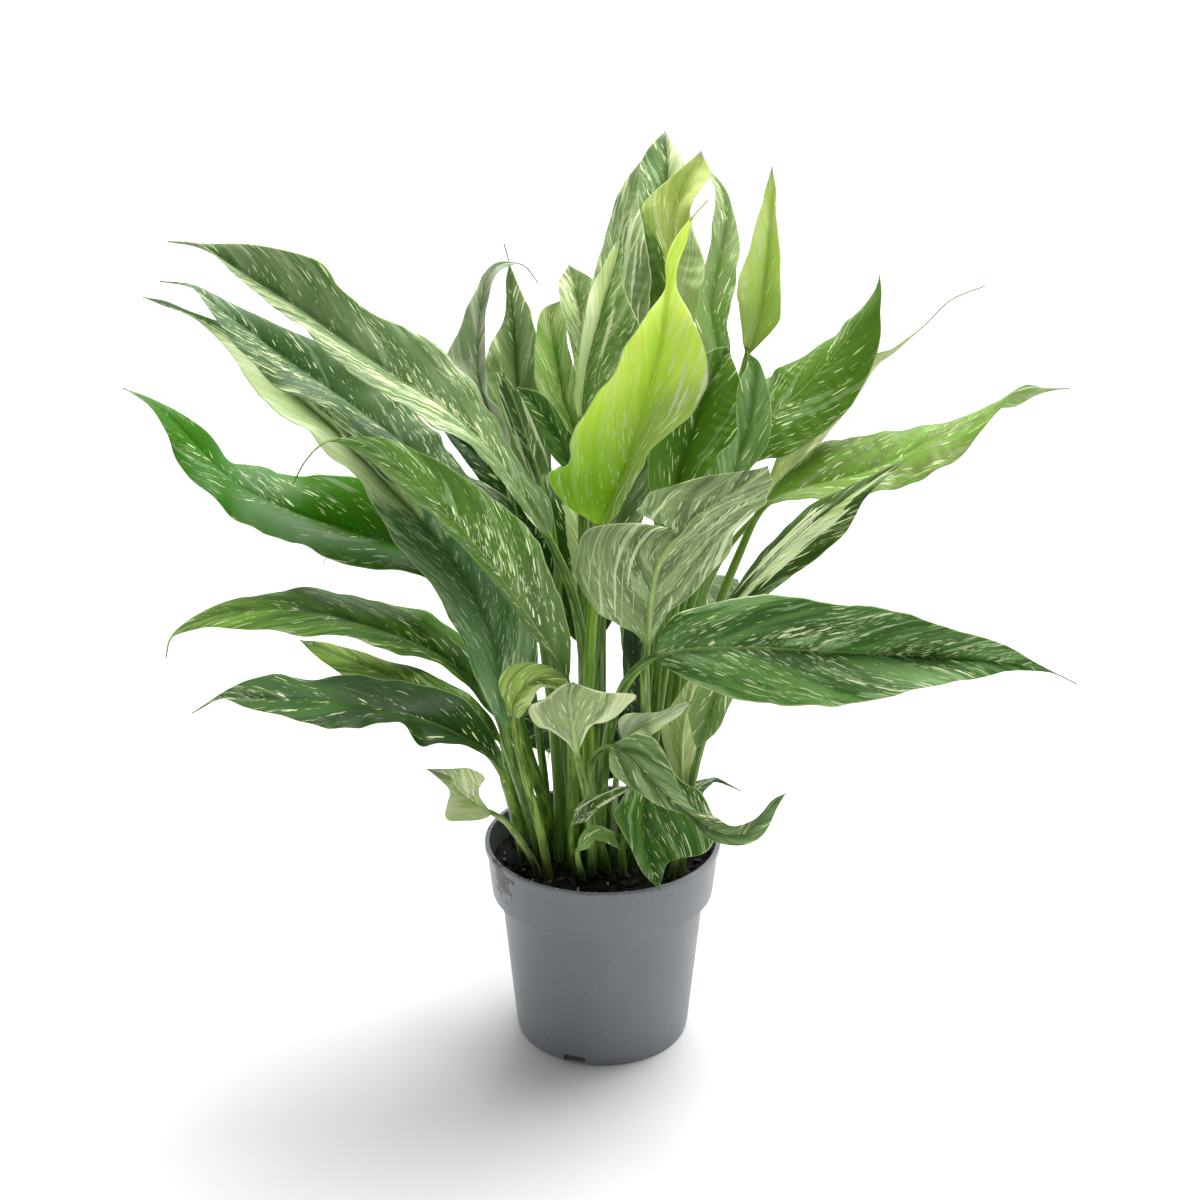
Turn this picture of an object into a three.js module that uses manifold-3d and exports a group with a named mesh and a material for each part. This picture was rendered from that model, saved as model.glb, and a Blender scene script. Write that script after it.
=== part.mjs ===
// Potted peace lily: variegated foliage in a round grey nursery pot.
// Millimetres, Z up. The floor is z = 0; X runs left to right across the
// front, Y runs away from the front. The pot axis stands at (POT_X, POT_Y).
import * as THREE from 'three';
import Module from 'manifold-3d';

// ---- pot ----
const POT_X = 3.1;            // pot axis, so that the whole plant is centred on the origin
const POT_Y = -10;
const POT_HEIGHT = 116;
const RIM_RADIUS = 65;          // outside of the rim, a 13 cm pot
const COLLAR_HEIGHT = 30;       // the straight band under the rim
const COLLAR_FOOT_RADIUS = 61.6;
const BODY_TOP_RADIUS = 56.2;   // just under the collar
const FOOT_RADIUS = 48.3;
const WALL = 1.4;
const RIM_LIP = 1.2;            // the rim is this much thicker than the wall
const FOOT_CORNER = 4.5;
const FOOT_RING_HEIGHT = 5.5;   // the base plate is raised by this much
const FOOT_RING_WIDTH = 3.2;
const NOTCH_WIDTH = 13;
const NOTCHES = 3;
const NOTCH_TURN = -19;         // degrees, first notch left of the front
const DRAIN_HOLES = 8;
const DRAIN_RING = 30;
const DRAIN_RADIUS = 3.6;
const POT_SEGMENTS = 40;

// ---- soil ----
const SOIL_TOP = 102;           // at the wall
const SOIL_CROWN = 1.6;         // the middle stands a little higher
const SOIL_GAP = 0.45;          // to the pot and to every stalk

// ---- leaves ----
const BLADE_HALF = 0.42;        // half thickness of the blade halfway out
const STALK_FOOT = 11.5;        // how deep the stalks stand below SOIL_TOP

// Each leaf is grown in one piece: stalk and blade. One row per station,
// from the foot to the drip tip: centre x y z, left margin from the centre
// dx dy dz, right margin dx dy dz, upper face direction nx ny nz, radius of
// the stalk or midrib. The first 'stalk' rows are the round stalk.

const LEAVES = {
  leaf_01: { kind: 'leaf_mid', stalk: 4, st: [
    [-13.1,-10.7,90.7,0,0,0,0,0,0,0.89,-0.45,-0.03,3.54],
    [-12.6,-10.8,105.7,0,0,0,0,0,0,0.89,-0.45,-0.06,3.43],
    [-7.3,-8.9,166.7,0,0,0,0,0,0,0.89,-0.45,-0.04,3.12],
    [-7.7,-13,228.9,-0,0,0,0,-0,-0,0.88,-0.46,0.11,2.82],
    [-23.1,-10.9,285.9,-0.4,-0.7,-0.1,0.4,0.7,0.1,0.83,-0.47,0.29,2.16],
    [-36.4,-13.1,310.8,-3.1,-9.2,0.3,8.6,11.2,1.9,0.78,-0.48,0.39,1.84],
    [-50.3,-16.3,334,-3.3,-17.7,3.2,6.6,16.8,-0.3,0.82,-0.18,0.55,1.53],
    [-67.4,-20.6,354.3,-7.3,-22.6,1.3,12,20.5,2.4,0.71,-0.33,0.62,1.24],
    [-87.3,-25.3,371.2,-8.3,-22.8,0.9,18.5,22,7.8,0.62,-0.47,0.63,0.98],
    [-107.8,-30.6,386.9,-6.9,-24,-1.4,18.6,20.4,10.5,0.62,-0.52,0.59,0.73],
    [-127.2,-36.7,403.4,-4.4,-21.8,-0.2,16.8,13.8,8.1,0.65,-0.51,0.56,0.52],
    [-146.2,-43.6,420,-2.8,-15.8,-0.4,19,8.8,10.8,0.59,-0.7,0.4,0.33],
    [-165.7,-50.8,435.4,-0.5,-9.9,-1.6,14.6,5.7,12,0.53,-0.79,0.32,0.3],
    [-185.6,-57.8,449.6,2.6,-4.7,1.5,0.7,2.7,1.4,0.44,0.12,0.89,0.3],
    [-198.8,-65,453.7,0,-0,-0,-0,0,0,0.27,0.05,0.96,0.3],
  ] },
  leaf_02: { kind: 'leaf_dark', stalk: 4, st: [
    [-21,-14.6,90.4,0,0,0,0,0,0,0.71,-0.71,0.04,3.3],
    [-21,-13.8,105.3,0,0,0,0,0,0,0.71,-0.71,0.03,3.2],
    [-22.1,-12.6,165.7,0,0,0,0,0,0,0.71,-0.7,-0.07,2.92],
    [-26.8,-32,234.5,-0,0,0,-0,0,0,0.71,-0.71,-0,2.63],
    [-39.1,-29.6,289.1,-0.3,-0.3,-0.1,0.3,0.3,0.1,0.61,-0.71,0.34,2.02],
    [-55.9,-23.4,305.4,-11.9,-9.3,-5.6,7.9,13.7,8.2,0.37,-0.69,0.62,1.71],
    [-74,-20.3,319.8,-16.1,-15.6,-3,5,20,4.8,0.54,-0.47,0.7,1.43],
    [-90.4,-18,335.5,-18.4,-20.4,-1.9,11.5,20.9,-0.1,0.57,-0.44,0.69,1.16],
    [-107.6,-16,350.1,-16.2,-21.3,0.5,16.9,22.3,1.7,0.54,-0.43,0.72,0.91],
    [-125.1,-15.2,363.4,-9.8,-20.4,2.5,17,21.7,4.3,0.56,-0.39,0.73,0.69],
    [-143,-16.1,377.2,-6.9,-22.3,-4,17.8,18.4,6.3,0.58,-0.51,0.64,0.48],
    [-161.1,-19.6,392.4,-5.5,-18.7,-4.6,13.2,13.4,4,0.63,-0.52,0.58,0.32],
    [-178.8,-24.7,408.5,-1.4,-13.7,-3.8,4.2,8.5,3.1,0.68,-0.37,0.63,0.3],
    [-196.4,-29.2,425.1,0.8,-3.9,0.2,-0.5,3.9,0.6,0.53,0.05,0.85,0.3],
    [-210.9,-35,429.2,0,-0,-0,-0,0,0,0.28,-0.02,0.96,0.3],
  ] },
  leaf_03: { kind: 'leaf_dark', stalk: 4, st: [
    [-29.9,-13.1,90.4,0,0,0,0,0,0,0.32,-0.94,-0.1,4.13],
    [-30.4,-14.9,105.2,0,0,0,0,0,0,0.35,-0.89,-0.3,4],
    [-35.3,-32.2,139.9,0,0,0,0,0,0,0.37,-0.83,-0.41,3.65],
    [-40.9,-52.5,172.5,0,0,0,0,0,0,0.35,-0.88,-0.33,3.29],
    [-47.2,-59.1,199.2,-0.2,-0.1,-0,0.2,0.1,0,0.29,-0.9,0.33,2.52],
    [-51.9,-37.4,223.8,-10.8,-9.9,4.1,20.8,3.1,6.6,0.24,-0.71,0.66,2.19],
    [-60,-15.8,250.9,-17.4,-15.5,7.3,24.6,2.4,11.6,0.27,-0.77,0.58,1.88],
    [-77.2,-4.9,278.9,-17.7,-22.3,2.1,29,-4.4,10.4,0.24,-0.85,0.47,1.58],
    [-98.6,1.6,302.2,-12,-23.3,3.6,27.3,-7.9,13.6,0.19,-0.83,0.52,1.3],
    [-118.5,11.6,321,-9.9,-20.9,4.8,24.3,-10,14.7,0.12,-0.85,0.51,1.04],
    [-137.8,18.7,340.2,-9.5,-18.9,2.8,21.6,-11.7,11.1,0.1,-0.9,0.42,0.8],
    [-158.9,24.8,358.4,-10.9,-16.4,-2.2,15.5,-8.8,8.3,0.1,-0.91,0.41,0.59],
    [-180.9,30.7,377.7,-6.4,-7.9,-3.1,7.5,-3,7,0.05,-0.92,0.39,0.39],
    [-205.6,37.5,394,-1.3,-1.1,-1.7,1.3,0.6,1.9,-0.01,-0.9,0.43,0.3],
    [-221.8,41.7,400.5,-0.1,-0.1,-0.2,0.1,0.1,0.2,-0.05,-0.89,0.45,0.3],
    [-238.9,45,405.2,-0,-0,-0,0,0,0,-0.05,-0.89,0.45,0.3],
  ] },
  leaf_04: { kind: 'leaf_bright', stalk: 4, st: [
    [-22.2,3.2,90.5,0,0,0,0,0,0,0.78,-0.62,0.04,2.95],
    [-23.1,3.1,105.5,0,0,0,0,0,0,0.77,-0.62,0.16,2.86],
    [-36.1,3,156.5,0,0,0,0,0,0,0.77,-0.62,0.16,2.6],
    [-47.6,-0.8,208.6,0,-0,-0,-0,0,0,0.75,-0.63,0.21,2.35],
    [-68,-1.2,255.9,-0.5,-0.7,-0.3,0.5,0.7,0.3,0.66,-0.64,0.4,1.8],
    [-84.8,0.8,272.8,0.8,-13.4,-4.9,2.5,8.2,15.5,0.38,-0.65,0.66,1.53],
    [-105.5,2.6,281.3,3.6,-20.7,-8,1.4,12.8,25.5,0.18,-0.69,0.7,1.28],
    [-126.8,4.5,287.3,0.1,-24.9,-8.3,2,17.6,25.5,0.2,-0.62,0.76,1.04],
    [-147.7,5,294.3,-1.7,-27.1,-6.5,0.8,22.5,18.8,0.31,-0.44,0.84,0.82],
    [-167.9,4.7,302.9,-1.2,-27.1,-6.2,1.2,24.9,10.5,0.43,-0.29,0.85,0.61],
    [-186.8,4,313.7,-2.7,-24.4,-6.8,2.8,22.7,4.2,0.61,-0.25,0.75,0.43],
    [-201.7,2.6,329.3,-3.6,-20.1,-6.6,5.3,15.3,-1.1,0.74,-0.28,0.61,0.3],
    [-215,0.6,346.2,-3.6,-11,-3.5,3.9,8.8,1.8,0.71,-0.42,0.56,0.3],
    [-229.6,-1.8,361.5,-0,-4.2,-0.5,0.3,2.9,0.7,0.66,-0.15,0.73,0.3],
    [-241,-5,368.7,0,-0,-0,-0,0,0,0.56,-0.17,0.81,0.3],
  ] },
  leaf_05: { kind: 'leaf_light', stalk: 4, st: [
    [-14,-21,90.5,0,0,0,0,0,0,-0.53,-0.85,-0.06,3.54],
    [-13.7,-22.2,105.3,0,0,0,0,0,0,-0.54,-0.8,-0.26,3.43],
    [-12.5,-41.6,151,0,0,0,0,0,0,-0.55,-0.76,-0.36,3.12],
    [-12.4,-65.2,194.9,0,-0,0,0,0,0,-0.55,-0.74,-0.4,2.82],
    [-13.7,-85.8,235.3,-0,0,0,0,-0,-0,-0.54,-0.73,-0.41,2.16],
    [-19.5,-94.8,256.4,-4.6,7,0.4,7.1,-3.4,2.8,-0.51,-0.69,-0.51,1.86],
    [-28.3,-104.8,276.1,-5.9,13.3,-4.6,14.4,-9.8,9.8,-0.42,-0.72,-0.56,1.57],
    [-37.6,-114.7,295.3,-5.7,17.8,-7,18.8,-12.6,11,-0.45,-0.69,-0.56,1.3],
    [-47.4,-122.6,313.4,-5.9,18.5,-7.4,22.7,-11.5,11.8,-0.41,-0.74,-0.54,1.05],
    [-58,-129.5,330.8,-6.9,17.7,-8.4,23.9,-9.7,11.3,-0.35,-0.77,-0.53,0.82],
    [-69.5,-135.9,347.6,-6.9,15.9,-9,22.2,-10,8.3,-0.35,-0.76,-0.55,0.61],
    [-82.1,-141.9,363.4,-6.7,12.9,-8.7,16.4,-10.4,7.3,-0.34,-0.74,-0.59,0.41],
    [-97.2,-146,376.5,-5.3,9.6,-6.8,9.3,-9.9,6.9,-0.23,-0.67,-0.71,0.3],
    [-115.8,-150.3,382,-1.1,3.7,-1.4,1.8,-3.6,1.4,0.15,-0.31,-0.94,0.3],
    [-125.5,-155.2,375.1,-0,0.2,-0.1,0,-0.2,0.1,0.74,-0.02,-0.67,0.3],
    [-131.5,-160,365.1,0,0,0,0,0,0,0.85,0.05,-0.52,0.3],
  ] },
  leaf_06: { kind: 'leaf_mid', stalk: 4, st: [
    [-28.3,-3.7,90.6,0,0,0,0,0,0,0.97,-0.26,-0.03,3.19],
    [-28.1,-4.9,105.5,0,0,0,0,0,0,0.97,-0.24,-0.08,3.08],
    [-28.3,-19.3,139.4,0,0,0,0,0,0,0.96,-0.27,0,2.81],
    [-35.6,-30.8,167.5,-0,0,0,-0,-0,-0,0.93,-0.34,0.16,2.54],
    [-45.2,-39.5,192.9,-0,-0.1,-0,0,0.1,0,0.84,-0.37,0.4,1.94],
    [-57.8,-34.6,211.1,-2.4,-10.7,1.4,6.7,11.7,3.1,0.67,-0.32,0.67,1.65],
    [-74.4,-30,226.2,-2.6,-15.8,4.6,8.4,20,5.4,0.57,-0.2,0.8,1.38],
    [-93.6,-28.9,238.1,0.2,-20.8,1.5,7.9,23.7,6.3,0.48,-0.18,0.86,1.12],
    [-113.8,-32.2,247.8,3.9,-24.2,-1.2,6.2,23.7,4.3,0.4,-0.12,0.91,0.88],
    [-134.4,-34.4,255.3,5.2,-22.9,-1.8,5.2,24.1,3.7,0.28,-0.11,0.95,0.66],
    [-155.7,-35.6,259.8,4.5,-22.5,-4.5,2.7,21.4,4,0.12,-0.18,0.98,0.46],
    [-177.3,-36.9,260,3,-18.8,-3.9,1,16.4,2.2,-0.06,-0.17,0.98,0.31],
    [-198.6,-38.6,256.7,2.1,-11.9,-1.1,-0,11.8,1.6,-0.28,-0.13,0.95,0.3],
    [-217.8,-41.7,247.5,0.4,-3.9,0.6,-0.4,4,0.1,-0.66,-0.03,0.75,0.3],
    [-221.1,-45,236.7,0,-0,0,-0,0,-0,-0.94,-0.13,0.32,0.3],
  ] },
  leaf_07: { kind: 'leaf_light', stalk: 4, st: [
    [-38.8,-2.5,90.6,0,0,0,0,0,0,0.96,-0.26,0.05,2.6],
    [-40,-4.5,105,0,0,0,0,0,0,0.97,-0.23,-0.01,2.51],
    [-43.7,-26.3,140.3,0,0,0,0,0,0,0.98,-0.21,-0.04,2.29],
    [-45.9,-42.9,168.5,-0,0,0,-0,0,0,0.97,-0.22,-0.02,2.07],
    [-48.7,-53,192,-0,-0,-0,0,0,0,0.94,-0.3,0.17,1.58],
    [-56.8,-56.1,204.5,-1.5,-5.9,-2.5,1.5,5.9,2.8,0.79,-0.41,0.46,1.35],
    [-66.2,-60.4,215.5,-2.5,-9.6,-1.8,2.3,9.4,1.7,0.72,-0.3,0.63,1.12],
    [-76.6,-64.9,223,-3.9,-13.2,0.1,3.3,13.1,0.9,0.45,-0.15,0.88,0.91],
    [-87.7,-61.5,226.2,-5.9,-13.4,-0.2,4.7,13.6,2.2,0.1,-0.13,0.99,0.72],
    [-99.5,-52,226.9,-6,-12.8,-1.3,3.8,12.7,3,-0.05,-0.15,0.99,0.54],
    [-111.3,-42.6,227.7,-5.7,-13,-2.1,3.1,11.9,2.2,-0.01,-0.17,0.99,0.38],
    [-123,-35.8,229.4,-4.7,-12,-2.7,3.2,10.7,1.4,0.05,-0.2,0.98,0.3],
    [-134.6,-30.1,231.5,-3.6,-8.8,-2.1,3.6,8.8,1,0.11,-0.21,0.97,0.3],
    [-146,-24.3,234.5,-2.5,-5,-1.5,2.4,5,0.9,0.1,-0.28,0.96,0.3],
    [-156,-20,236.7,-0,-0,-0,0,0,0,0.1,-0.28,0.96,0.3],
  ] },
  leaf_08: { kind: 'leaf_dark', stalk: 4, st: [
    [-39.3,-15.5,90.5,0,0,0,0,0,0,1,0,0.03,3.3],
    [-39.6,-17.7,105,0,0,0,0,0,0,1,-0.01,0.06,3.2],
    [-42.5,-38,135.7,0,0,0,0,0,0,1,-0.02,0.07,2.92],
    [-44.6,-61.2,164.2,0,0,0,0,-0,-0,1,-0.02,0.08,2.63],
    [-47.9,-83.6,191,0,-0.1,-0.1,-0,0.1,0.1,0.97,-0.12,0.23,2.02],
    [-58,-88.9,206.3,0.8,-8,0.3,2.9,11.5,5.7,0.75,-0.25,0.61,1.71],
    [-71.8,-91.9,216.7,-0.8,-15.7,1.1,6.5,18.8,7.6,0.54,-0.26,0.8,1.43],
    [-86.7,-93.5,224.2,0.5,-23.4,-2.9,6.9,21.3,8.3,0.39,-0.28,0.88,1.16],
    [-102.2,-94.1,229.5,7.1,-22,1.3,0.8,24.6,4.9,0.27,-0.04,0.96,0.91],
    [-118.2,-95.3,232.9,8.5,-22.5,-1.2,-1.8,23.6,4.5,0.18,-0.08,0.98,0.69],
    [-134.3,-97.2,235.2,7.7,-22.5,-4.2,-2.4,20,4.5,0.15,-0.16,0.98,0.48],
    [-150.2,-99.9,237,6.3,-17.8,-2.9,-2.1,17.3,5.6,0.15,-0.2,0.97,0.32],
    [-166,-102.8,238.9,3.3,-11.6,-1.1,-1.4,12.7,5.9,0.15,-0.25,0.96,0.3],
    [-181.9,-105.6,240.5,0.7,-4,2,-0.6,4.1,0.3,-0.19,0.17,0.97,0.3],
    [-194.9,-110,234.6,0,-0,0,-0,0,-0,-0.44,0.1,0.89,0.3],
  ] },
  leaf_09: { kind: 'leaf_pale', stalk: 3, st: [
    [-31.7,-26.6,90.5,0,0,0,0,0,0,0.98,0.19,0.09,2.09],
    [-32.7,-28.5,105,0,0,0,0,0,0,0.96,0.11,0.27,2.01],
    [-41.6,-48.2,135.3,0,0,0,0,0,0,0.92,0.04,0.38,1.81],
    [-53.3,-67,158.9,0,-0,-0,-0,0,0,0.89,-0.03,0.46,1.37],
    [-57.3,-73.1,164.5,1.3,-4.5,-2.6,-0.8,3.6,2.4,0.84,-0.1,0.53,1.12],
    [-60.8,-77.2,169,0.1,-8.2,-4.5,0.7,6.1,4.4,0.85,-0.3,0.43,0.88],
    [-64.1,-80.2,173.1,-2.4,-10.8,-6.2,4.9,7.3,5.3,0.82,-0.51,0.28,0.67],
    [-67.2,-82.8,177.2,-5.1,-12.3,-8.1,9.8,7.3,4.9,0.76,-0.64,0.1,0.47],
    [-69.8,-85.6,181.6,-6.1,-11.6,-9.1,12.5,6.5,5.4,0.73,-0.68,-0.08,0.31],
    [-71.9,-89,186.6,-2.7,-8.7,-7.2,8.2,4.6,6.4,0.83,-0.54,-0.15,0.3],
    [-73,-93.5,192.6,-0.5,-5.2,-4.2,2.9,2.2,3.7,0.74,-0.62,0.26,0.3],
    [-83.8,-98,199.1,-0,-0,-0,0,0,0,0.55,-0.72,0.42,0.3],
  ] },
  leaf_10: { kind: 'leaf_grey', stalk: 4, st: [
    [-17,10.1,90.4,0,0,0,0,0,0,-0.04,-1,0.02,2.48],
    [-17.4,10.4,105.4,0,0,0,0,0,0,-0.04,-1,-0.05,2.4],
    [-23.4,5.6,178.5,0,0,0,0,0,0,-0.05,-0.99,0.09,2.19],
    [-32.4,23,243.6,0,-0,-0,0,0,0,-0.08,-0.97,0.24,1.98],
    [-48.8,39.9,307.2,-0.1,0,-0,0.1,-0,0,-0.08,-0.97,0.25,1.51],
    [-52.2,44.8,321.8,-11.6,-3.4,-0.4,6,-4.1,3.3,-0.11,-0.93,0.34,1.3],
    [-55.8,50.4,333.8,-17.4,-4.9,2,6.1,-6,4.3,-0.09,-0.9,0.43,1.1],
    [-60.1,56.8,345.2,-19.4,-6.1,6.4,5.4,-5.9,0.6,0.13,-0.84,0.52,0.91],
    [-64.5,63.1,356.5,-18.5,-7.6,9.5,4.8,-5.7,-4.1,0.35,-0.79,0.49,0.74],
    [-65.3,69,368.6,-14.5,-8.7,4.5,4.9,-3.8,-0.9,0.33,-0.85,0.41,0.57],
    [-64.7,74.8,380.8,-9.6,-6.8,3.3,4,-1.9,0.1,0.39,-0.84,0.37,0.42],
    [-63.5,80.4,392.9,-6,-3.2,3.2,3.6,-1.6,-0.5,0.3,-0.87,0.39,0.31],
    [-60.8,86.7,404.5,-2.4,-0.1,2.4,3.5,-2.7,-1,-0.05,-0.83,0.56,0.3],
    [-53.2,93.8,413.4,-0.5,0.6,1.5,2,-3.1,-1.5,0.04,-0.62,0.79,0.3],
    [-40.8,98.1,412.3,-0,0.1,0,0,-0.1,-0,0.53,-0.21,0.82,0.3],
    [-32.6,100,401.8,-0,0,0,0,-0,-0,0.79,-0.11,0.6,0.3],
  ] },
  leaf_11: { kind: 'leaf_mid', stalk: 4, st: [
    [-12.5,22,90.1,0,0,0,0,0,0,-0.02,-1,0.03,2.71],
    [-13.7,22.5,105,0,0,0,0,0,0,-0.02,-1,0.01,2.63],
    [-21,22.6,163.1,0,0,0,0,0,0,-0.03,-0.99,0.12,2.4],
    [-22.6,36.3,221,0,0,0,0,0,0,-0.04,-0.97,0.24,2.16],
    [-28.2,51,277.4,0,0,0,0,0,0,-0.05,-0.96,0.29,1.66],
    [-32.1,58.3,292.8,-7.7,-3.6,1.2,7.2,-3.3,4.9,-0.09,-0.89,0.44,1.43],
    [-35.9,66.2,306.2,-13.1,-8.8,4.4,11.1,-7.8,11.1,-0.09,-0.88,0.47,1.21],
    [-39.5,73.4,319.6,-15.8,-13.6,5.7,13.3,-12.4,11.7,-0.05,-0.91,0.41,1],
    [-42.2,78.9,333.5,-17,-16.8,4.5,12.7,-14.8,9.9,-0.01,-0.93,0.38,0.81],
    [-44,84.8,347.4,-18.2,-16.3,4,11.8,-15.6,7.4,-0.02,-0.91,0.41,0.63],
    [-45.1,91.3,361,-17.5,-14.1,1.2,12.3,-14.9,6.2,-0.1,-0.9,0.42,0.46],
    [-46.3,97.8,374.5,-10.4,-7.2,-0.6,12.9,-12.3,5.4,-0.29,-0.87,0.4,0.32],
    [-47.7,104.4,387.9,-3.3,-1.1,-0.1,8.4,-7,3.1,-0.5,-0.8,0.34,0.3],
    [-48.6,110.9,401.4,-2.4,-0.7,0.1,3.4,-1.6,1,-0.19,-0.89,0.42,0.3],
    [-49.3,115.5,410.8,-0.1,0,-0,0.1,-0,0,-0.19,-0.89,0.41,0.3],
    [-52.1,120,419.9,-0,0,-0,0,-0,0,-0.19,-0.9,0.39,0.3],
  ] },
  leaf_12: { kind: 'leaf_light', stalk: 4, st: [
    [-2.8,9.7,90.5,0,0,0,0,0,0,0.31,-0.95,0.03,2.48],
    [-3.6,9.9,105.5,0,0,0,0,0,0,0.31,-0.94,0.1,2.4],
    [-6.1,17.8,176.9,0,0,0,0,0,0,0.31,-0.95,0.09,2.19],
    [-6,22.2,250.5,0,0,0,0,0,0,0.31,-0.94,0.1,1.98],
    [-8,32.6,319.9,0,0,0,0,0,0,0.31,-0.94,0.14,1.51],
    [-10.6,33.1,331.5,-6.3,-4.5,-0.3,3.8,-1.1,0.9,0.31,-0.94,0.16,1.29],
    [-13.2,34.4,340.1,-9.9,-8.7,-0.5,6.8,-2.9,2.7,0.27,-0.93,0.27,1.07],
    [-16.2,36.3,348.3,-11.4,-11.3,0.4,9.5,-5.2,3.9,0.22,-0.93,0.3,0.87],
    [-18.5,38.4,356.4,-11.9,-12.4,1.4,10.5,-6.6,3.1,0.22,-0.93,0.28,0.68],
    [-19.8,40.4,364.8,-12.2,-12.7,1.5,9.3,-6.1,1.7,0.28,-0.92,0.27,0.51],
    [-21.3,42.5,373,-11.1,-11.2,0.9,8.1,-4.9,1,0.3,-0.91,0.28,0.36],
    [-23,44.5,381.2,-9.5,-7.8,0.8,7.6,-4.2,0.4,0.2,-0.94,0.28,0.3],
    [-24.5,46.6,389.4,-7.4,-4.1,1.5,8.5,-4.2,-0.3,0.02,-0.97,0.26,0.3],
    [-23.7,48.8,397.5,-4.2,-1.5,1.7,6.5,-2.7,-1.3,-0.04,-0.96,0.27,0.3],
    [-19.5,50,402,-0,0,0,0,-0,-0,-0.03,-0.96,0.28,0.3],
  ] },
  leaf_13: { kind: 'leaf_pale', stalk: 4, st: [
    [2.2,15.8,90.6,0,0,0,0,0,0,-0.05,-1,0.02,2.36],
    [0.9,16.2,105.5,0,0,0,0,0,0,-0.06,-0.98,0.19,2.28],
    [-2.8,33.8,179.9,0,0,0,0,0,0,-0.06,-0.98,0.18,2.08],
    [-0.7,44.1,258,0,0,0,0,0,0,-0.06,-0.98,0.19,1.88],
    [0.5,63.2,330.8,0,0,0,0,0,0,-0.06,-0.96,0.27,1.44],
    [-1,68,341.5,-5.8,-2.5,0.6,6.5,-2.9,2.1,-0.09,-0.87,0.49,1.22],
    [-2.5,73.8,349.3,-8.8,-4.4,0.9,10.5,-5.7,4.7,-0.17,-0.78,0.6,1.02],
    [-3.8,80.3,356.6,-8.6,-5.9,0.8,12.5,-8.4,5.7,-0.23,-0.75,0.62,0.83],
    [-5,86.8,363.9,-8.1,-6.8,0.7,13.5,-10.2,6,-0.27,-0.74,0.61,0.65],
    [-6.4,93.2,371.1,-8.5,-7.9,0.7,13.8,-10.3,6.3,-0.24,-0.75,0.62,0.49],
    [-8,99.6,378.2,-8.9,-8.8,0.8,13.8,-9,6.5,-0.17,-0.76,0.63,0.34],
    [-9.9,105.8,385.3,-9.3,-8.4,2.3,13.4,-6.3,5.9,-0.04,-0.75,0.66,0.3],
    [-11.7,112.2,392.3,-9.4,-7,3.3,12.2,-3.3,4.4,0.09,-0.72,0.69,0.3],
    [-13.5,118.8,399.3,-7.7,-4.1,1.7,9.4,-0.6,2.6,0.12,-0.74,0.67,0.3],
    [-15.8,125,407.2,-0,-0,-0,0,0,0,0.13,-0.76,0.63,0.3],
  ] },
  leaf_14: { kind: 'leaf_pale', stalk: 4, st: [
    [1.1,4,90.4,0,0,0,0,0,0,0.12,-0.99,0.01,2.6],
    [1,4.1,105.4,0,0,0,0,0,0,0.12,-0.99,0.06,2.51],
    [1.5,9.6,182.1,0,0,0,0,0,0,0.12,-0.99,0.02,2.29],
    [-0.3,7.3,263.3,0,0,0,0,0,0,0.12,-0.99,0.03,2.07],
    [-7.3,13.7,339,-0,-0,-0,0,0,0,0.12,-0.99,0.1,1.58],
    [-7.4,15.8,352.4,-3.6,-2.5,0.7,5.4,-1.5,-0,0.12,-0.95,0.27,1.35],
    [-6.7,20.5,362.6,-4.9,-6.1,2,13.1,-4.7,-2.3,0.17,-0.89,0.43,1.12],
    [-5.2,25.8,372.1,-5,-11.2,2.2,20.1,-7.4,-4.4,0.25,-0.87,0.43,0.91],
    [-2.8,30.9,381.4,-5.6,-14.7,3.6,23.6,-6.4,-2,0.32,-0.87,0.39,0.72],
    [0.1,36,390.4,-6.8,-14.7,5.4,23.4,-7.4,-2,0.3,-0.87,0.38,0.54],
    [2.9,40.9,399.5,-7.6,-11.6,6.1,17.5,-7.6,-2,0.27,-0.88,0.4,0.38],
    [5.7,45.9,408.5,-7.1,-6.4,4.9,9.8,-4.6,-1.2,0.25,-0.88,0.41,0.3],
    [8.6,50.8,417.4,-5.6,-3.3,3.3,4.4,-1.5,-0.5,0.31,-0.87,0.38,0.3],
    [11.2,55.7,426.4,-4,-1.3,1.7,2.6,-0.8,-0.2,0.2,-0.88,0.42,0.3],
    [12.8,60,434.6,-0,-0,0,0,0,-0,0.2,-0.88,0.42,0.3],
  ] },
  leaf_15: { kind: 'leaf_mid', stalk: 4, st: [
    [7.2,10.3,90.5,0,0,0,0,0,0,0.16,-0.99,0.03,2.71],
    [6.2,10.6,105.4,0,0,0,0,0,0,0.16,-0.98,0.13,2.63],
    [2.8,21.5,180.7,0,0,0,0,0,0,0.16,-0.98,0.1,2.4],
    [3.4,25.7,260.4,0,-0,-0,0,0,0,0.16,-0.98,0.11,2.16],
    [4.9,39.5,335,-0.4,-0.1,0,0.4,0.1,-0,0.16,-0.97,0.2,1.66],
    [5.2,44.6,351.9,-7.3,-6.7,1.1,13.8,-2.3,2.6,0.17,-0.92,0.35,1.41],
    [5.7,51.3,365.7,-11.8,-12.3,2,18.6,-5.3,5.4,0.15,-0.88,0.46,1.17],
    [6.5,58.9,379,-13.9,-15.8,4,19.6,-8.6,6,0.16,-0.86,0.49,0.95],
    [7.6,66.6,392.1,-14.1,-17.3,4.8,19.7,-11.6,5.4,0.14,-0.86,0.49,0.75],
    [9,74,405.1,-12.1,-15.6,4.8,19.2,-13.6,3.7,0.07,-0.87,0.49,0.56],
    [10.7,81.4,418,-10,-11.1,3.2,17.6,-14,2,-0.07,-0.86,0.5,0.4],
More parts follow.
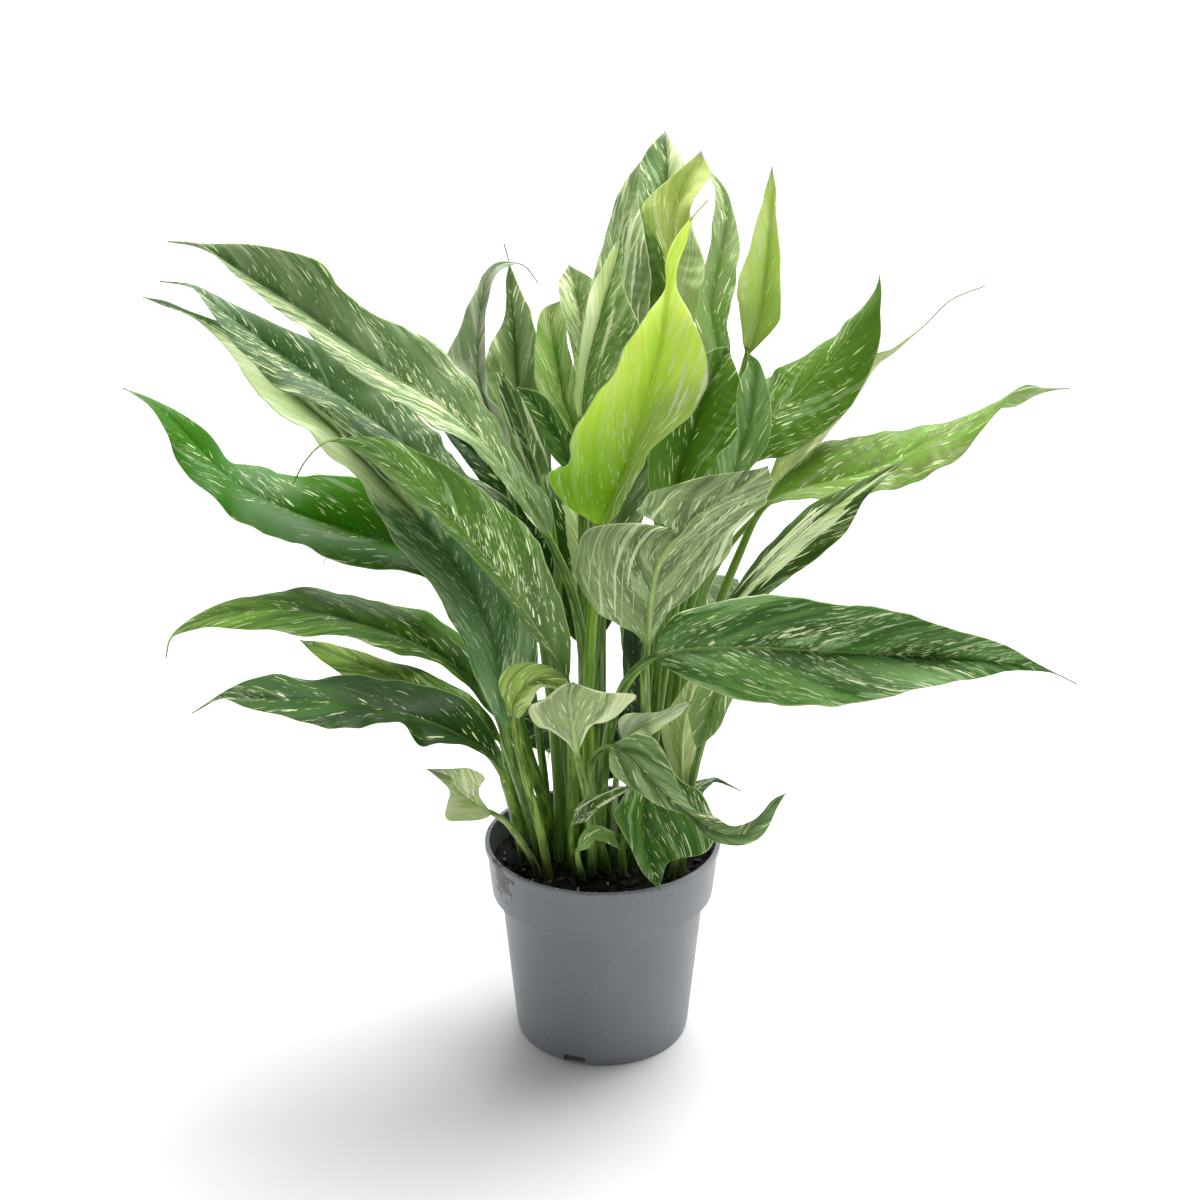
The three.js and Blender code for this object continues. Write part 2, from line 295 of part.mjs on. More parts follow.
    [12.9,88.7,430.8,-7.8,-5.6,1.9,13.2,-11.6,0.9,-0.21,-0.82,0.53,0.3],
    [16.1,96.2,443.3,-6.4,-2.9,2.8,7.4,-4.1,-0.3,0.04,-0.86,0.51,0.3],
    [20.3,103.7,455.5,-4.7,-1.5,2.3,2.3,-1,-0.1,0.21,-0.87,0.45,0.3],
    [23.6,110,466.4,-0,-0,0,0,0,-0,0.21,-0.87,0.44,0.3],
  ] },
  leaf_16: { kind: 'leaf_pale', stalk: 4, st: [
    [25,12.1,90.6,0,0,0,0,0,0,-0,-1,0.03,2.83],
    [24.8,12.5,105.6,0,0,0,0,0,0,-0,-0.99,0.11,2.74],
    [28.5,23.5,192.3,0,0,0,0,0,0,0,-0.99,0.17,2.5],
    [35.1,41.7,276.3,-0,-0,-0,0,0,0,0.01,-0.97,0.23,2.26],
    [41.6,63.1,357.9,-0.3,0,0,0.3,-0,-0,0.01,-0.96,0.27,1.73],
    [41,69.8,375.4,-11.4,-6.4,1.4,9.9,-4.9,4.3,0.01,-0.91,0.42,1.47],
    [40.7,77.7,389.3,-16.8,-11.7,1.3,14.5,-9.5,8.5,-0.06,-0.85,0.53,1.22],
    [40.3,86.6,402.3,-18.8,-15.6,2,17.1,-14.6,6.4,-0.05,-0.8,0.59,1],
    [39.6,96.4,414.6,-19.6,-17,3.6,17.8,-18.1,3.9,-0.03,-0.77,0.64,0.78],
    [39.4,106.6,426.5,-20.1,-15.7,4.7,13.6,-18.7,3.5,-0.04,-0.75,0.66,0.59],
    [39.1,117.1,437.9,-19.6,-12.8,5.7,12.2,-17.5,3.2,-0.05,-0.72,0.69,0.41],
    [39.1,128.1,448.7,-17.8,-8.7,5.7,11.5,-13.8,3.2,-0.06,-0.69,0.73,0.3],
    [39.5,139.6,459.2,-14.9,-4.7,3.7,9.4,-7.9,3.3,-0.08,-0.66,0.74,0.3],
    [39.1,151.1,469.3,-8,-1.9,1.7,4.5,-1.8,1.5,0.01,-0.66,0.75,0.3],
    [38.7,160,477.1,-0,-0,-0,0,0,0,0.01,-0.66,0.75,0.3],
  ] },
  leaf_17: { kind: 'leaf_light', stalk: 4, st: [
    [18,-1.2,90.7,0,0,0,0,0,0,-0.12,-0.99,0,2.36],
    [18.4,-1.3,105.7,0,0,0,0,0,0,-0.12,-0.99,0.07,2.28],
    [26.2,6.2,207.3,0,0,0,0,0,0,-0.12,-0.99,0.02,2.08],
    [33.2,0.6,312.7,0,0,0,0,0,0,-0.12,-0.99,0.01,1.88],
    [37.6,7.1,411.6,-0,0,0,0,-0,-0,-0.12,-0.99,0.06,1.44],
    [37.9,7,423.3,-2.4,0,0.1,2.4,-0.5,0,-0.12,-0.98,0.14,1.22],
    [38,9.7,430.6,-3.5,-1.1,0.6,3.7,-1.9,1,-0.13,-0.89,0.44,1.02],
    [37.7,14,437.4,-6.3,-1.7,0.9,5.7,-2.9,1.8,-0.12,-0.83,0.55,0.83],
    [37.8,18.5,444,-10.7,-3.7,1.9,7.5,-6.2,2.7,-0.14,-0.81,0.57,0.65],
    [39,23,450.5,-16.6,-6.3,3.1,7.9,-9.4,2.3,-0.08,-0.81,0.58,0.49],
    [41.2,27.3,456.6,-16.5,-5.9,2.8,7.3,-10.3,1.6,-0.11,-0.78,0.61,0.34],
    [44.1,31.7,462.6,-10.8,-3.4,3.7,7.6,-8.6,0.2,-0.1,-0.77,0.63,0.3],
    [47.2,36,468.3,-6.1,-1.9,3.7,8.4,-6.4,-1.4,-0.02,-0.78,0.63,0.3],
    [50.8,40.5,473.7,-3.5,-1.2,2.6,7.7,-2.5,-2.6,0.15,-0.84,0.53,0.3],
    [53.5,45,480.7,-0,0,0,0,-0,-0,0.14,-0.85,0.5,0.3],
  ] },
  leaf_18: { kind: 'leaf_mid', stalk: 4, st: [
    [30.5,19,90.5,0,0,0,0,0,0,0.1,-0.99,0.03,2.71],
    [30.2,19.5,105.5,0,0,0,0,0,0,0.1,-0.99,0.1,2.63],
    [36.8,30.2,190.7,0,0,0,0,0,0,0.11,-0.98,0.15,2.4],
    [51.9,47,273.1,0,0,0,0,0,0,0.12,-0.97,0.21,2.16],
    [67.7,69.2,351.8,0,0,0,0,0,0,0.13,-0.95,0.28,1.66],
    [66.9,76.4,366.3,-7.1,-3.6,1.5,6.4,-2.1,1.1,0.11,-0.84,0.53,1.41],
    [64.8,85,377.4,-9.3,-8,2.6,7.1,-3.1,1.7,0.25,-0.73,0.64,1.17],
    [63.3,94.4,388.2,-11.1,-10.1,2.3,9.8,-7.8,1.5,0.11,-0.75,0.65,0.95],
    [65.3,103.7,398.8,-11.1,-8.4,1.6,10.3,-12,1.5,-0.12,-0.73,0.67,0.75],
    [68.2,112.8,409.2,-8.3,-5.4,1.2,9.9,-11.8,1.6,-0.26,-0.69,0.67,0.56],
    [70.9,121.9,419.6,-7.3,-4.6,2.2,8.9,-7.9,0.4,-0.08,-0.75,0.66,0.4],
    [72.7,130.9,430.2,-7.8,-5,3,5.4,-2,0.8,0.27,-0.75,0.61,0.3],
    [72.6,139.9,440.9,-6.2,-4.7,2.4,2.8,-0.1,0.9,0.43,-0.63,0.65,0.3],
    [68.2,148.8,450.6,-3.3,-2.8,1.1,1.6,0.4,0.4,0.42,-0.51,0.75,0.3],
    [62.8,155,456.5,-0,-0,-0,0,0,0,0.38,-0.44,0.82,0.3],
  ] },
  leaf_19: { kind: 'leaf_light', stalk: 4, st: [
    [35.5,9.6,90.6,0,0,0,0,0,0,-0.11,-0.99,0.02,2.6],
    [35.8,9.8,105.6,0,0,0,0,0,0,-0.1,-0.99,0.1,2.51],
    [47.5,18.7,195.7,0,0,0,0,0,0,-0.1,-0.99,0.11,2.29],
    [61.1,26.7,285.6,0,0,0,0,0,0,-0.09,-0.99,0.13,2.07],
    [78.4,39.3,371.2,-0,0,0,0,-0,-0,-0.09,-0.98,0.16,1.58],
    [82,40.6,384.2,-5.5,-2.1,1.5,5.6,-3.5,-0.9,-0.08,-0.98,0.2,1.35],
    [84.9,43.3,393.6,-9.5,-5.5,1.6,9.7,-7.8,-1.3,-0.06,-0.94,0.35,1.12],
    [87.1,47.1,402.8,-13.6,-11.1,0.6,9.2,-8.3,-0.6,0.13,-0.92,0.36,0.91],
    [88.5,51,411.9,-15.7,-14.4,-0.1,8,-6.5,0.8,0.29,-0.9,0.34,0.72],
    [89.7,54.9,421,-12.8,-12.4,0.8,7,-4.5,1.5,0.34,-0.88,0.34,0.54],
    [90.6,58.8,430.1,-10.3,-9.7,0.9,5.8,-3.1,0.8,0.36,-0.87,0.34,0.38],
    [91.2,62.6,439.1,-7.9,-6.3,1.3,4.3,-1.7,0.3,0.36,-0.87,0.35,0.3],
    [91.7,66.5,448.2,-5.2,-3,1.3,3.1,-1.1,0.3,0.25,-0.89,0.37,0.3],
    [92.2,70.3,457.2,-3.2,-0.9,0.5,2.9,-0.4,0,0.11,-0.92,0.38,0.3],
    [92.8,75,468.5,-0,-0,0,0,0,-0,0.11,-0.92,0.37,0.3],
  ] },
  leaf_20: { kind: 'leaf_light', stalk: 4, st: [
    [-3.7,-11.6,90.4,0,0,0,0,0,0,-0.32,-0.95,-0.04,3.54],
    [-3.7,-12.1,105.3,0,0,0,0,0,0,-0.33,-0.92,-0.2,3.43],
    [-4.5,-30,176.9,0,0,0,0,0,0,-0.33,-0.93,-0.19,3.12],
    [-3.2,-40.8,243.2,-0,-0,-0,0,0,0,-0.33,-0.93,-0.15,2.82],
    [2.4,-54,307.9,-0.5,0.2,0.1,0.5,-0.2,-0.1,-0.33,-0.93,-0.18,2.16],
    [8.2,-61.2,326,-26.2,1,1.9,4.9,-10.3,1.6,-0.34,-0.92,-0.2,1.86],
    [14.3,-65.8,342.1,-31.7,0.7,1.4,5.9,-17.7,5.1,-0.43,-0.9,-0.06,1.57],
    [19.2,-68.8,358.4,-31.5,-4.5,2.1,10.3,-21.9,5.6,-0.38,-0.92,-0,1.3],
    [23.3,-69.7,374.6,-27.2,-14.7,5.9,21.7,-21.6,5.2,-0.14,-0.99,-0,1.05],
    [26.9,-70,390.8,-19.6,-20.5,5.7,25.1,-17.9,4.3,0.06,-1,-0,0.82],
    [30.2,-69.4,407,-13.9,-15,4.9,19.1,-14.4,4.5,0.02,-0.99,0.15,0.61],
    [32.7,-65,422.7,-6.5,-4.3,1.8,9.3,-7.9,2.1,-0.21,-0.9,0.38,0.41],
    [34.7,-57.6,437.4,-2.6,0.2,0.6,2.7,-1.9,0.1,-0.27,-0.81,0.52,0.3],
    [39.5,-49.3,450.5,-2.8,0,1.3,2.9,-1.2,-0.6,0,-0.83,0.56,0.3],
    [45.1,-42,460.3,-0.5,0.2,0.2,0.5,-0.2,-0.2,0.03,-0.78,0.62,0.3],
    [53.1,-35,468,-0,0,0,0,-0,-0,0.05,-0.76,0.65,0.3],
  ] },
  leaf_21: { kind: 'leaf_bright', stalk: 4, st: [
    [39.1,2.1,90.5,0,0,0,0,0,0,-0.87,-0.5,0,2.83],
    [39.1,2,105.5,0,0,0,0,0,0,-0.87,-0.5,0.01,2.74],
    [41.6,0.3,179.7,0,0,0,0,0,0,-0.86,-0.5,0.07,2.5],
    [51,1,251.9,0,0,0,-0,-0,-0,-0.84,-0.5,0.2,2.26],
    [71.8,4.2,319.4,-0.1,0.2,0,0.1,-0.2,-0,-0.82,-0.5,0.29,1.73],
    [78.3,4.3,334.5,-3.1,10.4,1.8,6.2,-9.1,-4.6,-0.75,-0.5,0.43,1.47],
    [85.7,5.9,345.8,-4.5,17.9,4.4,8.1,-16.6,-12.3,-0.61,-0.51,0.6,1.22],
    [95.2,8,354.9,-7.7,23.3,6,9.2,-18.6,-15.8,-0.47,-0.55,0.69,1],
    [105.3,10.6,363,-10.3,24.8,5.3,11.6,-17.6,-16.5,-0.45,-0.58,0.68,0.78],
    [114.4,13.2,372.1,-9.1,22.2,1.4,12.4,-17.2,-18.2,-0.5,-0.59,0.63,0.59],
    [122.8,15.8,381.7,-6,19.6,-0.5,11.8,-15.9,-16.7,-0.55,-0.56,0.62,0.41],
    [130.9,18.3,391.5,-3.7,16.1,-2.3,11.5,-14.3,-8.6,-0.66,-0.45,0.6,0.3],
    [137.8,20.8,402.1,-2.5,11.8,-2.7,7.2,-10.9,-1.7,-0.78,-0.31,0.54,0.3],
    [143.7,23.4,413.2,0.1,4.9,-1.5,2.2,-5.7,0.3,-0.91,-0.11,0.41,0.3],
    [145.6,25,420.6,-0,0,-0,0,-0,0,-0.95,-0.14,0.27,0.3],
  ] },
  leaf_22: { kind: 'leaf_bright', stalk: 4, st: [
    [45.1,6,90.5,0,0,0,0,0,0,0.56,-0.83,0.01,2.48],
    [45.1,6.2,105.5,0,0,0,0,0,0,0.56,-0.83,0,2.4],
    [48.8,8.9,173.5,0,0,0,0,0,0,0.56,-0.83,0.02,2.19],
    [56.3,16.4,239.1,0,0,0,0,0,0,0.54,-0.84,-0.05,1.98],
    [88.2,26.4,293.2,-0,-0,0,0,0,-0,0.49,-0.86,-0.14,1.51],
    [96.6,28.5,305.2,-5.1,-2.6,5.2,4.3,4.2,-4,0.48,-0.86,-0.15,1.32],
    [103.6,31.1,315.5,-7.5,-5.1,9.4,5.7,7.9,-5.8,0.57,-0.8,-0.19,1.13],
    [110.8,33.9,325.2,-8.7,-7.3,12.3,5.9,11.2,-6.5,0.62,-0.75,-0.26,0.95],
    [118.4,36.8,334.4,-10.3,-8.5,13.3,6,12.3,-7,0.61,-0.74,-0.27,0.78],
    [126,39.7,343.5,-9.7,-8.9,12.5,5.8,12.6,-6.8,0.63,-0.72,-0.3,0.63],
    [133.6,42.5,352.5,-8.5,-8.7,11.5,5.7,12.2,-6.2,0.64,-0.7,-0.32,0.48],
    [141.2,45.4,361.4,-6.7,-8.2,10.6,4.5,10.4,-5.7,0.63,-0.69,-0.35,0.35],
    [149.6,48.5,369.4,-3.2,-7,6.4,1.8,8.2,-4.5,0.6,-0.59,-0.55,0.3],
    [159.5,51,375.4,-1,-4.2,3,0.4,4.7,-2.5,0.62,-0.48,-0.62,0.3],
    [182.3,58.7,393.9,-0.1,-0.5,0.3,0.1,0.5,-0.3,0.57,-0.5,-0.65,0.3],
    [208,65,407.1,-0,-0,0,0,0,-0,0.48,-0.52,-0.7,0.3],
  ] },
  leaf_23: { kind: 'leaf_mid', stalk: 4, st: [
    [45.6,-7.5,90.5,0,0,0,0,0,0,-1,-0.07,0.05,3.07],
    [46.2,-7.6,105.4,0,0,0,0,0,0,-0.99,-0.07,0.1,2.97],
    [53.6,-9,173.1,0,0,0,0,0,0,-0.99,-0.07,0.11,2.71],
    [61.6,-12,241.1,-0,-0,-0,0,0,0,-0.97,-0.07,0.22,2.45],
    [83.2,-12.4,303.4,-0,0.1,0,0,-0.1,-0,-0.9,-0.08,0.43,1.87],
    [97.9,-15.2,316,-2.5,11.5,4.1,-0.7,-11.7,-0.2,-0.52,-0.19,0.83,1.59],
    [115,-18,321.8,-4.6,19.1,11.2,-1.1,-18.4,-3.4,-0.32,-0.37,0.87,1.33],
    [132,-19.5,326.7,-3.2,22.9,14,-1.7,-22,-5.2,-0.32,-0.38,0.87,1.08],
    [148.3,-19.9,333.3,-3,24.2,9,-0.1,-23.8,-5.2,-0.42,-0.28,0.86,0.85],
    [163.4,-20,341.9,-1.3,23.2,4.2,2.7,-25.1,-7.1,-0.47,-0.24,0.85,0.64],
    [178.6,-19.3,350.2,-0.7,19.3,-1.3,2,-24.2,-7,-0.48,-0.14,0.86,0.45],
    [193.3,-17.5,359,0.1,15.6,-5.6,0.5,-18.3,-1,-0.5,0.11,0.86,0.3],
    [208.5,-14.3,366.8,1.4,10,-8.7,-1.5,-11.5,5.9,-0.34,0.56,0.76,0.3],
    [225.1,-11.9,369.4,-0.1,5,-3,0.3,-5.4,2.2,-0.15,0.44,0.89,0.3],
    [239.6,-10,369.9,-0,0,-0,0,-0,0,-0.09,0.45,0.89,0.3],
  ] },
  leaf_24: { kind: 'leaf_dark', stalk: 4, st: [
    [43,-16,90.5,0,0,0,0,0,0,-0.95,-0.3,0.02,2.48],
    [43.5,-16.7,105.5,0,0,0,0,0,0,-0.95,-0.3,0.07,2.4],
    [49,-20.2,153.6,0,0,0,0,0,0,-0.95,-0.3,0.07,2.19],
    [53.6,-26.8,201.5,0,0,0,0,0,0,-0.95,-0.3,0.05,1.98],
    [60.5,-40.4,250.5,0,0,0,0,0,0,-0.94,-0.32,0.11,1.51],
    [67.8,-47,265.4,-0.9,5.9,1.8,2.8,-5.1,-2.3,-0.85,-0.41,0.33,1.29],
    [75.7,-50.1,277.5,-2.5,9.4,0.5,5.4,-10.7,-3.4,-0.78,-0.4,0.49,1.07],
    [84.2,-51.5,288,-5.2,11.8,-1.3,7.2,-14,-4.6,-0.71,-0.41,0.57,0.87],
    [93.1,-52,297.8,-6.2,12.8,-1.6,8.1,-14,-5.5,-0.67,-0.44,0.59,0.68],
    [102.1,-52.5,307.4,-6.6,12.4,-1.5,9.8,-13.5,-5.9,-0.63,-0.5,0.6,0.51],
    [111.7,-53,316.3,-6.9,12.2,0.2,10,-12.4,-6,-0.56,-0.54,0.62,0.36],
    [121.9,-53.5,324.3,-3.6,10.8,0.5,5.3,-9.9,-3,-0.57,-0.37,0.73,0.3],
    [132.3,-54.1,332,-0.8,8.3,0.3,1.5,-7.8,-1.2,-0.59,-0.16,0.79,0.3],
    [142.8,-54.7,339.5,0,4.4,0.2,0.2,-4.8,-0.5,-0.58,-0.07,0.81,0.3],
    [151.7,-55,345.7,-0,0,0,0,-0,-0,-0.57,-0.07,0.82,0.3],
  ] },
  leaf_25: { kind: 'leaf_dark', stalk: 4, st: [
    [1,-20.3,90.5,0,0,0,0,0,0,-0.93,-0.37,-0.04,3.42],
    [1.1,-22.1,105.3,0,0,0,0,0,0,-0.93,-0.36,-0.05,3.31],
    [3,-33.9,157.2,0,0,0,0,0,0,-0.93,-0.36,-0.06,3.02],
    [8.1,-59.1,208.9,-0,0,-0,-0,0,-0,-0.92,-0.39,-0.02,2.73],
    [26,-94.3,256.3,-0.1,0.3,0.3,0.1,-0.3,-0.3,-0.82,-0.55,0.17,2.09],
    [47.6,-100.4,263.8,-8,5.1,16.8,-0.4,-10.9,-13.4,-0.16,-0.89,0.43,1.8],
    [69.7,-98.6,264,-9,2.9,23.3,-3.6,-16.1,-19.3,0.12,-0.9,0.42,1.52],
    [91.5,-95.4,261.8,-8,-0.3,28.3,-3.7,-19.4,-21.5,0.17,-0.92,0.37,1.26],
    [112.9,-92.4,259.5,-7.8,-4,28,-3.8,-22.2,-19.2,0.17,-0.91,0.37,1.02],
    [134.1,-89.5,257.2,-8.2,-5.6,27.7,-3.8,-23.9,-14.6,0.17,-0.9,0.41,0.79],
    [155.2,-86.3,254.8,-8.3,-6,25.1,-3.7,-22.7,-9.5,0.19,-0.87,0.45,0.59],
    [176,-82.7,252.1,-6.2,-5.1,18.6,-2.5,-17,-6,0.22,-0.86,0.45,0.4],
    [196.7,-78.8,248.8,-0.7,-2.3,11.4,-0.8,-6.1,-3.9,0.23,-0.95,0.23,0.3],
    [217,-74.8,244.5,0.5,0.6,2.4,-0.4,-1.2,-2.1,0.25,-0.94,0.23,0.3],
    [229.5,-72.2,239.4,0.1,0.1,0.2,-0.1,-0.1,-0.2,0.29,-0.93,0.21,0.3],
    [241.1,-70,232.8,0,0,0,-0,-0,-0,0.3,-0.93,0.21,0.3],
  ] },
  leaf_26: { kind: 'leaf_grey', stalk: 4, st: [
    [19,-18.8,90.5,0,0,0,0,0,0,-0.24,0.97,0.09,3.42],
    [19.5,-20.1,105.4,0,0,0,0,0,0,-0.23,0.93,0.27,3.31],
    [24.6,-36.5,155.8,0,0,0,0,0,0,-0.22,0.9,0.37,3.02],
    [25.1,-59.3,204.8,0,0,0,0,0,0,-0.22,0.88,0.42,2.73],
    [23.9,-81.5,250.5,0,0,0,0,0,0,-0.22,0.87,0.43,2.09],
    [25,-90.9,269,4.9,3.3,-0.2,-3.8,3.4,-4.5,-0.22,0.85,0.47,1.91],
    [25.6,-100.2,285,10.8,6.3,-2.4,-16.6,6.8,-9.8,-0.12,0.86,0.5,1.73],
    [26.7,-107.6,297.9,17.9,8.3,-7.6,-28.8,8.4,-11.7,-0.04,0.88,0.47,1.56],
    [28.3,-112.9,308.7,24.6,11.6,-8.2,-38.9,8.2,-5.4,-0.03,0.9,0.43,1.4],
    [30.9,-116.5,316.9,28.4,14.4,-7,-40,9,0.9,-0.03,0.91,0.41,1.24],
    [32.7,-118.1,320.4,30.7,16.5,-4.2,-34.7,12.7,6.5,0.01,0.92,0.39,1.09],
    [34.9,-119.9,324.7,29.3,16.2,-4.3,-17.3,12.7,5.3,0.01,0.91,0.41,0.94],
    [38.9,-122.3,329.6,27.3,15.9,-3.3,-5.6,9.9,0.1,-0.11,0.87,0.47,0.8],
    [41.9,-124.4,334.6,26.7,15.4,-3.1,-18,11.2,-0.8,-0.06,0.9,0.42,0.67],
    [44.5,-126.1,338.5,26.7,15.2,-3,-26.2,13.1,-0.9,-0.02,0.9,0.44,0.55],
    [48,-127.9,342,26.6,14.9,-2.4,-27,11.3,0.2,-0.03,0.86,0.5,0.44],
    [52.8,-130.1,346,24.7,13.5,-2.8,-27.4,9,4.3,-0.01,0.86,0.5,0.33],
    [58.4,-132.5,350.1,20.8,11.4,-2.6,-21.4,7.9,4.2,0,0.88,0.48,0.3],
    [63.5,-134.7,354.5,16,8.9,-1.8,-15.8,8.3,3.6,0.05,0.92,0.38,0.3],
    [68.6,-136.9,359.4,10.3,5.8,-1.3,-9.4,6.5,1.8,0.08,0.94,0.33,0.3],
    [72.8,-138.6,363.2,4.7,2.9,-0.4,-4.2,3.5,0.8,0.1,0.95,0.28,0.3],
    [76.2,-140,367.3,0,0,-0,-0,-0,0,0.08,0.96,0.27,0.3],
  ] },
  leaf_27: { kind: 'leaf_mid', stalk: 3, st: [
    [40,-33.8,91,0,0,0,0,0,0,0.33,0.94,0.04,2.09],
    [40.8,-34.8,105.8,0,0,0,0,0,0,0.35,0.92,0.18,2.01],
    [51.7,-56.1,180.6,-0,0,0,-0,-0,0,0.34,0.94,0.09,1.81],
    [66.6,-56.7,235.9,0.1,-0,-0,-0.1,0,0,0.33,0.94,0.05,1.37],
    [64.5,-63.8,235.6,7,1.4,1.6,-8.3,0.4,0.9,-0.02,-0.34,0.94,1.12],
    [62.2,-68.3,231.6,8.7,-5.2,1.5,-9.8,-0.8,3.2,-0.12,-0.75,0.65,0.88],
    [60.1,-70.9,226.5,7.6,-5.9,0.7,-12.6,-5.2,2.7,0.01,-0.91,0.41,0.67],
    [58.1,-72.9,221.3,7.2,-5.8,0.5,-12.3,-5.6,2.6,0.03,-0.94,0.34,0.47],
    [55.9,-74.9,216.1,6.8,-5.1,-0.2,-10.2,-4,2.9,0.01,-0.94,0.35,0.31],
    [53.7,-76.8,211,5.7,-3.9,-0.7,-6.7,-1.7,2.6,-0.07,-0.93,0.37,0.3],
    [51.5,-78.6,205.9,2.8,-1.5,-0.5,-3.2,-0.4,1.4,-0.06,-0.93,0.36,0.3],
    [50.4,-80,202.1,0,-0,-0,-0,0,0,-0.06,-0.93,0.36,0.3],
  ] },
  leaf_28: { kind: 'leaf_pale', stalk: 3, st: [
    [46.3,-28,90.4,0,0,0,0,0,0,0.29,0.96,-0,2.2],
    [46.3,-28,105.4,0,0,0,0,0,0,0.29,0.96,-0.04,2.12],
    [46.8,-26.8,125.6,0,0,0,0,0,0,0.29,0.96,-0.02,1.91],
    [47.8,-27.5,147,0,0,0,0,0,0,0.29,0.95,0.08,1.44],
    [46.4,-29.5,157.6,2.3,0.6,0.3,-3.6,2.4,0.3,0.28,0.93,0.23,1.18],
    [45.5,-32,168,4.7,1.6,0.6,-6.3,3.7,0.6,0.18,0.95,0.25,0.93],
    [45.1,-34.6,178.3,7.5,3.7,0.4,-9.2,5.2,1,0.09,0.97,0.22,0.7],
    [45.2,-36.6,188.2,9.4,5.6,-1.3,-11.8,6.2,1.3,0.05,0.98,0.17,0.5],
    [46.2,-37.9,197.5,9.7,6.5,-2.2,-10.9,5,0.9,-0.05,0.99,0.13,0.32],
    [47.7,-39,206.6,8.6,5.7,-1.9,-8,3.1,0.8,-0.13,0.98,0.13,0.3],
    [49.5,-39.9,215.6,6.7,3.3,-1.4,-5.1,1.4,0.8,-0.15,0.99,0.01,0.3],
    [51.9,-38.6,228.5,0,0,-0,-0,-0,0,-0.17,0.98,-0.07,0.3],
  ] },
  leaf_29: { kind: 'leaf_pale', stalk: 3, st: [
    [9.1,-13.4,90.5,0,0,0,0,0,0,-0.89,-0.45,-0.07,1.98],
    [9.1,-15.7,105.1,0,0,0,0,0,0,-0.9,-0.4,-0.19,1.91],
    [9.5,-46.7,157.9,0,0,0,0,0,0,-0.9,-0.4,-0.19,1.72],
    [13,-69.8,200.1,-0.1,0.2,0.1,0.1,-0.2,-0.1,-0.89,-0.44,-0.12,1.3],
    [16.5,-73.4,206.2,-5.5,5,5.4,1.2,-5,-1.7,-0.67,-0.67,0.32,1.06],
    [20.3,-72.9,208.9,-5.4,3.4,7.2,2.2,-6.4,-2.9,-0.23,-0.78,0.58,0.84],
    [24.2,-72,211.1,-4.2,1.7,6.1,1,-6.6,-4.6,-0.58,-0.75,0.3,0.63],
    [28.1,-76.3,215.4,-3.1,1.3,4,0.1,-4.7,-5,-0.83,-0.55,0.08,0.45],
    [31.9,-82.2,220.3,-1.8,0.6,2.4,0.3,-4.2,-4.2,-0.84,-0.53,0.12,0.31],
    [35.8,-86.6,224.3,-1.4,0.4,2,0.7,-3.5,-3.2,-0.75,-0.64,0.18,0.3],
    [39.7,-89.3,227.6,-1,0.8,1.7,1.1,-2.4,-2.4,-0.49,-0.8,0.36,0.3],
    [47.5,-90,232.7,-0,0,0,0,-0,-0,-0.36,-0.82,0.44,0.3],
  ] },
  leaf_30: { kind: 'leaf_pale', stalk: 3, st: [
    [-2.9,-28.6,90.6,0,0,0,0,0,0,-0.48,0.87,0.14,2.75],
    [-2.9,-30.9,105.2,0,0,0,0,0,0,-0.5,0.76,0.4,2.65],
    [-4,-66,160,-0,0,0,-0,0,0,-0.51,0.75,0.43,2.39],
    [-9.4,-91.4,201.9,0,0,0,-0,-0,-0,-0.51,0.73,0.46,1.8],
    [-10.1,-103.7,213.2,3.4,2.8,2.5,-2.3,0.3,0,-0.52,0.61,0.59,1.47],
    [-10.5,-111.1,221.4,7,4.9,3.3,-6.3,2.2,0.1,-0.29,0.76,0.58,1.16],
    [-11.1,-115.5,228.1,11.4,8.5,-0.2,-14,8.4,-2.9,-0.05,0.87,0.49,0.88],
    [-11.7,-118.2,234.1,18.1,9.5,-3.7,-19.5,11.8,-5.7,0.04,0.93,0.35,0.62],
    [-12.3,-119.9,239.9,25,5.8,-1.4,-21.4,11.4,-4,0.1,0.96,0.27,0.39],
    [-12.6,-121.4,245.7,32.3,1.7,1.3,-13.6,8.7,-3,0.13,0.96,0.24,0.3],
    [-12,-122.8,251.6,16.3,-0.7,-1.3,-5.3,4.5,0.6,0.25,0.95,0.19,0.3],
    [-11,-124,256.7,0,-0,-0,-0,0,0,0.25,0.95,0.17,0.3],
  ] },
  leaf_31: { kind: 'leaf_pale', stalk: 3, st: [
    [-25.8,-31.9,90.5,0,0,0,0,0,0,-0.33,-0.94,-0.07,2.64],
    [-26.3,-32.9,105.4,0,0,0,0,0,0,-0.31,-0.89,-0.32,2.54],
    [-34.5,-55.4,163.6,-0,0,-0,0,-0,-0,-0.31,-0.88,-0.36,2.29],
    [-41.7,-72.7,214.3,-2.7,0.4,-0.1,2.8,-1.5,-0.2,-0.31,-0.88,-0.36,1.73],
    [-41.9,-77.2,222.6,-3.1,-0.2,0.1,5,-4.6,-1.6,-0.5,-0.79,-0.36,1.41],
    [-40.7,-79.8,228.6,-5.8,-1,1.2,5.8,-5.7,-3.2,-0.44,-0.86,-0.25,1.11],
    [-38.1,-82.4,234,-10.2,-3.6,4.7,5.3,-5.8,-3.8,-0.31,-0.89,-0.35,0.84],
    [-34.1,-86.2,239.1,-11.4,-5.5,10,3.8,-5,-3.3,-0.33,-0.85,-0.41,0.6],
    [-28.9,-90.5,243.5,-6.7,-5.6,12.4,1.3,-3.1,-3.3,-0.43,-0.83,-0.35,0.37],
    [-22.8,-94.5,245,-2.2,-3.4,10.4,-0.4,-1.7,-2.8,-0.48,-0.86,-0.18,0.3],
    [-16.8,-97.3,243.8,0.7,-0.8,5.1,-0.9,-1.2,-2.2,-0.31,-0.94,0.12,0.3],
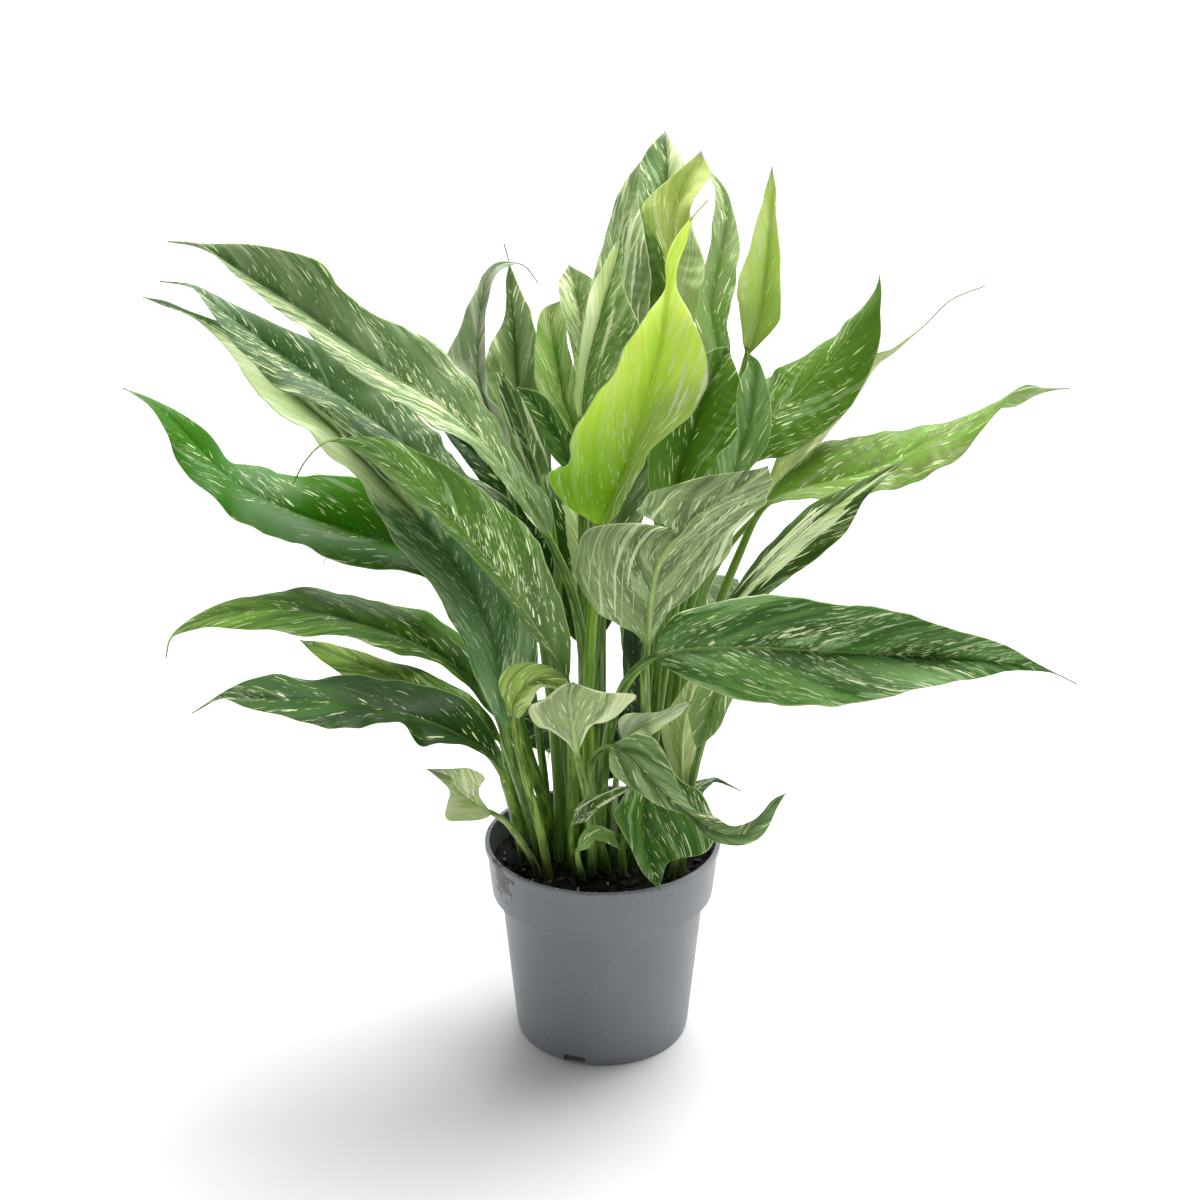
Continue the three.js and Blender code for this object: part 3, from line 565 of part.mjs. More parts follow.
    [-11.4,-98.7,241.3,0,-0,0,-0,0,-0,-0.21,-0.97,0.09,0.3],
  ] },
  leaf_32: { kind: 'leaf_mid', stalk: 3, st: [
    [6.3,-26.8,90.5,0,0,0,0,0,0,-0.84,0.54,0.02,2.31],
    [5.7,-28.4,105.3,0,0,0,0,0,0,-0.85,0.51,0.1,2.22],
    [-1.6,-53.2,159.8,0,0,0,0,0,0,-0.86,0.45,0.23,2],
    [5.5,-79,202.3,0,0,0,0,0,0,-0.78,0.21,0.58,1.51],
    [18.1,-86,198.3,7.6,3.7,13.2,-9.5,-6.7,-4.8,-0.02,-0.86,0.52,1.23],
    [28.9,-88.9,186.9,7.5,-1.2,11.4,-6.5,-5.1,-3.7,0.01,-0.97,0.24,0.97],
    [40.5,-91.1,176,3.4,-2.4,5.4,-2.7,-2.5,-2.1,-0.15,-0.98,0.14,0.74],
    [52.8,-95.3,167.9,1.3,-0.8,6.2,-1.2,-1.6,-2.5,-0.25,-0.95,0.16,0.52],
    [66.5,-100.1,163.1,-1.4,0.4,6.8,0.2,-4,-3.3,-0.25,-0.9,0.35,0.32],
    [79.2,-101.8,170.5,-1.3,0.5,2.4,1.8,-5.6,-4.2,-0.45,-0.75,0.48,0.3],
    [88.5,-101.1,181.9,-1.3,1.3,1.2,1.3,-1.6,-1.2,-0.52,-0.75,0.42,0.3],
    [93.7,-102,187.9,-0,0,0,0,-0,-0,-0.55,-0.75,0.37,0.3],
  ] },
  leaf_33: { kind: 'leaf_dark', stalk: 3, st: [
    [14.1,-31.9,90.5,0,0,0,0,0,0,0.07,1,0.04,2.42],
    [14,-32.5,105.5,0,0,0,0,0,0,0.07,0.98,0.16,2.33],
    [16.4,-40.4,142.6,0,0,0,0,0,0,0.09,0.97,0.23,2.1],
    [26.2,-49.5,171.7,0,0,0,0,0,0,0.16,0.89,0.44,1.58],
    [25.9,-55.4,169.7,10.2,-1.3,10.9,-8.1,-4.2,1.8,-0.29,-0.58,0.76,1.29],
    [24.9,-59.8,163.4,23.2,-2.9,9.4,-13.8,-15.9,5.3,0.26,-0.87,0.41,1.02],
    [24,-62.7,155.4,31.8,0.7,9.8,-13.4,-22.1,9.1,0.43,-0.86,0.26,0.77],
    [24.2,-65.1,146.9,36.8,3.1,5.4,-10.5,-21.8,8.3,0.46,-0.83,0.32,0.55],
    [26.2,-67.8,138.8,33.8,1.8,0.9,-8.2,-16.5,6.3,0.41,-0.81,0.41,0.33],
    [28.5,-70.9,131.2,11.2,0,3.1,-5.9,-8.6,2,0.37,-0.8,0.46,0.3],
    [31.2,-74,123.9,2.7,-0.3,1.2,-2.7,-1.1,-0.5,-0,-0.91,0.41,0.3],
    [32.9,-76,119.8,0,0,0,-0,-0,-0,-0.01,-0.9,0.43,0.3],
  ] },
  leaf_34: { kind: 'leaf_dark', stalk: 3, st: [
    [34.7,-30.3,90.2,0,0,0,0,0,0,0.33,-0.94,0.04,1.76],
    [35.3,-29.5,105,0,0,0,0,0,0,0.33,-0.94,0.03,1.68],
    [38.2,-28.2,117.5,0,0,0,0,0,0,0.31,-0.95,-0.07,1.52],
    [40.4,-30,133.5,0,0,0,0,0,0,0.29,-0.93,-0.23,1.15],
    [42,-32.9,140.8,-2.8,-1.2,0.5,4,1.3,-0.8,0.25,-0.89,-0.39,0.94],
    [44.2,-34.8,146.6,-4.7,-2,1.7,6.2,2,-2.4,0.23,-0.93,-0.29,0.74],
    [47,-35,151.2,-5.6,-2.9,3.6,6.4,2.6,-4.5,0.32,-0.93,-0.16,0.56],
    [50.5,-34.1,154.8,-4.2,-3.6,5.9,4.8,3.3,-6.7,0.39,-0.9,-0.21,0.39],
    [54.6,-33.2,157.8,-1.8,-4.5,5.7,2.2,4.1,-6.2,0.38,-0.81,-0.45,0.3],
    [59.4,-32.8,160.2,-0.6,-4.3,4.1,0.6,4.1,-4.4,0.27,-0.7,-0.66,0.3],
    [64.6,-32.9,161.6,-0,-2.8,2.4,-0,2.7,-2.5,-0.26,-0.64,-0.72,0.3],
    [76.8,-35.4,156.3,0,-0,0,-0,0,-0,-0.41,-0.61,-0.68,0.3],
  ] },
  leaf_35: { kind: 'leaf_pale', stalk: 3, st: [
    [-7.8,-34.9,90.6,0,0,0,0,0,0,-0.92,-0.39,-0.08,1.87],
    [-7.9,-37.5,104.8,0,0,0,0,0,0,-0.92,-0.31,-0.23,1.8],
    [-9.1,-53.5,121.3,0,0,0,0,0,0,-0.92,-0.25,-0.29,1.62],
    [-10.1,-66.6,136.3,0,0,0,0,0,0,-0.93,-0.29,-0.24,1.22],
    [-9,-70.1,141.2,-0.9,1.7,1.4,0.9,-1.7,-1.4,-0.89,-0.45,-0.03,1],
    [-7.5,-72.3,144.8,-1.3,3.1,2.2,1.2,-3.1,-2.1,-0.86,-0.47,0.19,0.79],
    [-5.5,-73.9,147.8,-1.2,4.3,2.8,1,-4.4,-2.8,-0.79,-0.46,0.4,0.6],
    [-3,-75.4,150.4,0.3,4.6,3.3,-0.3,-4.8,-3.2,-0.69,-0.38,0.62,0.42],
    [-0.1,-76.7,152.1,2.1,4.3,2.6,-2.2,-4.3,-2.3,-0.43,-0.28,0.86,0.3],
    [3.1,-78.4,152.5,2.7,3.8,1.7,-2.4,-3.8,-1.1,-0.12,-0.27,0.96,0.3],
    [6.3,-80.6,151.8,2.5,3,1.3,-2.1,-2.8,-0.8,0.21,-0.47,0.86,0.3],
    [11.9,-84,147.3,0,0,0,-0,-0,-0,0.31,-0.53,0.79,0.3],
  ] },
  leaf_36: { kind: 'leaf_pale', stalk: 3, st: [
    [-11.8,-29.3,90.6,0,0,0,0,0,0,-0.93,-0.36,-0.06,1.76],
    [-12,-31.5,105,0,0,0,0,0,0,-0.94,-0.3,-0.18,1.69],
    [-13.3,-49.1,130.6,-0,0,0,-0,0,0,-0.94,-0.28,-0.21,1.53],
    [-12.5,-65.9,152.6,-0,0,0,0,-0,-0,-0.93,-0.33,-0.16,1.15],
    [-9.6,-74.1,160,-1.5,2.3,2.8,0.8,-1.7,-1.9,-0.9,-0.42,-0.08,0.94],
    [-6.5,-81.4,166.5,-1.6,3.6,4.1,0.8,-2.9,-3.1,-0.91,-0.42,0.06,0.74],
    [-3.5,-85.6,171.3,-1.1,4.2,3.2,0.6,-4.1,-3,-0.78,-0.47,0.41,0.56],
    [-0.4,-85.3,173.6,-0.2,4.4,2.3,-0,-4.7,-2.1,-0.68,-0.33,0.66,0.39],
    [2.8,-87.2,176.9,0.9,3,2.4,-1.1,-3.4,-2.7,-0.85,-0.15,0.5,0.3],
    [6.2,-94.1,182.3,1.1,2.5,2.3,-1.1,-2.8,-2.6,-0.89,-0.06,0.45,0.3],
    [9.6,-103,188.4,1,2.3,1.9,-0.9,-2.3,-2,-0.81,-0.15,0.57,0.3],
    [18.3,-109.9,195.6,0,0,0,-0,-0,-0,-0.73,-0.24,0.64,0.3],
  ] },
  leaf_37: { kind: 'leaf_dark', stalk: 4, st: [
    [25.2,-4,90.8,0,0,0,0,0,0,0.25,-0.97,-0.02,2.83],
    [25.3,-4.3,105.8,0,0,0,0,0,0,0.25,-0.97,-0.06,2.74],
    [29.4,-7.6,172.4,0,0,0,0,0,0,0.25,-0.97,-0.03,2.5],
    [33.5,-6.3,234.2,0,0,0,0,0,0,0.26,-0.97,-0.03,2.26],
    [37.1,-9.1,296.5,-0.2,-0.1,0,0.2,0.1,-0,0.25,-0.97,-0.07,1.73],
    [39.2,-10,309.7,-10.6,-6.8,3.4,5.3,-2.4,0.4,0.26,-0.96,-0.01,1.47],
    [41.5,-8.1,319.8,-14.9,-11.1,7,11.2,-8.2,2.9,0.14,-0.97,0.2,1.22],
    [44.3,-5.2,329.2,-17,-14.3,8.8,16.4,-13.9,3.2,0.06,-0.95,0.29,1],
    [47.4,-2.1,338.4,-18.7,-15.9,9.9,20.4,-16,1.5,0.06,-0.95,0.31,0.78],
    [50.6,1.1,347.4,-17.5,-16.1,9.1,21.7,-14.9,0.8,0.09,-0.95,0.3,0.59],
    [53.8,4.2,356.3,-16.1,-14.6,8.1,20,-12.5,0.8,0.11,-0.95,0.29,0.41],
    [57.2,7.3,365.2,-14.8,-11.5,7.5,17.2,-9.7,0.6,0.12,-0.95,0.29,0.3],
    [61.2,10.4,373.7,-11.3,-7.1,6.2,11.9,-6.2,-0.5,0.12,-0.95,0.29,0.3],
    [65.6,13.5,382,-4.9,-2.5,3.3,3.7,-1.6,-0.8,0.21,-0.95,0.23,0.3],
    [68.7,15,385.8,-0,-0,0,0,0,-0,0.2,-0.96,0.21,0.3],
  ] },
  leaf_38: { kind: 'leaf_grey', stalk: 4, st: [
    [38.5,-6.1,90.5,0,0,0,0,0,0,0.27,-0.96,-0.02,2.6],
    [38.8,-6.4,105.5,0,0,0,0,0,0,0.27,-0.96,-0.08,2.51],
    [45.3,-11.2,175.3,0,0,0,0,0,0,0.26,-0.96,-0.1,2.29],
    [52.9,-17.2,244.3,0,0,0,0,0,0,0.26,-0.96,-0.1,2.07],
    [66.2,-19.5,308.8,0,0,0,0,0,0,0.26,-0.96,-0.11,1.58],
    [68.2,-21.7,320.4,-4.5,-2.8,1.2,2.3,-0.7,-0.5,0.26,-0.96,-0.15,1.35],
    [70,-21.5,329.1,-8.1,-5.5,2.1,5.6,-2.5,-0.5,0.22,-0.97,0.03,1.12],
    [71.9,-20.2,337,-10.6,-5.6,2.2,10,-5.9,0.3,0,-0.98,0.18,0.91],
    [74.5,-18.7,344.7,-5.1,-2.6,1.4,11.4,-9.6,1.2,-0.37,-0.88,0.29,0.72],
    [76.6,-17.2,352.4,-6.3,-2.8,1.6,10.8,-8.8,1.6,-0.32,-0.91,0.25,0.54],
    [77.9,-15.7,360.2,-8.2,-4.5,1.9,9.7,-6.5,1,-0.1,-0.97,0.2,0.38],
    [78.8,-14.1,368.1,-8.8,-5.1,1.5,8.1,-4.2,0.8,0.06,-0.98,0.19,0.3],
    [79.6,-12.6,375.9,-7.5,-4.3,0.3,5.2,-1.9,0.9,0.17,-0.97,0.2,0.3],
    [78.7,-10.9,383.6,-2.5,-0.5,-0.6,2.7,-0.4,0.9,-0.03,-0.98,0.19,0.3],
    [75.6,-10,388.5,-0,-0,-0,0,0,0,-0.02,-0.98,0.17,0.3],
  ] },
  leaf_39: { kind: 'leaf_grey', stalk: 4, st: [
    [-17,-2.4,90.5,0,0,0,0,0,0,0.17,0.99,-0.01,2.36],
    [-16.7,-2.3,105.5,0,0,0,0,0,0,0.17,0.99,-0.02,2.28],
    [-18.2,-0.3,170.8,0,0,0,0,0,0,0.17,0.99,-0.03,2.08],
    [-20,1.9,236.1,0,0,0,0,0,0,0.17,0.99,-0.04,1.88],
    [-24.5,5.4,299.1,0,0,0,0,0,0,0.17,0.99,-0.01,1.44],
    [-27.2,4.1,309.6,2.5,0.6,0.5,-3.3,1.6,-0.8,0.13,0.98,0.12,1.22],
    [-29.4,3.8,317.5,4.1,2.2,0.9,-4.3,1.8,-1.3,-0.05,1,-0.02,1.02],
    [-31.6,4.1,325,6,3.5,1.6,-5.1,1.7,-1.7,-0.14,0.99,-0.09,0.83],
    [-34,4.6,332.3,6,3.5,1.5,-5.6,2.1,-2.1,-0.08,0.99,-0.14,0.65],
    [-36.4,5.8,339.3,5.8,3,1.2,-6.1,2.6,-2.5,0.03,0.98,-0.19,0.49],
    [-38.6,7.4,346.2,5.4,2.7,1.1,-6.7,3.1,-3,0.1,0.98,-0.19,0.34],
    [-40.9,8.9,353.1,4.6,2.2,1.2,-7,3.4,-3.3,0.15,0.98,-0.14,0.3],
    [-43.5,10.1,360,3.7,1.7,1,-6.5,2.8,-2.9,0.15,0.98,-0.1,0.3],
    [-46.4,11.1,366.7,1.9,0.9,0.5,-4.2,1.2,-1.6,0.09,0.99,-0.12,0.3],
    [-47.9,12,372.3,0,-0,0,-0,0,-0,0.1,0.99,-0.13,0.3],
  ] },
  leaf_40: { kind: 'leaf_grey', stalk: 4, st: [
    [-5.9,2,90.5,0,0,0,0,0,0,0.14,-0.99,0.01,2.36],
    [-6.3,2.1,105.5,0,0,0,0,0,0,0.14,-0.99,0.03,2.28],
    [-8.1,4.5,176.2,0,0,0,0,0,0,0.14,-0.99,0.04,2.08],
    [-8.7,8.1,246.7,0,0,0,0,0,0,0.14,-0.99,0.09,1.88],
    [-10.5,16.4,313.4,-0,-0,-0,0,0,0,0.14,-0.98,0.12,1.44],
    [-12.9,16.5,321.4,-4.2,-2.3,-0.5,3.3,-1,1,0.14,-0.98,0.13,1.22],
    [-15.3,17.4,326.5,-6.4,-3.6,-1.3,5.9,-1.6,2.8,0.08,-0.97,0.24,1.02],
    [-17.7,18.5,331.2,-6.8,-4.5,-1.6,6.1,-1.6,3.8,0.11,-0.96,0.25,0.83],
    [-20.3,19.3,335.9,-6.3,-4.8,-2.1,5.6,-1.5,3.5,0.17,-0.96,0.22,0.65],
    [-22.9,19.8,340.6,-5.5,-4,-2.6,5.5,-1.7,3.5,0.11,-0.98,0.16,0.49],
    [-25.8,20.2,345.1,-4.6,-3.2,-2.8,5.7,-2.1,4.2,0.01,-0.99,0.14,0.34],
    [-29,20.9,349.3,-3.8,-3.1,-2.7,5.5,-2,5.1,-0.04,-0.98,0.18,0.3],
    [-32.4,21.9,353.2,-3.3,-2.8,-2.7,4.6,-1.4,5.2,-0.05,-0.97,0.23,0.3],
    [-36.1,23,356.8,-2.6,-2.1,-2.4,3.1,-0.2,3.7,-0.02,-0.95,0.3,0.3],
    [-43.4,25,362.2,-0,-0,-0,0,0,0,-0.03,-0.95,0.31,0.3],
  ] },
  leaf_41: { kind: 'leaf_mid', stalk: 4, st: [
    [-26.9,14,90.5,0,0,0,0,0,0,0.6,-0.8,0.03,2.71],
    [-27.1,14.4,105.5,0,0,0,0,0,0,0.6,-0.79,0.12,2.6],
    [-29.8,19,139.7,0,0,0,0,0,0,0.59,-0.78,0.19,2.38],
    [-34,25.9,173.3,0,0,0,0,0,0,0.58,-0.77,0.27,2.16],
    [-39.5,34.8,206.1,0,0,0,0,0,0,0.57,-0.75,0.34,1.66],
    [-43.8,42.2,226.3,-9.4,-11.3,1.4,13.2,6.4,1.9,0.54,-0.71,0.46,1.41],
    [-51.2,51,245.1,-11.7,-17.6,3.6,18,10.8,3.6,0.56,-0.58,0.6,1.18],
    [-62.4,60.3,261.2,-12.4,-21.2,5.7,19.3,14.7,5.5,0.47,-0.41,0.78,0.96],
    [-77,72.3,271.9,-14.7,-20.5,7.3,18.2,17.5,7.3,0.23,-0.2,0.95,0.76],
    [-93.6,86.3,274.3,-15.2,-18.8,7.4,14.7,19.3,7.4,-0.03,0.02,1,0.57],
    [-111.1,99.1,270.3,-13.7,-16.5,6.2,10.7,18.6,6.2,-0.22,0.16,0.96,0.4],
    [-128.1,110.3,262.4,-11.1,-12.9,4.4,7,15.4,4.3,-0.37,0.24,0.9,0.3],
    [-143.9,119.6,251.1,-7.1,-8.2,2.2,3.9,9.8,2.3,-0.51,0.31,0.8,0.3],
    [-158,126.6,236.8,-0,-0,0,0,0,-0,-0.61,0.37,0.7,0.3],
    [-164.9,132.1,226,-0,-0,-0,0,0,0,-0.67,0.4,0.63,0.3],
  ] },
  leaf_42: { kind: 'leaf_dark', stalk: 4, st: [
    [-4.7,26.6,90.6,0,0,0,0,0,0,0.12,-0.99,0.02,2.71],
    [-4.8,26.9,105.6,0,0,0,0,0,0,0.12,-0.98,0.15,2.6],
    [-4.9,33.5,137.4,0,0,0,0,0,0,0.12,-0.88,0.45,2.38],
    [-5.1,55.9,162.1,0,0,0,0,0,0,0.13,-0.93,0.33,2.16],
    [-5.6,54.9,197.9,0,0,0,0,0,0,0.14,-0.99,-0.04,1.66],
    [-6.3,53.4,221,-14.1,-5.7,0.3,15.2,-1.5,0.8,0.14,-0.99,0.05,1.41],
    [-7.1,57,242,-20.2,-8.9,1.8,22,-2.7,1.9,0.14,-0.96,0.24,1.18],
    [-8.3,63.4,262,-22.6,-12.1,3.3,25.8,-1,3.3,0.2,-0.89,0.41,0.96],
    [-11.5,73.6,279.9,-22.6,-14.4,5.3,26.5,3.4,5.4,0.26,-0.7,0.66,0.76],
    [-17.9,88.4,292.4,-22.3,-11.6,7.4,23.9,7.6,7.4,0.11,-0.26,0.96,0.57],
    [-25.8,106.6,290.7,-21.3,-6.8,6.2,19.3,11.3,6.2,-0.14,0.31,0.94,0.4],
    [-33.1,121.6,279.2,-17.3,-4,3.7,14.4,10.5,3.7,-0.28,0.61,0.74,0.3],
    [-38.8,133.1,264.1,-10.9,-2.3,1.8,9,6.5,1.7,-0.33,0.76,0.56,0.3],
    [-42.9,141.7,246.4,0,0,0,0,0,0,-0.35,0.8,0.48,0.3],
    [-44.9,148.3,234,-0,-0,-0,0,0,0,-0.35,0.8,0.48,0.3],
  ] },
  leaf_43: { kind: 'leaf_mid', stalk: 4, st: [
    [17.1,27.7,90.5,0,0,0,0,0,0,-0.43,-0.9,0.03,2.71],
    [17.3,28.1,105.5,0,0,0,0,0,0,-0.43,-0.9,0.07,2.6],
    [19.1,29.8,132.7,0,0,0,0,0,0,-0.42,-0.89,0.16,2.38],
    [21.9,35.5,158.5,0,0,0,0,0,0,-0.4,-0.85,0.35,2.16],
    [25.8,46.8,181.8,0,0,0,0,0,0,-0.38,-0.79,0.48,1.66],
    [29.1,55.4,196.6,-14.2,3.6,1.8,11.5,-8.9,2.1,-0.37,-0.74,0.57,1.41],
    [33.4,65.2,210.6,-20.3,5.2,3.9,16.5,-13,3.9,-0.33,-0.68,0.65,1.18],
    [39.3,75.1,222.4,-23.1,8.1,6.1,19.6,-14.3,6.2,-0.25,-0.48,0.84,0.96],
    [47.1,89.1,228.6,-22.1,11.9,7.6,21.4,-13.2,7.6,-0.05,-0.09,1,0.76],
    [55.8,103.7,225.7,-19.6,14.4,6.9,22.3,-10,6.9,0.17,0.3,0.94,0.57],
    [63.1,116.8,216.8,-17,13.4,5.2,20.7,-6.5,5.2,0.27,0.52,0.81,0.4],
    [69.1,128,205.6,-13.2,11.1,3.3,16.5,-4.6,3.4,0.33,0.64,0.69,0.3],
    [74.4,137,192.8,-7.9,7.2,1.7,10.3,-3.3,1.7,0.41,0.72,0.56,0.3],
    [79,143.8,178.4,-0,0,0,0,-0,-0,0.44,0.76,0.48,0.3],
    [81.1,149,168,-0,0,0,0,-0,-0,0.44,0.77,0.47,0.3],
  ] },
  leaf_44: { kind: 'leaf_bright', stalk: 4, st: [
    [33.8,26.3,90.4,0,0,0,0,0,0,-0.22,-0.98,0.02,2.71],
    [34.1,26.6,105.4,0,0,0,0,0,0,-0.21,-0.97,0.1,2.6],
    [39.4,33.7,170.9,0,0,0,0,0,0,-0.2,-0.96,0.18,2.38],
    [48.5,47.5,234.6,0,0,0,0,0,0,-0.18,-0.93,0.31,2.16],
    [60.6,69.7,293.5,0,0,0,0,0,0,-0.15,-0.89,0.44,1.66],
    [67,78.7,304.4,-10.4,1,5.5,10.5,-5.4,-1.7,0.03,-0.71,0.7,1.41],
    [74.6,87.7,311.1,-13.3,3,10.7,14.4,-9.1,-3.4,0.13,-0.62,0.78,1.18],
    [83,97,316.4,-13.9,4.8,14.2,16.1,-11.6,-4.8,0.19,-0.58,0.79,0.96],
    [91.9,106.5,320.8,-13.1,6,15.8,16,-13,-5.8,0.23,-0.56,0.8,0.76],
    [101.2,115.9,324.4,-11.8,6.3,15.7,14.9,-12.9,-6.1,0.26,-0.55,0.8,0.57],
    [110.9,125.3,327.5,-9.4,6.1,14.3,12.5,-11.8,-5.9,0.29,-0.54,0.79,0.4],
    [121.1,134.4,329.7,-5.7,5.8,11.7,8.8,-9.9,-5.4,0.34,-0.53,0.78,0.3],
    [131.8,143,330.4,-2.6,4,7.6,4.8,-6.3,-4,0.43,-0.52,0.74,0.3],
    [142.4,150.7,329,0,0,0,0,0,0,0.55,-0.42,0.73,0.3],
    [148.1,156,325.6,-0,0,0,0,-0,-0,0.67,-0.31,0.67,0.3],
  ] },
  leaf_45: { kind: 'leaf_dark', stalk: 4, st: [
    [-35,5.6,90.4,0,0,0,0,0,0,0.16,-0.99,0.04,2.71],
    [-36.1,6,105.2,0,0,0,0,0,0,0.12,-0.98,0.19,2.6],
    [-46.3,11.7,129.9,0,0,0,0,0,0,0.02,-0.91,0.42,2.38],
    [-56.2,26.4,150.4,0,0,0,0,0,0,-0.17,-0.73,0.67,2.16],
    [-71.7,44.7,159.6,0,0,0,0,0,0,-0.35,-0.56,0.75,1.66],
    [-84.4,56.6,159.6,-4,-4.2,-2.9,2.7,2.7,5.5,-0.47,-0.46,0.75,1.41],
    [-97.7,68.7,158.2,-5.4,-6.5,-4.4,2.7,4.1,8.1,-0.51,-0.46,0.72,1.18],
    [-111.6,80.4,155.7,-5.8,-7.9,-5.2,2.4,4.8,9.7,-0.53,-0.48,0.7,0.96],
    [-125.9,91.6,153,-5.5,-8.7,-5.6,1.9,5.2,10.3,-0.52,-0.5,0.69,0.76],
    [-140.3,102.3,149.9,-4.8,-8.5,-5.5,1.3,5.1,9.9,-0.53,-0.52,0.67,0.57],
    [-155.1,112.5,146.2,-3.7,-7.7,-5,0.6,4.5,8.8,-0.53,-0.54,0.65,0.4],
    [-170,121.8,142.1,-2.3,-6.2,-4,-0,3.7,6.8,-0.52,-0.57,0.64,0.3],
    [-185.1,130.2,137.8,-1.1,-3.9,-2.7,-0.3,2.4,4.2,-0.5,-0.61,0.61,0.3],
    [-200.5,137.2,132.3,0,0,0,0,0,0,-0.55,-0.58,0.6,0.3],
    [-209.4,142,126.7,0,-0,-0,-0,0,0,-0.64,-0.54,0.56,0.3],
  ] },
  leaf_46: { kind: 'leaf_mid', stalk: 4, st: [
    [42.7,14.8,90.4,0,0,0,0,0,0,-0.19,-0.98,0.03,2.71],
    [42.9,15.3,105.3,0,0,0,0,0,0,-0.18,-0.97,0.15,2.6],
    [45.3,20.6,131.4,0,0,0,0,0,0,-0.17,-0.95,0.25,2.38],
    [49.2,28.2,157.7,0,0,0,0,0,0,-0.14,-0.9,0.41,2.16],
    [56.2,41.2,180.7,0,0,0,0,0,0,-0.05,-0.8,0.6,1.66],
    [66.4,52.1,190.6,-6.9,2.6,6.8,7.4,-5.6,-3.2,0.17,-0.62,0.76,1.41],
    [79.4,63.2,193.4,-6.6,4.9,11.6,9.5,-9,-5.5,0.38,-0.51,0.77,1.18],
    [92.7,74.5,192.6,-5,6.7,14.4,9.7,-11.4,-7.4,0.5,-0.47,0.73,0.96],
    [106.4,86.2,190,-3.5,7.9,15.2,9.1,-12.6,-8.1,0.54,-0.46,0.7,0.76],
    [120.1,97.8,186.7,-2.2,7.8,14.8,8,-12.4,-8.2,0.58,-0.46,0.67,0.57],
    [133.8,109.1,182.1,-0.6,7.1,13.1,5.9,-11.3,-7.7,0.62,-0.48,0.62,0.4],
    [147.5,119.5,176.4,0.7,5.8,10.1,3.6,-9.2,-6.3,0.63,-0.51,0.58,0.3],
    [161.1,128.9,169.9,1,3.6,6.2,1.6,-5.7,-4.2,0.64,-0.55,0.53,0.3],
    [174.5,137,162.1,0,0,0,0,0,0,0.68,-0.53,0.51,0.3],
    [182.7,143.1,156,0,0,0,-0,-0,-0,0.73,-0.49,0.48,0.3],
  ] },
  leaf_47: { kind: 'leaf_light', stalk: 4, st: [
    [1.1,36.8,90.5,0,0,0,0,0,0,0.38,-0.92,0.06,2.71],
    [0.8,37.7,105.3,0,0,0,0,0,0,0.37,-0.9,0.22,2.6],
    [-1,42.6,117.4,0,0,0,0,0,0,0.34,-0.81,0.48,2.38],
    [-3.9,49.3,128.4,0,0,0,0,0,0,0.29,-0.71,0.64,2.16],
    [-7.7,58.3,137.7,0,0,0,0,0,0,0.24,-0.58,0.78,1.66],
    [-10.9,66.2,143.3,-8.4,-4.5,2.2,9.2,2.8,2.2,0.17,-0.41,0.9,1.41],
    [-14.5,74.9,146.6,-12.5,-5.7,3.9,13,4.5,3.9,0.06,-0.15,0.99,1.18],
    [-18.2,83.4,146.4,-15.2,-5.1,4.8,14.7,6.2,4.8,-0.07,0.19,0.98,0.96],
    [-21.4,92.2,142.8,-16.6,-3,4.5,15.2,7.4,4.5,-0.14,0.44,0.89,0.76],
    [-23.9,100.4,137.1,-16.3,-1.8,3.8,14.5,7.7,3.8,-0.19,0.61,0.77,0.57],
    [-26,107.3,129.8,-14.6,-1.2,2.7,12.5,7.5,2.8,-0.23,0.72,0.65,0.4],
    [-28,112.9,121.8,-11.5,-0.4,1.7,10,5.8,1.8,-0.23,0.8,0.55,0.3],
    [-29.2,117.6,113.3,-7.2,0.1,1,6.4,3.3,0.8,-0.2,0.88,0.43,0.3],
    [-30.1,121.1,104.3,-0,-0,0,0,0,-0,-0.2,0.9,0.39,0.3],
    [-30.9,123.8,98,-0,-0,0,0,0,-0,-0.2,0.89,0.41,0.3],
  ] },
  leaf_48: { kind: 'leaf_mid', stalk: 4, st: [
    [12,3.2,90.2,0,0,0,0,0,0,-0.2,-0.98,0,2.71],
    [11.5,3.3,105.1,0,0,0,0,0,0,-0.17,-0.97,-0.17,2.6],
    [-0.7,-7.2,160.9,0,0,0,0,0,0,-0.18,-0.98,-0.07,2.38],
    [1.2,-2.3,213.4,0,0,0,0,0,0,-0.17,-0.98,0.11,2.16],
    [6.1,3.6,264.6,0,0,0,0,0,0,-0.17,-0.98,0.1,1.66],
    [8.7,3,278.2,-6.9,-0.4,1.3,6.3,-3,-0.9,-0.18,-0.98,0.06,1.41],
    [11.5,4,289.4,-10,-0.8,2.5,9,-4.7,-1.4,-0.16,-0.97,0.2,1.18],
    [14.5,6.5,300,-11.6,-1,3.4,10.6,-5.7,-1.7,-0.13,-0.95,0.29,0.96],
    [17.6,9.6,310.5,-12.1,-1,3.7,11,-6,-2,-0.15,-0.96,0.25,0.76],
    [20.7,11.2,321.4,-11.7,-1,3.3,10.4,-5.9,-2.5,-0.19,-0.98,0.11,0.57],
    [23.8,10.9,332.9,-10.4,-0.9,2.7,9.1,-5.1,-2.3,-0.2,-0.98,0.03,0.4],
    [26.7,10.6,344.4,-8.2,-0.8,1.7,7.4,-3.9,-1.5,-0.18,-0.98,0.05,0.3],
    [29.2,11.1,355.9,-5.1,-0.7,0.9,4.7,-2.1,-0.7,-0.12,-0.99,0.08,0.3],
    [30.5,12,367.3,-0,0,0,0,-0,-0,-0.12,-0.99,0.07,0.3],
    [31.1,12,373.9,-0,0,0,0,-0,-0,-0.13,-0.99,0.01,0.3],
  ] },
  leaf_49: { kind: 'leaf_dark', stalk: 4, st: [
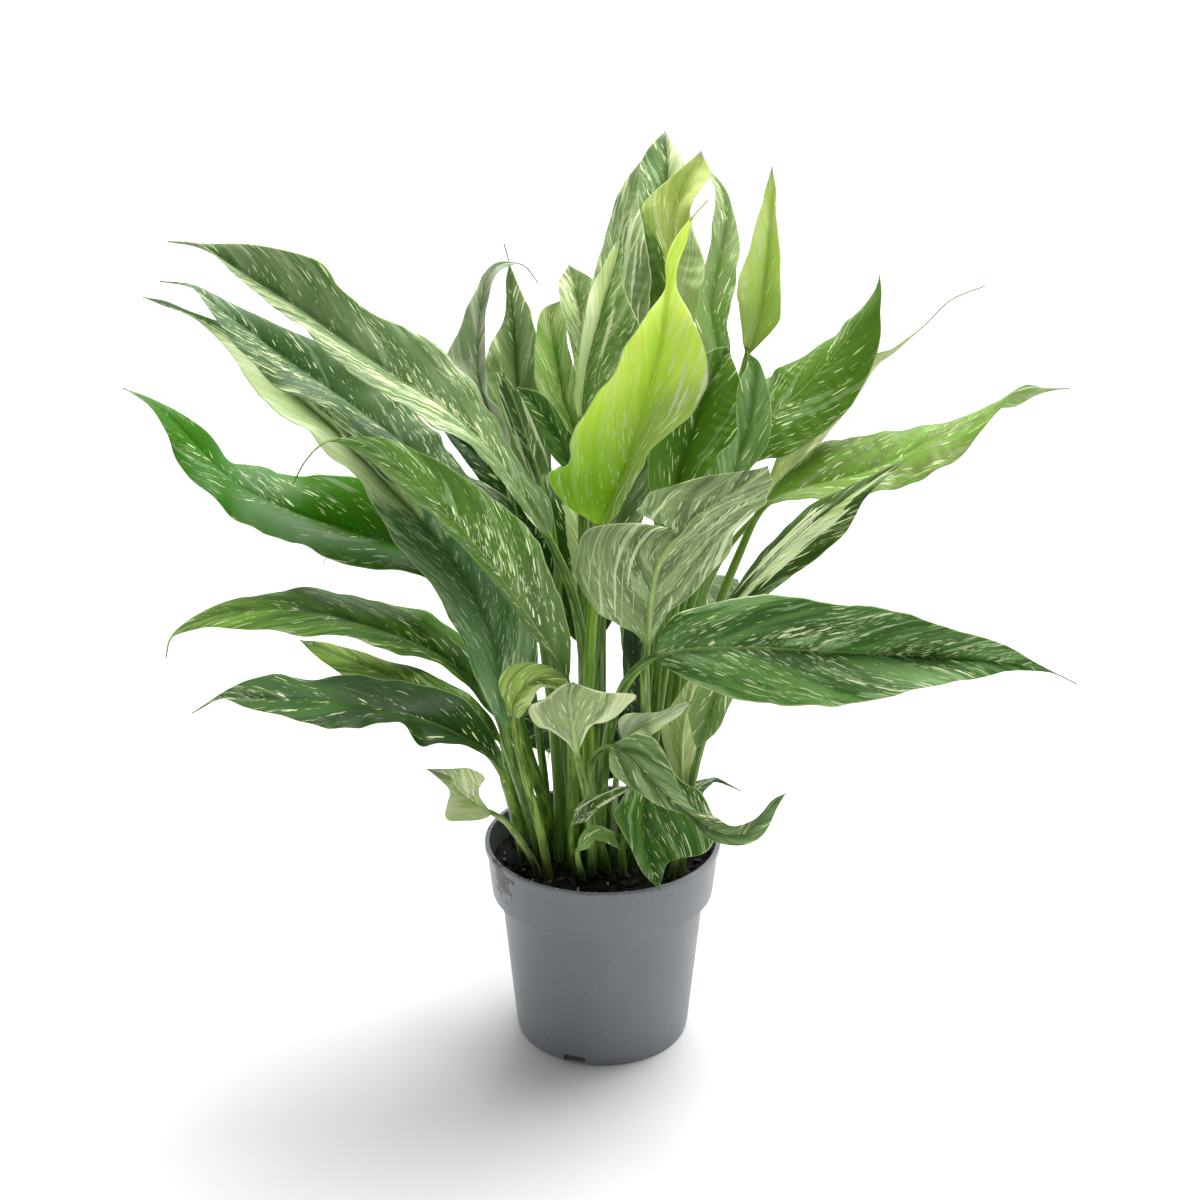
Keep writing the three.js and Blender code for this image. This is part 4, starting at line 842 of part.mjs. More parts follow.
    [9.1,21,90.5,0,0,0,0,0,0,0.11,-0.99,0.04,2.71],
    [8.6,21.6,105.3,0,0,0,0,0,0,0.11,-0.99,0.1,2.6],
    [6.5,23,114.5,0,0,0,0,0,0,0.09,-0.98,0.19,2.38],
    [4.9,24.9,123.9,0,0,0,0,0,0,0.08,-0.97,0.23,2.16],
    [4.2,27.4,133.4,0,0,0,0,0,0,0.07,-0.94,0.34,1.66],
    [3.3,30.9,141,-9.4,-4.1,-1.5,9.5,-0.2,3.9,0.02,-0.84,0.54,1.41],
    [0.1,36.3,147.7,-12.2,-8,-3,13,1.6,7.7,-0.03,-0.71,0.7,1.18],
    [-5.9,42.2,152.1,-10.9,-11.9,-6.4,11.5,4.5,12.5,-0.11,-0.68,0.72,0.96],
    [-14,45.9,154.7,-6.2,-14.9,-9.1,5.7,7.2,16.2,0.04,-0.76,0.65,0.76],
    [-22.5,45.4,156.9,-2.7,-14.7,-9.4,2.2,7.3,16.2,0.18,-0.76,0.62,0.57],
    [-31.1,44.2,157.7,-0.3,-13.1,-8.3,-1,6.8,14.2,0.01,-0.75,0.66,0.4],
    [-39.2,44.7,156.2,1.3,-10.5,-6.2,-3.8,5.5,10.3,-0.27,-0.73,0.63,0.3],
    [-46.8,45.8,152.7,1.6,-6.2,-4.2,-3.7,3.2,5.9,-0.43,-0.76,0.48,0.3],
    [-53.2,46.9,147.3,0,0,0,0,0,0,-0.58,-0.73,0.37,0.3],
    [-55.9,48,142.8,0,-0,-0,-0,0,0,-0.69,-0.69,0.24,0.3],
  ] },
  leaf_50: { kind: 'leaf_dark', stalk: 4, st: [
    [25,-12.1,90.5,0,0,0,0,0,0,0,-1,0.03,2.71],
    [25,-11.7,105.4,0,0,0,0,0,0,0,-1,-0.06,2.6],
    [24.6,-13.7,114.9,0,0,0,0,0,0,0.01,-0.97,-0.25,2.38],
    [24.2,-17.2,126.3,0,0,0,0,0,0,0.01,-0.97,-0.24,2.16],
    [23.7,-19.6,138.3,0,0,0,0,0,0,0,-1,-0.04,1.66],
    [23.4,-18.2,152.9,-3.9,-1.1,0,3.9,-1,0.2,0,-0.99,0.14,1.41],
    [23.5,-15.5,167.7,-5.6,-1.7,0.2,5.6,-1.5,0.4,0.01,-0.98,0.22,1.18],
    [22.8,-11.8,181.9,-6.5,-2.3,0.1,6.7,-1.6,0.6,0.04,-0.98,0.21,0.96],
    [21.7,-9.5,196.6,-6.8,-2.5,-0.2,7,-1.7,0.7,0.05,-0.99,0.16,0.76],
    [20.5,-7.3,211.3,-6.5,-2.4,-0.1,6.7,-1.6,0.8,0.04,-0.98,0.19,0.57],
    [19.6,-4,225.6,-5.8,-1.9,0.3,6,-1.6,0.4,0.02,-0.98,0.19,0.4],
    [19.8,-1.7,240.5,-4.7,-1.1,0.7,4.5,-1.7,-0.6,-0.05,-0.99,0.1,0.3],
    [21.7,-1.2,255.8,-2.9,0.1,0.6,2.9,-0.9,-0.6,-0.16,-0.98,0.06,0.3],
    [26.5,-1.1,270.8,0,0,0,0,0,0,-0.17,-0.98,0.02,0.3],
    [30.1,-2.3,279.5,-0,0,0,0,-0,-0,-0.2,-0.98,-0.05,0.3],
  ] },
  leaf_51: { kind: 'leaf_dark', stalk: 4, st: [
    [-5.5,18.6,90.7,0,0,0,0,0,0,0.11,-0.99,-0.01,2.71],
    [-6.3,18.4,105.6,0,0,0,0,0,0,0.11,-0.99,0,2.6],
    [-20.5,17,149.6,0,0,0,0,0,0,0.11,-0.99,0.02,2.38],
    [-22.9,18.8,196.3,0,0,0,0,0,0,0.1,-0.99,0.13,2.16],
    [-25.6,28.7,239.2,0,0,0,0,0,0,0.09,-0.96,0.25,1.66],
    [-27.3,32.9,252.9,-6.1,-2.4,-0.5,6.4,-0.7,1.5,0.08,-0.95,0.32,1.41],
    [-30.4,37,265.1,-8.5,-4.4,-1.1,9,-0.5,2.9,0.13,-0.93,0.35,1.18],
    [-35.6,40.6,276.7,-9.2,-6,-2,10.2,0.1,4.4,0.16,-0.91,0.37,0.96],
    [-41.8,44,287.7,-8.9,-6.9,-3.1,10,0.9,5.9,0.18,-0.9,0.39,0.76],
    [-48.8,47.1,298.1,-8,-7.1,-3.5,9.1,1.4,6.5,0.19,-0.88,0.43,0.57],
    [-56.8,50.6,307.3,-6.8,-6.5,-3.1,7.3,1.9,6.4,0.09,-0.81,0.58,0.4],
    [-65.7,57.1,314.9,-5.4,-5.1,-2.4,5.1,1.9,5.5,-0.05,-0.72,0.69,0.3],
    [-75.4,64.7,320.8,-3.3,-3.1,-1.7,3,1.5,3.6,-0.12,-0.68,0.72,0.3],
    [-85.6,72,325.6,0,0,0,0,0,0,-0.17,-0.64,0.75,0.3],
    [-91.7,76.9,327.5,-0,-0,-0,0,0,0,-0.23,-0.59,0.77,0.3],
  ] },
  leaf_52: { kind: 'leaf_dark', stalk: 4, st: [
    [5.1,28.2,90.4,0,0,0,0,0,0,-0.13,-0.99,0.05,2.71],
    [4.2,29.1,105.1,0,0,0,0,0,0,-0.16,-0.97,0.19,2.6],
    [0.9,33.2,111.7,0,0,0,0,0,0,-0.17,-0.95,0.27,2.38],
    [1.5,33.8,119.9,0,0,0,0,0,0,-0.18,-0.95,0.24,2.16],
    [3.8,36.6,127.5,0,0,0,0,0,0,-0.08,-0.86,0.51,1.66],
    [7,41.3,133.2,-8.1,1,4.6,7.8,-4.6,-2.1,-0.01,-0.77,0.64,1.41],
    [11,46,138.9,-11.2,1.9,7.4,10.3,-8,-3.6,-0.07,-0.81,0.58,1.18],
    [16.2,48.7,144.6,-11.9,3.3,10.1,10.1,-11,-5.6,-0.24,-0.86,0.45,0.96],
    [22.5,48.9,150.3,-9.6,4.8,12.7,7.8,-12.4,-7.4,-0.33,-0.84,0.43,0.76],
    [29.5,48.8,154.9,-6.9,5.5,13.3,5.9,-12.5,-7.7,-0.25,-0.81,0.54,0.57],
    [37,49.3,157.8,-3.3,5.7,12.5,3.5,-11.5,-7.1,-0.05,-0.76,0.65,0.4],
    [44.7,50.6,158.3,0.9,5,9.7,0.8,-9.4,-5.5,0.2,-0.71,0.68,0.3],
    [52.2,52.3,156.5,2.2,3.1,5.7,-0.3,-5.7,-4,0.4,-0.73,0.55,0.3],
    [58.7,53.7,152.2,0,0,0,0,0,0,0.6,-0.66,0.45,0.3],
    [61.3,55,148.5,0,0,0,-0,-0,-0,0.74,-0.6,0.3,0.3],
  ] },
};

const wasm = await Module();
wasm.setup();

function toManifold(verts, tris) {
  return new wasm.Manifold(new wasm.Mesh({ numProp: 3, vertProperties: new Float32Array(verts), triVerts: new Uint32Array(tris) }));
}
function fromManifold(m) {
  const mesh = m.getMesh();
  const g = new THREE.BufferGeometry();
  g.setAttribute('position', new THREE.BufferAttribute(new Float32Array(mesh.vertProperties), 3));
  g.setIndex(new THREE.BufferAttribute(new Uint32Array(mesh.triVerts), 1));
  return g;
}
function toGeometry(verts, tris) {
  const g = new THREE.BufferGeometry();
  g.setAttribute('position', new THREE.BufferAttribute(new Float32Array(verts), 3));
  g.setIndex(tris);
  g.computeVertexNormals();
  return g;
}
const v3 = (a, b, c) => new THREE.Vector3(a, b, c);

// A closed loft through rings of equal size, with a point at each end.
function loft(rings, first, last) {
  const verts = [], tris = [], m = rings[0].length, n = rings.length;
  for (const r of rings) for (const p of r) verts.push(p.x, p.y, p.z);
  for (let i = 0; i + 1 < n; i++) for (let j = 0; j < m; j++) {
    const a = i * m + j, b = i * m + (j + 1) % m, c = a + m, d = b + m;
    // above and underneath share the same diagonal, so a twisted blade never crosses itself
    if (j < m / 2) tris.push(a, b, c, b, d, c);
    else tris.push(a, b, d, a, d, c);
  }
  const s = verts.length / 3; verts.push(first.x, first.y, first.z);
  const e = s + 1; verts.push(last.x, last.y, last.z);
  for (let j = 0; j < m; j++) {
    tris.push(s, (j + 1) % m, j);
    const o = (n - 1) * m;
    tris.push(e, o + j, o + (j + 1) % m);
  }
  return [verts, tris];
}

function leafRings(L, grow = 0, onlyStalk = 0) {
  const rings = [], n = onlyStalk || L.st.length;
  for (let i = 0; i < n; i++) {
    const s = L.st[i];
    const C = v3(s[0], s[1], s[2]), l = v3(s[3], s[4], s[5]), r = v3(s[6], s[7], s[8]);
    const N = v3(s[9], s[10], s[11]).normalize(), rad = s[12] + grow;
    const p = L.st[Math.max(i - 1, 0)], q = L.st[Math.min(i + 1, L.st.length - 1)];
    const T = v3(q[0] - p[0], q[1] - p[1], q[2] - p[2]).normalize();
    const side = new THREE.Vector3().crossVectors(T, N).normalize();
    const up = new THREE.Vector3().crossVectors(side, T).normalize();
    if (i < L.stalk || Math.max(l.length(), r.length()) < rad * 1.15) {
      const ring = [];
      for (let j = 0; j < 8; j++) {           // left, over the top, right, underneath
        const a = Math.PI - j * Math.PI / 4;
        ring.push(C.clone().addScaledVector(side, Math.cos(a) * rad).addScaledVector(up, Math.sin(a) * rad));
      }
      rings.push(ring);
      continue;
    }
    const half = (e) => {                      // upper direction of one half of the blade
      const d = new THREE.Vector3().crossVectors(T, e).normalize();
      if (d.lengthSq() < 0.5) return up.clone();
      if (d.dot(up) < 0) d.negate();
      return d;
    };
    const nl = half(l), nr = half(r);
    const ll = Math.max(l.length(), rad * 1.1), rl = Math.max(r.length(), rad * 1.1);
    const lw = l.length() > 1e-3 ? l.clone().setLength(ll) : side.clone().multiplyScalar(-ll);
    const rw = r.length() > 1e-3 ? r.clone().setLength(rl) : side.clone().multiplyScalar(rl);
    const h = Math.min(BLADE_HALF, Math.max(0.16, 0.1 * Math.max(ll, rl)));
    const puffL = 0.045 * ll, puffR = 0.045 * rl;
    const ml = C.clone().addScaledVector(lw, 0.52).addScaledVector(nl, puffL);
    const mr = C.clone().addScaledVector(rw, 0.52).addScaledVector(nr, puffR);
    const bl = new THREE.Vector3().addVectors(nl, nr);
    const nm = bl.lengthSq() > 0.3 ? bl.normalize() : up;
    rings.push([
      C.clone().add(lw),
      ml.clone().addScaledVector(nl, h),
      C.clone().addScaledVector(nm, Math.min(0.35, rad * 0.5)),
      mr.clone().addScaledVector(nr, h),
      C.clone().add(rw),
      mr.clone().addScaledVector(nr, -h),
      C.clone().addScaledVector(nm, -Math.max(rad, 0.35)),
      ml.clone().addScaledVector(nl, -h),
    ]);
  }
  return rings;
}
function leaf(L) {
  const rings = leafRings(L), n = L.st.length;
  const s = L.st[0], e = L.st[n - 1], d = L.st[n - 2];
  const T = v3(e[0] - d[0], e[1] - d[1], e[2] - d[2]).normalize();
  return loft(rings, v3(s[0], s[1], s[2] - 0.8), v3(e[0], e[1], e[2]).addScaledVector(T, 0.6));
}

// ---- pot ----
function lathe(profile, segments) {
  // profile: [radius, z] from the axis round to the axis again
  const verts = [], tris = [], idx = [];
  for (const [r, z] of profile) {
    if (r < 1e-6) { idx.push([verts.length / 3]); verts.push(0, 0, z); continue; }
    const row = [];
    for (let j = 0; j < segments; j++) {
      const a = 2 * Math.PI * j / segments;
      row.push(verts.length / 3); verts.push(r * Math.cos(a), r * Math.sin(a), z);
    }
    idx.push(row);
  }
  for (let i = 0; i + 1 < idx.length; i++) {
    const a = idx[i], b = idx[i + 1];
    for (let j = 0; j < segments; j++) {
      const k = (j + 1) % segments;
      if (a.length === 1 && b.length === 1) continue;
      if (a.length === 1) tris.push(a[0], b[k], b[j]);
      else if (b.length === 1) tris.push(a[j], a[k], b[0]);
      else tris.push(a[j], a[k], b[j], a[k], b[k], b[j]);
    }
  }
  return toManifold(verts, tris);
}
const collarZ = POT_HEIGHT - COLLAR_HEIGHT;
const floorIn = FOOT_RING_HEIGHT + WALL;
const bodyR = (z) => FOOT_RADIUS + (BODY_TOP_RADIUS - FOOT_RADIUS) * (z / (collarZ - 3));
const collarR = (z) => COLLAR_FOOT_RADIUS + (RIM_RADIUS - RIM_LIP * 0.6 - COLLAR_FOOT_RADIUS) * ((z - collarZ) / COLLAR_HEIGHT);
const innerR = (z) => (z > collarZ - 1 ? collarR(Math.max(z, collarZ)) : bodyR(z)) - WALL;
const potProfile = [
  [0, FOOT_RING_HEIGHT],
  [FOOT_RADIUS - FOOT_RING_WIDTH - 2, FOOT_RING_HEIGHT],
  [FOOT_RADIUS - FOOT_RING_WIDTH - 1.2, FOOT_RING_HEIGHT - 0.8],
  [FOOT_RADIUS - FOOT_RING_WIDTH - 0.6, 0.5],
  [FOOT_RADIUS - FOOT_RING_WIDTH, 0],
  [FOOT_RADIUS - 1.9, 0],
  [FOOT_RADIUS - 0.7, 0.5],
  [FOOT_RADIUS + 0.05, 1.8],
  [bodyR(FOOT_CORNER), FOOT_CORNER],
  [bodyR(40), 40],
  [BODY_TOP_RADIUS, collarZ - 4],
  [BODY_TOP_RADIUS + 0.5, collarZ - 3],
  [COLLAR_FOOT_RADIUS - 0.9, collarZ - 0.2],
  [COLLAR_FOOT_RADIUS, collarZ + 0.9],
  [collarR(collarZ + 14), collarZ + 14],
  [collarR(POT_HEIGHT - 4.6), POT_HEIGHT - 4.6],
  [RIM_RADIUS - 0.5, POT_HEIGHT - 3.6],
  [RIM_RADIUS, POT_HEIGHT - 2.6],
  [RIM_RADIUS, POT_HEIGHT - 0.7],
  [RIM_RADIUS - 0.6, POT_HEIGHT],
  [RIM_RADIUS - WALL - RIM_LIP + 0.4, POT_HEIGHT],
  [RIM_RADIUS - WALL - RIM_LIP, POT_HEIGHT - 0.6],
  [innerR(POT_HEIGHT - 6), POT_HEIGHT - 6],
  [innerR(collarZ + 1.6), collarZ + 1.6],
  [BODY_TOP_RADIUS - WALL, collarZ - 3.2],
  [bodyR(floorIn + 3) - WALL, floorIn + 3],
  [bodyR(floorIn) - WALL - 2, floorIn],
  [0, floorIn],
];
let pot = lathe(potProfile, POT_SEGMENTS);
for (let i = 0; i < NOTCHES; i++) {
  const a = (-90 + NOTCH_TURN + i * 360 / NOTCHES);
  const w = NOTCH_WIDTH / 2;
  const cut = wasm.Manifold.cube([14, 2 * w, 12], true).translate([FOOT_RADIUS - 1, 0, FOOT_RING_HEIGHT - 0.6 - 6]).rotate([0, 0, a]);
  pot = pot.subtract(cut);
}
for (let i = 0; i < DRAIN_HOLES; i++) {
  const a = (i + 0.5) * 360 / DRAIN_HOLES;
  pot = pot.subtract(wasm.Manifold.cylinder(12, DRAIN_RADIUS, DRAIN_RADIUS, 12, true).translate([DRAIN_RING, 0, FOOT_RING_HEIGHT]).rotate([0, 0, a]));
}
pot = pot.translate([POT_X, POT_Y, 0]);

// ---- soil: fills the pot to just under the rim, with a socket for each stalk ----
const soilBottom = floorIn + SOIL_GAP;
const soilProfile = [
  [0, soilBottom],
  [bodyR(floorIn) - WALL - 3.4, soilBottom],
  [bodyR(floorIn + 4) - WALL - SOIL_GAP - 0.35, floorIn + 4],
  [BODY_TOP_RADIUS - WALL - SOIL_GAP - 0.3, collarZ - 3.6],
  [innerR(collarZ + 2) - SOIL_GAP - 0.35, collarZ + 2.2],
  [innerR(SOIL_TOP) - SOIL_GAP - 0.3, SOIL_TOP - 0.8],
  [innerR(SOIL_TOP) - SOIL_GAP - 1.6, SOIL_TOP],
  [38, SOIL_TOP + SOIL_CROWN * 0.5],
  [18, SOIL_TOP + SOIL_CROWN * 0.9],
  [0, SOIL_TOP + SOIL_CROWN],
];
let soil = lathe(soilProfile, POT_SEGMENTS).translate([POT_X, POT_Y, 0]);
for (const L of Object.values(LEAVES)) {
  // the stalk below and just above the soil, a little larger all round
  const rings = leafRings(L, SOIL_GAP + 0.12, 2);
  const foot = v3(L.st[0][0], L.st[0][1], L.st[0][2] - 0.8 - SOIL_GAP);
  rings[0].forEach((p) => { p.z -= SOIL_GAP; });
  const [v, t] = loft(rings, foot, v3(L.st[1][0], L.st[1][1], L.st[1][2] + 0.4));
  soil = soil.subtract(toManifold(v, t));
}

// ---- the group ----
const COLOURS = {
  pot: [0x747c82, 0.42],
  soil: [0x2a201a, 0.95],
  leaf_dark: [0x2f5230, 0.38],
  leaf_mid: [0x4a7040, 0.38],
  leaf_bright: [0x4f8a1c, 0.36],
  leaf_light: [0x7d9c3c, 0.40],
  leaf_grey: [0x6c7f6b, 0.48],
  leaf_pale: [0xa9b488, 0.45],
};
const group = new THREE.Group();
group.name = 'potted_peace_lily';
function add(name, geometry, colour, roughness) {
  if (!geometry.attributes.normal) geometry.computeVertexNormals();
  const mesh = new THREE.Mesh(geometry, new THREE.MeshStandardMaterial({ name: name + '_mat', color: colour, roughness, metalness: 0 }));
  mesh.name = name;
  group.add(mesh);
}
add('pot', fromManifold(pot), COLOURS.pot[0], COLOURS.pot[1]);
add('soil', fromManifold(soil), COLOURS.soil[0], COLOURS.soil[1]);
Object.entries(LEAVES).forEach(([name, L]) => {
  const [v, t] = leaf(L);
  add(name, toGeometry(v, t), COLOURS[L.kind][0], COLOURS[L.kind][1]);
});

export default group;
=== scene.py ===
# Potted peace lily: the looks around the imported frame. Metres, Z up, the frame's own axes.
import math

import bpy
import numpy as np
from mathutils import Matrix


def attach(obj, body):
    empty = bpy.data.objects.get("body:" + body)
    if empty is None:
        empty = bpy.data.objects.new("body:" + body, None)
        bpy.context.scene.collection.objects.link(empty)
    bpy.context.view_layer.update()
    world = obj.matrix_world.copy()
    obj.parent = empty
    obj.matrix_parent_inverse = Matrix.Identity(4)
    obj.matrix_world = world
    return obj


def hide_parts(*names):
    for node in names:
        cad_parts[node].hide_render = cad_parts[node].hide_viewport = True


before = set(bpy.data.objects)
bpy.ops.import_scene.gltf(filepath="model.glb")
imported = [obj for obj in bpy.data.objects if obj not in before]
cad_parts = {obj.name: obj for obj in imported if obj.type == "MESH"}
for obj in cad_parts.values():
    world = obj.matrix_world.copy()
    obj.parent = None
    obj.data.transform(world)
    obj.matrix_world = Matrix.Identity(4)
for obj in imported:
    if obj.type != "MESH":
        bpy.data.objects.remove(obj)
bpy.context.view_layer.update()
scene = bpy.context.scene

# ---- the pot, as in the CAD, in millimetres ----
POT_X, POT_Y = 3.1, -10
POT_HEIGHT = 116.0
RIM_RADIUS = 65.0
COLLAR_HEIGHT = 30.0
COLLAR_FOOT_RADIUS = 61.6
BODY_TOP_RADIUS = 56.2
FOOT_RADIUS = 48.3
WALL = 1.4
RIM_LIP = 1.2
FOOT_CORNER = 4.5
FOOT_RING_HEIGHT = 5.5
FOOT_RING_WIDTH = 3.2
SOIL_TOP = 102.0

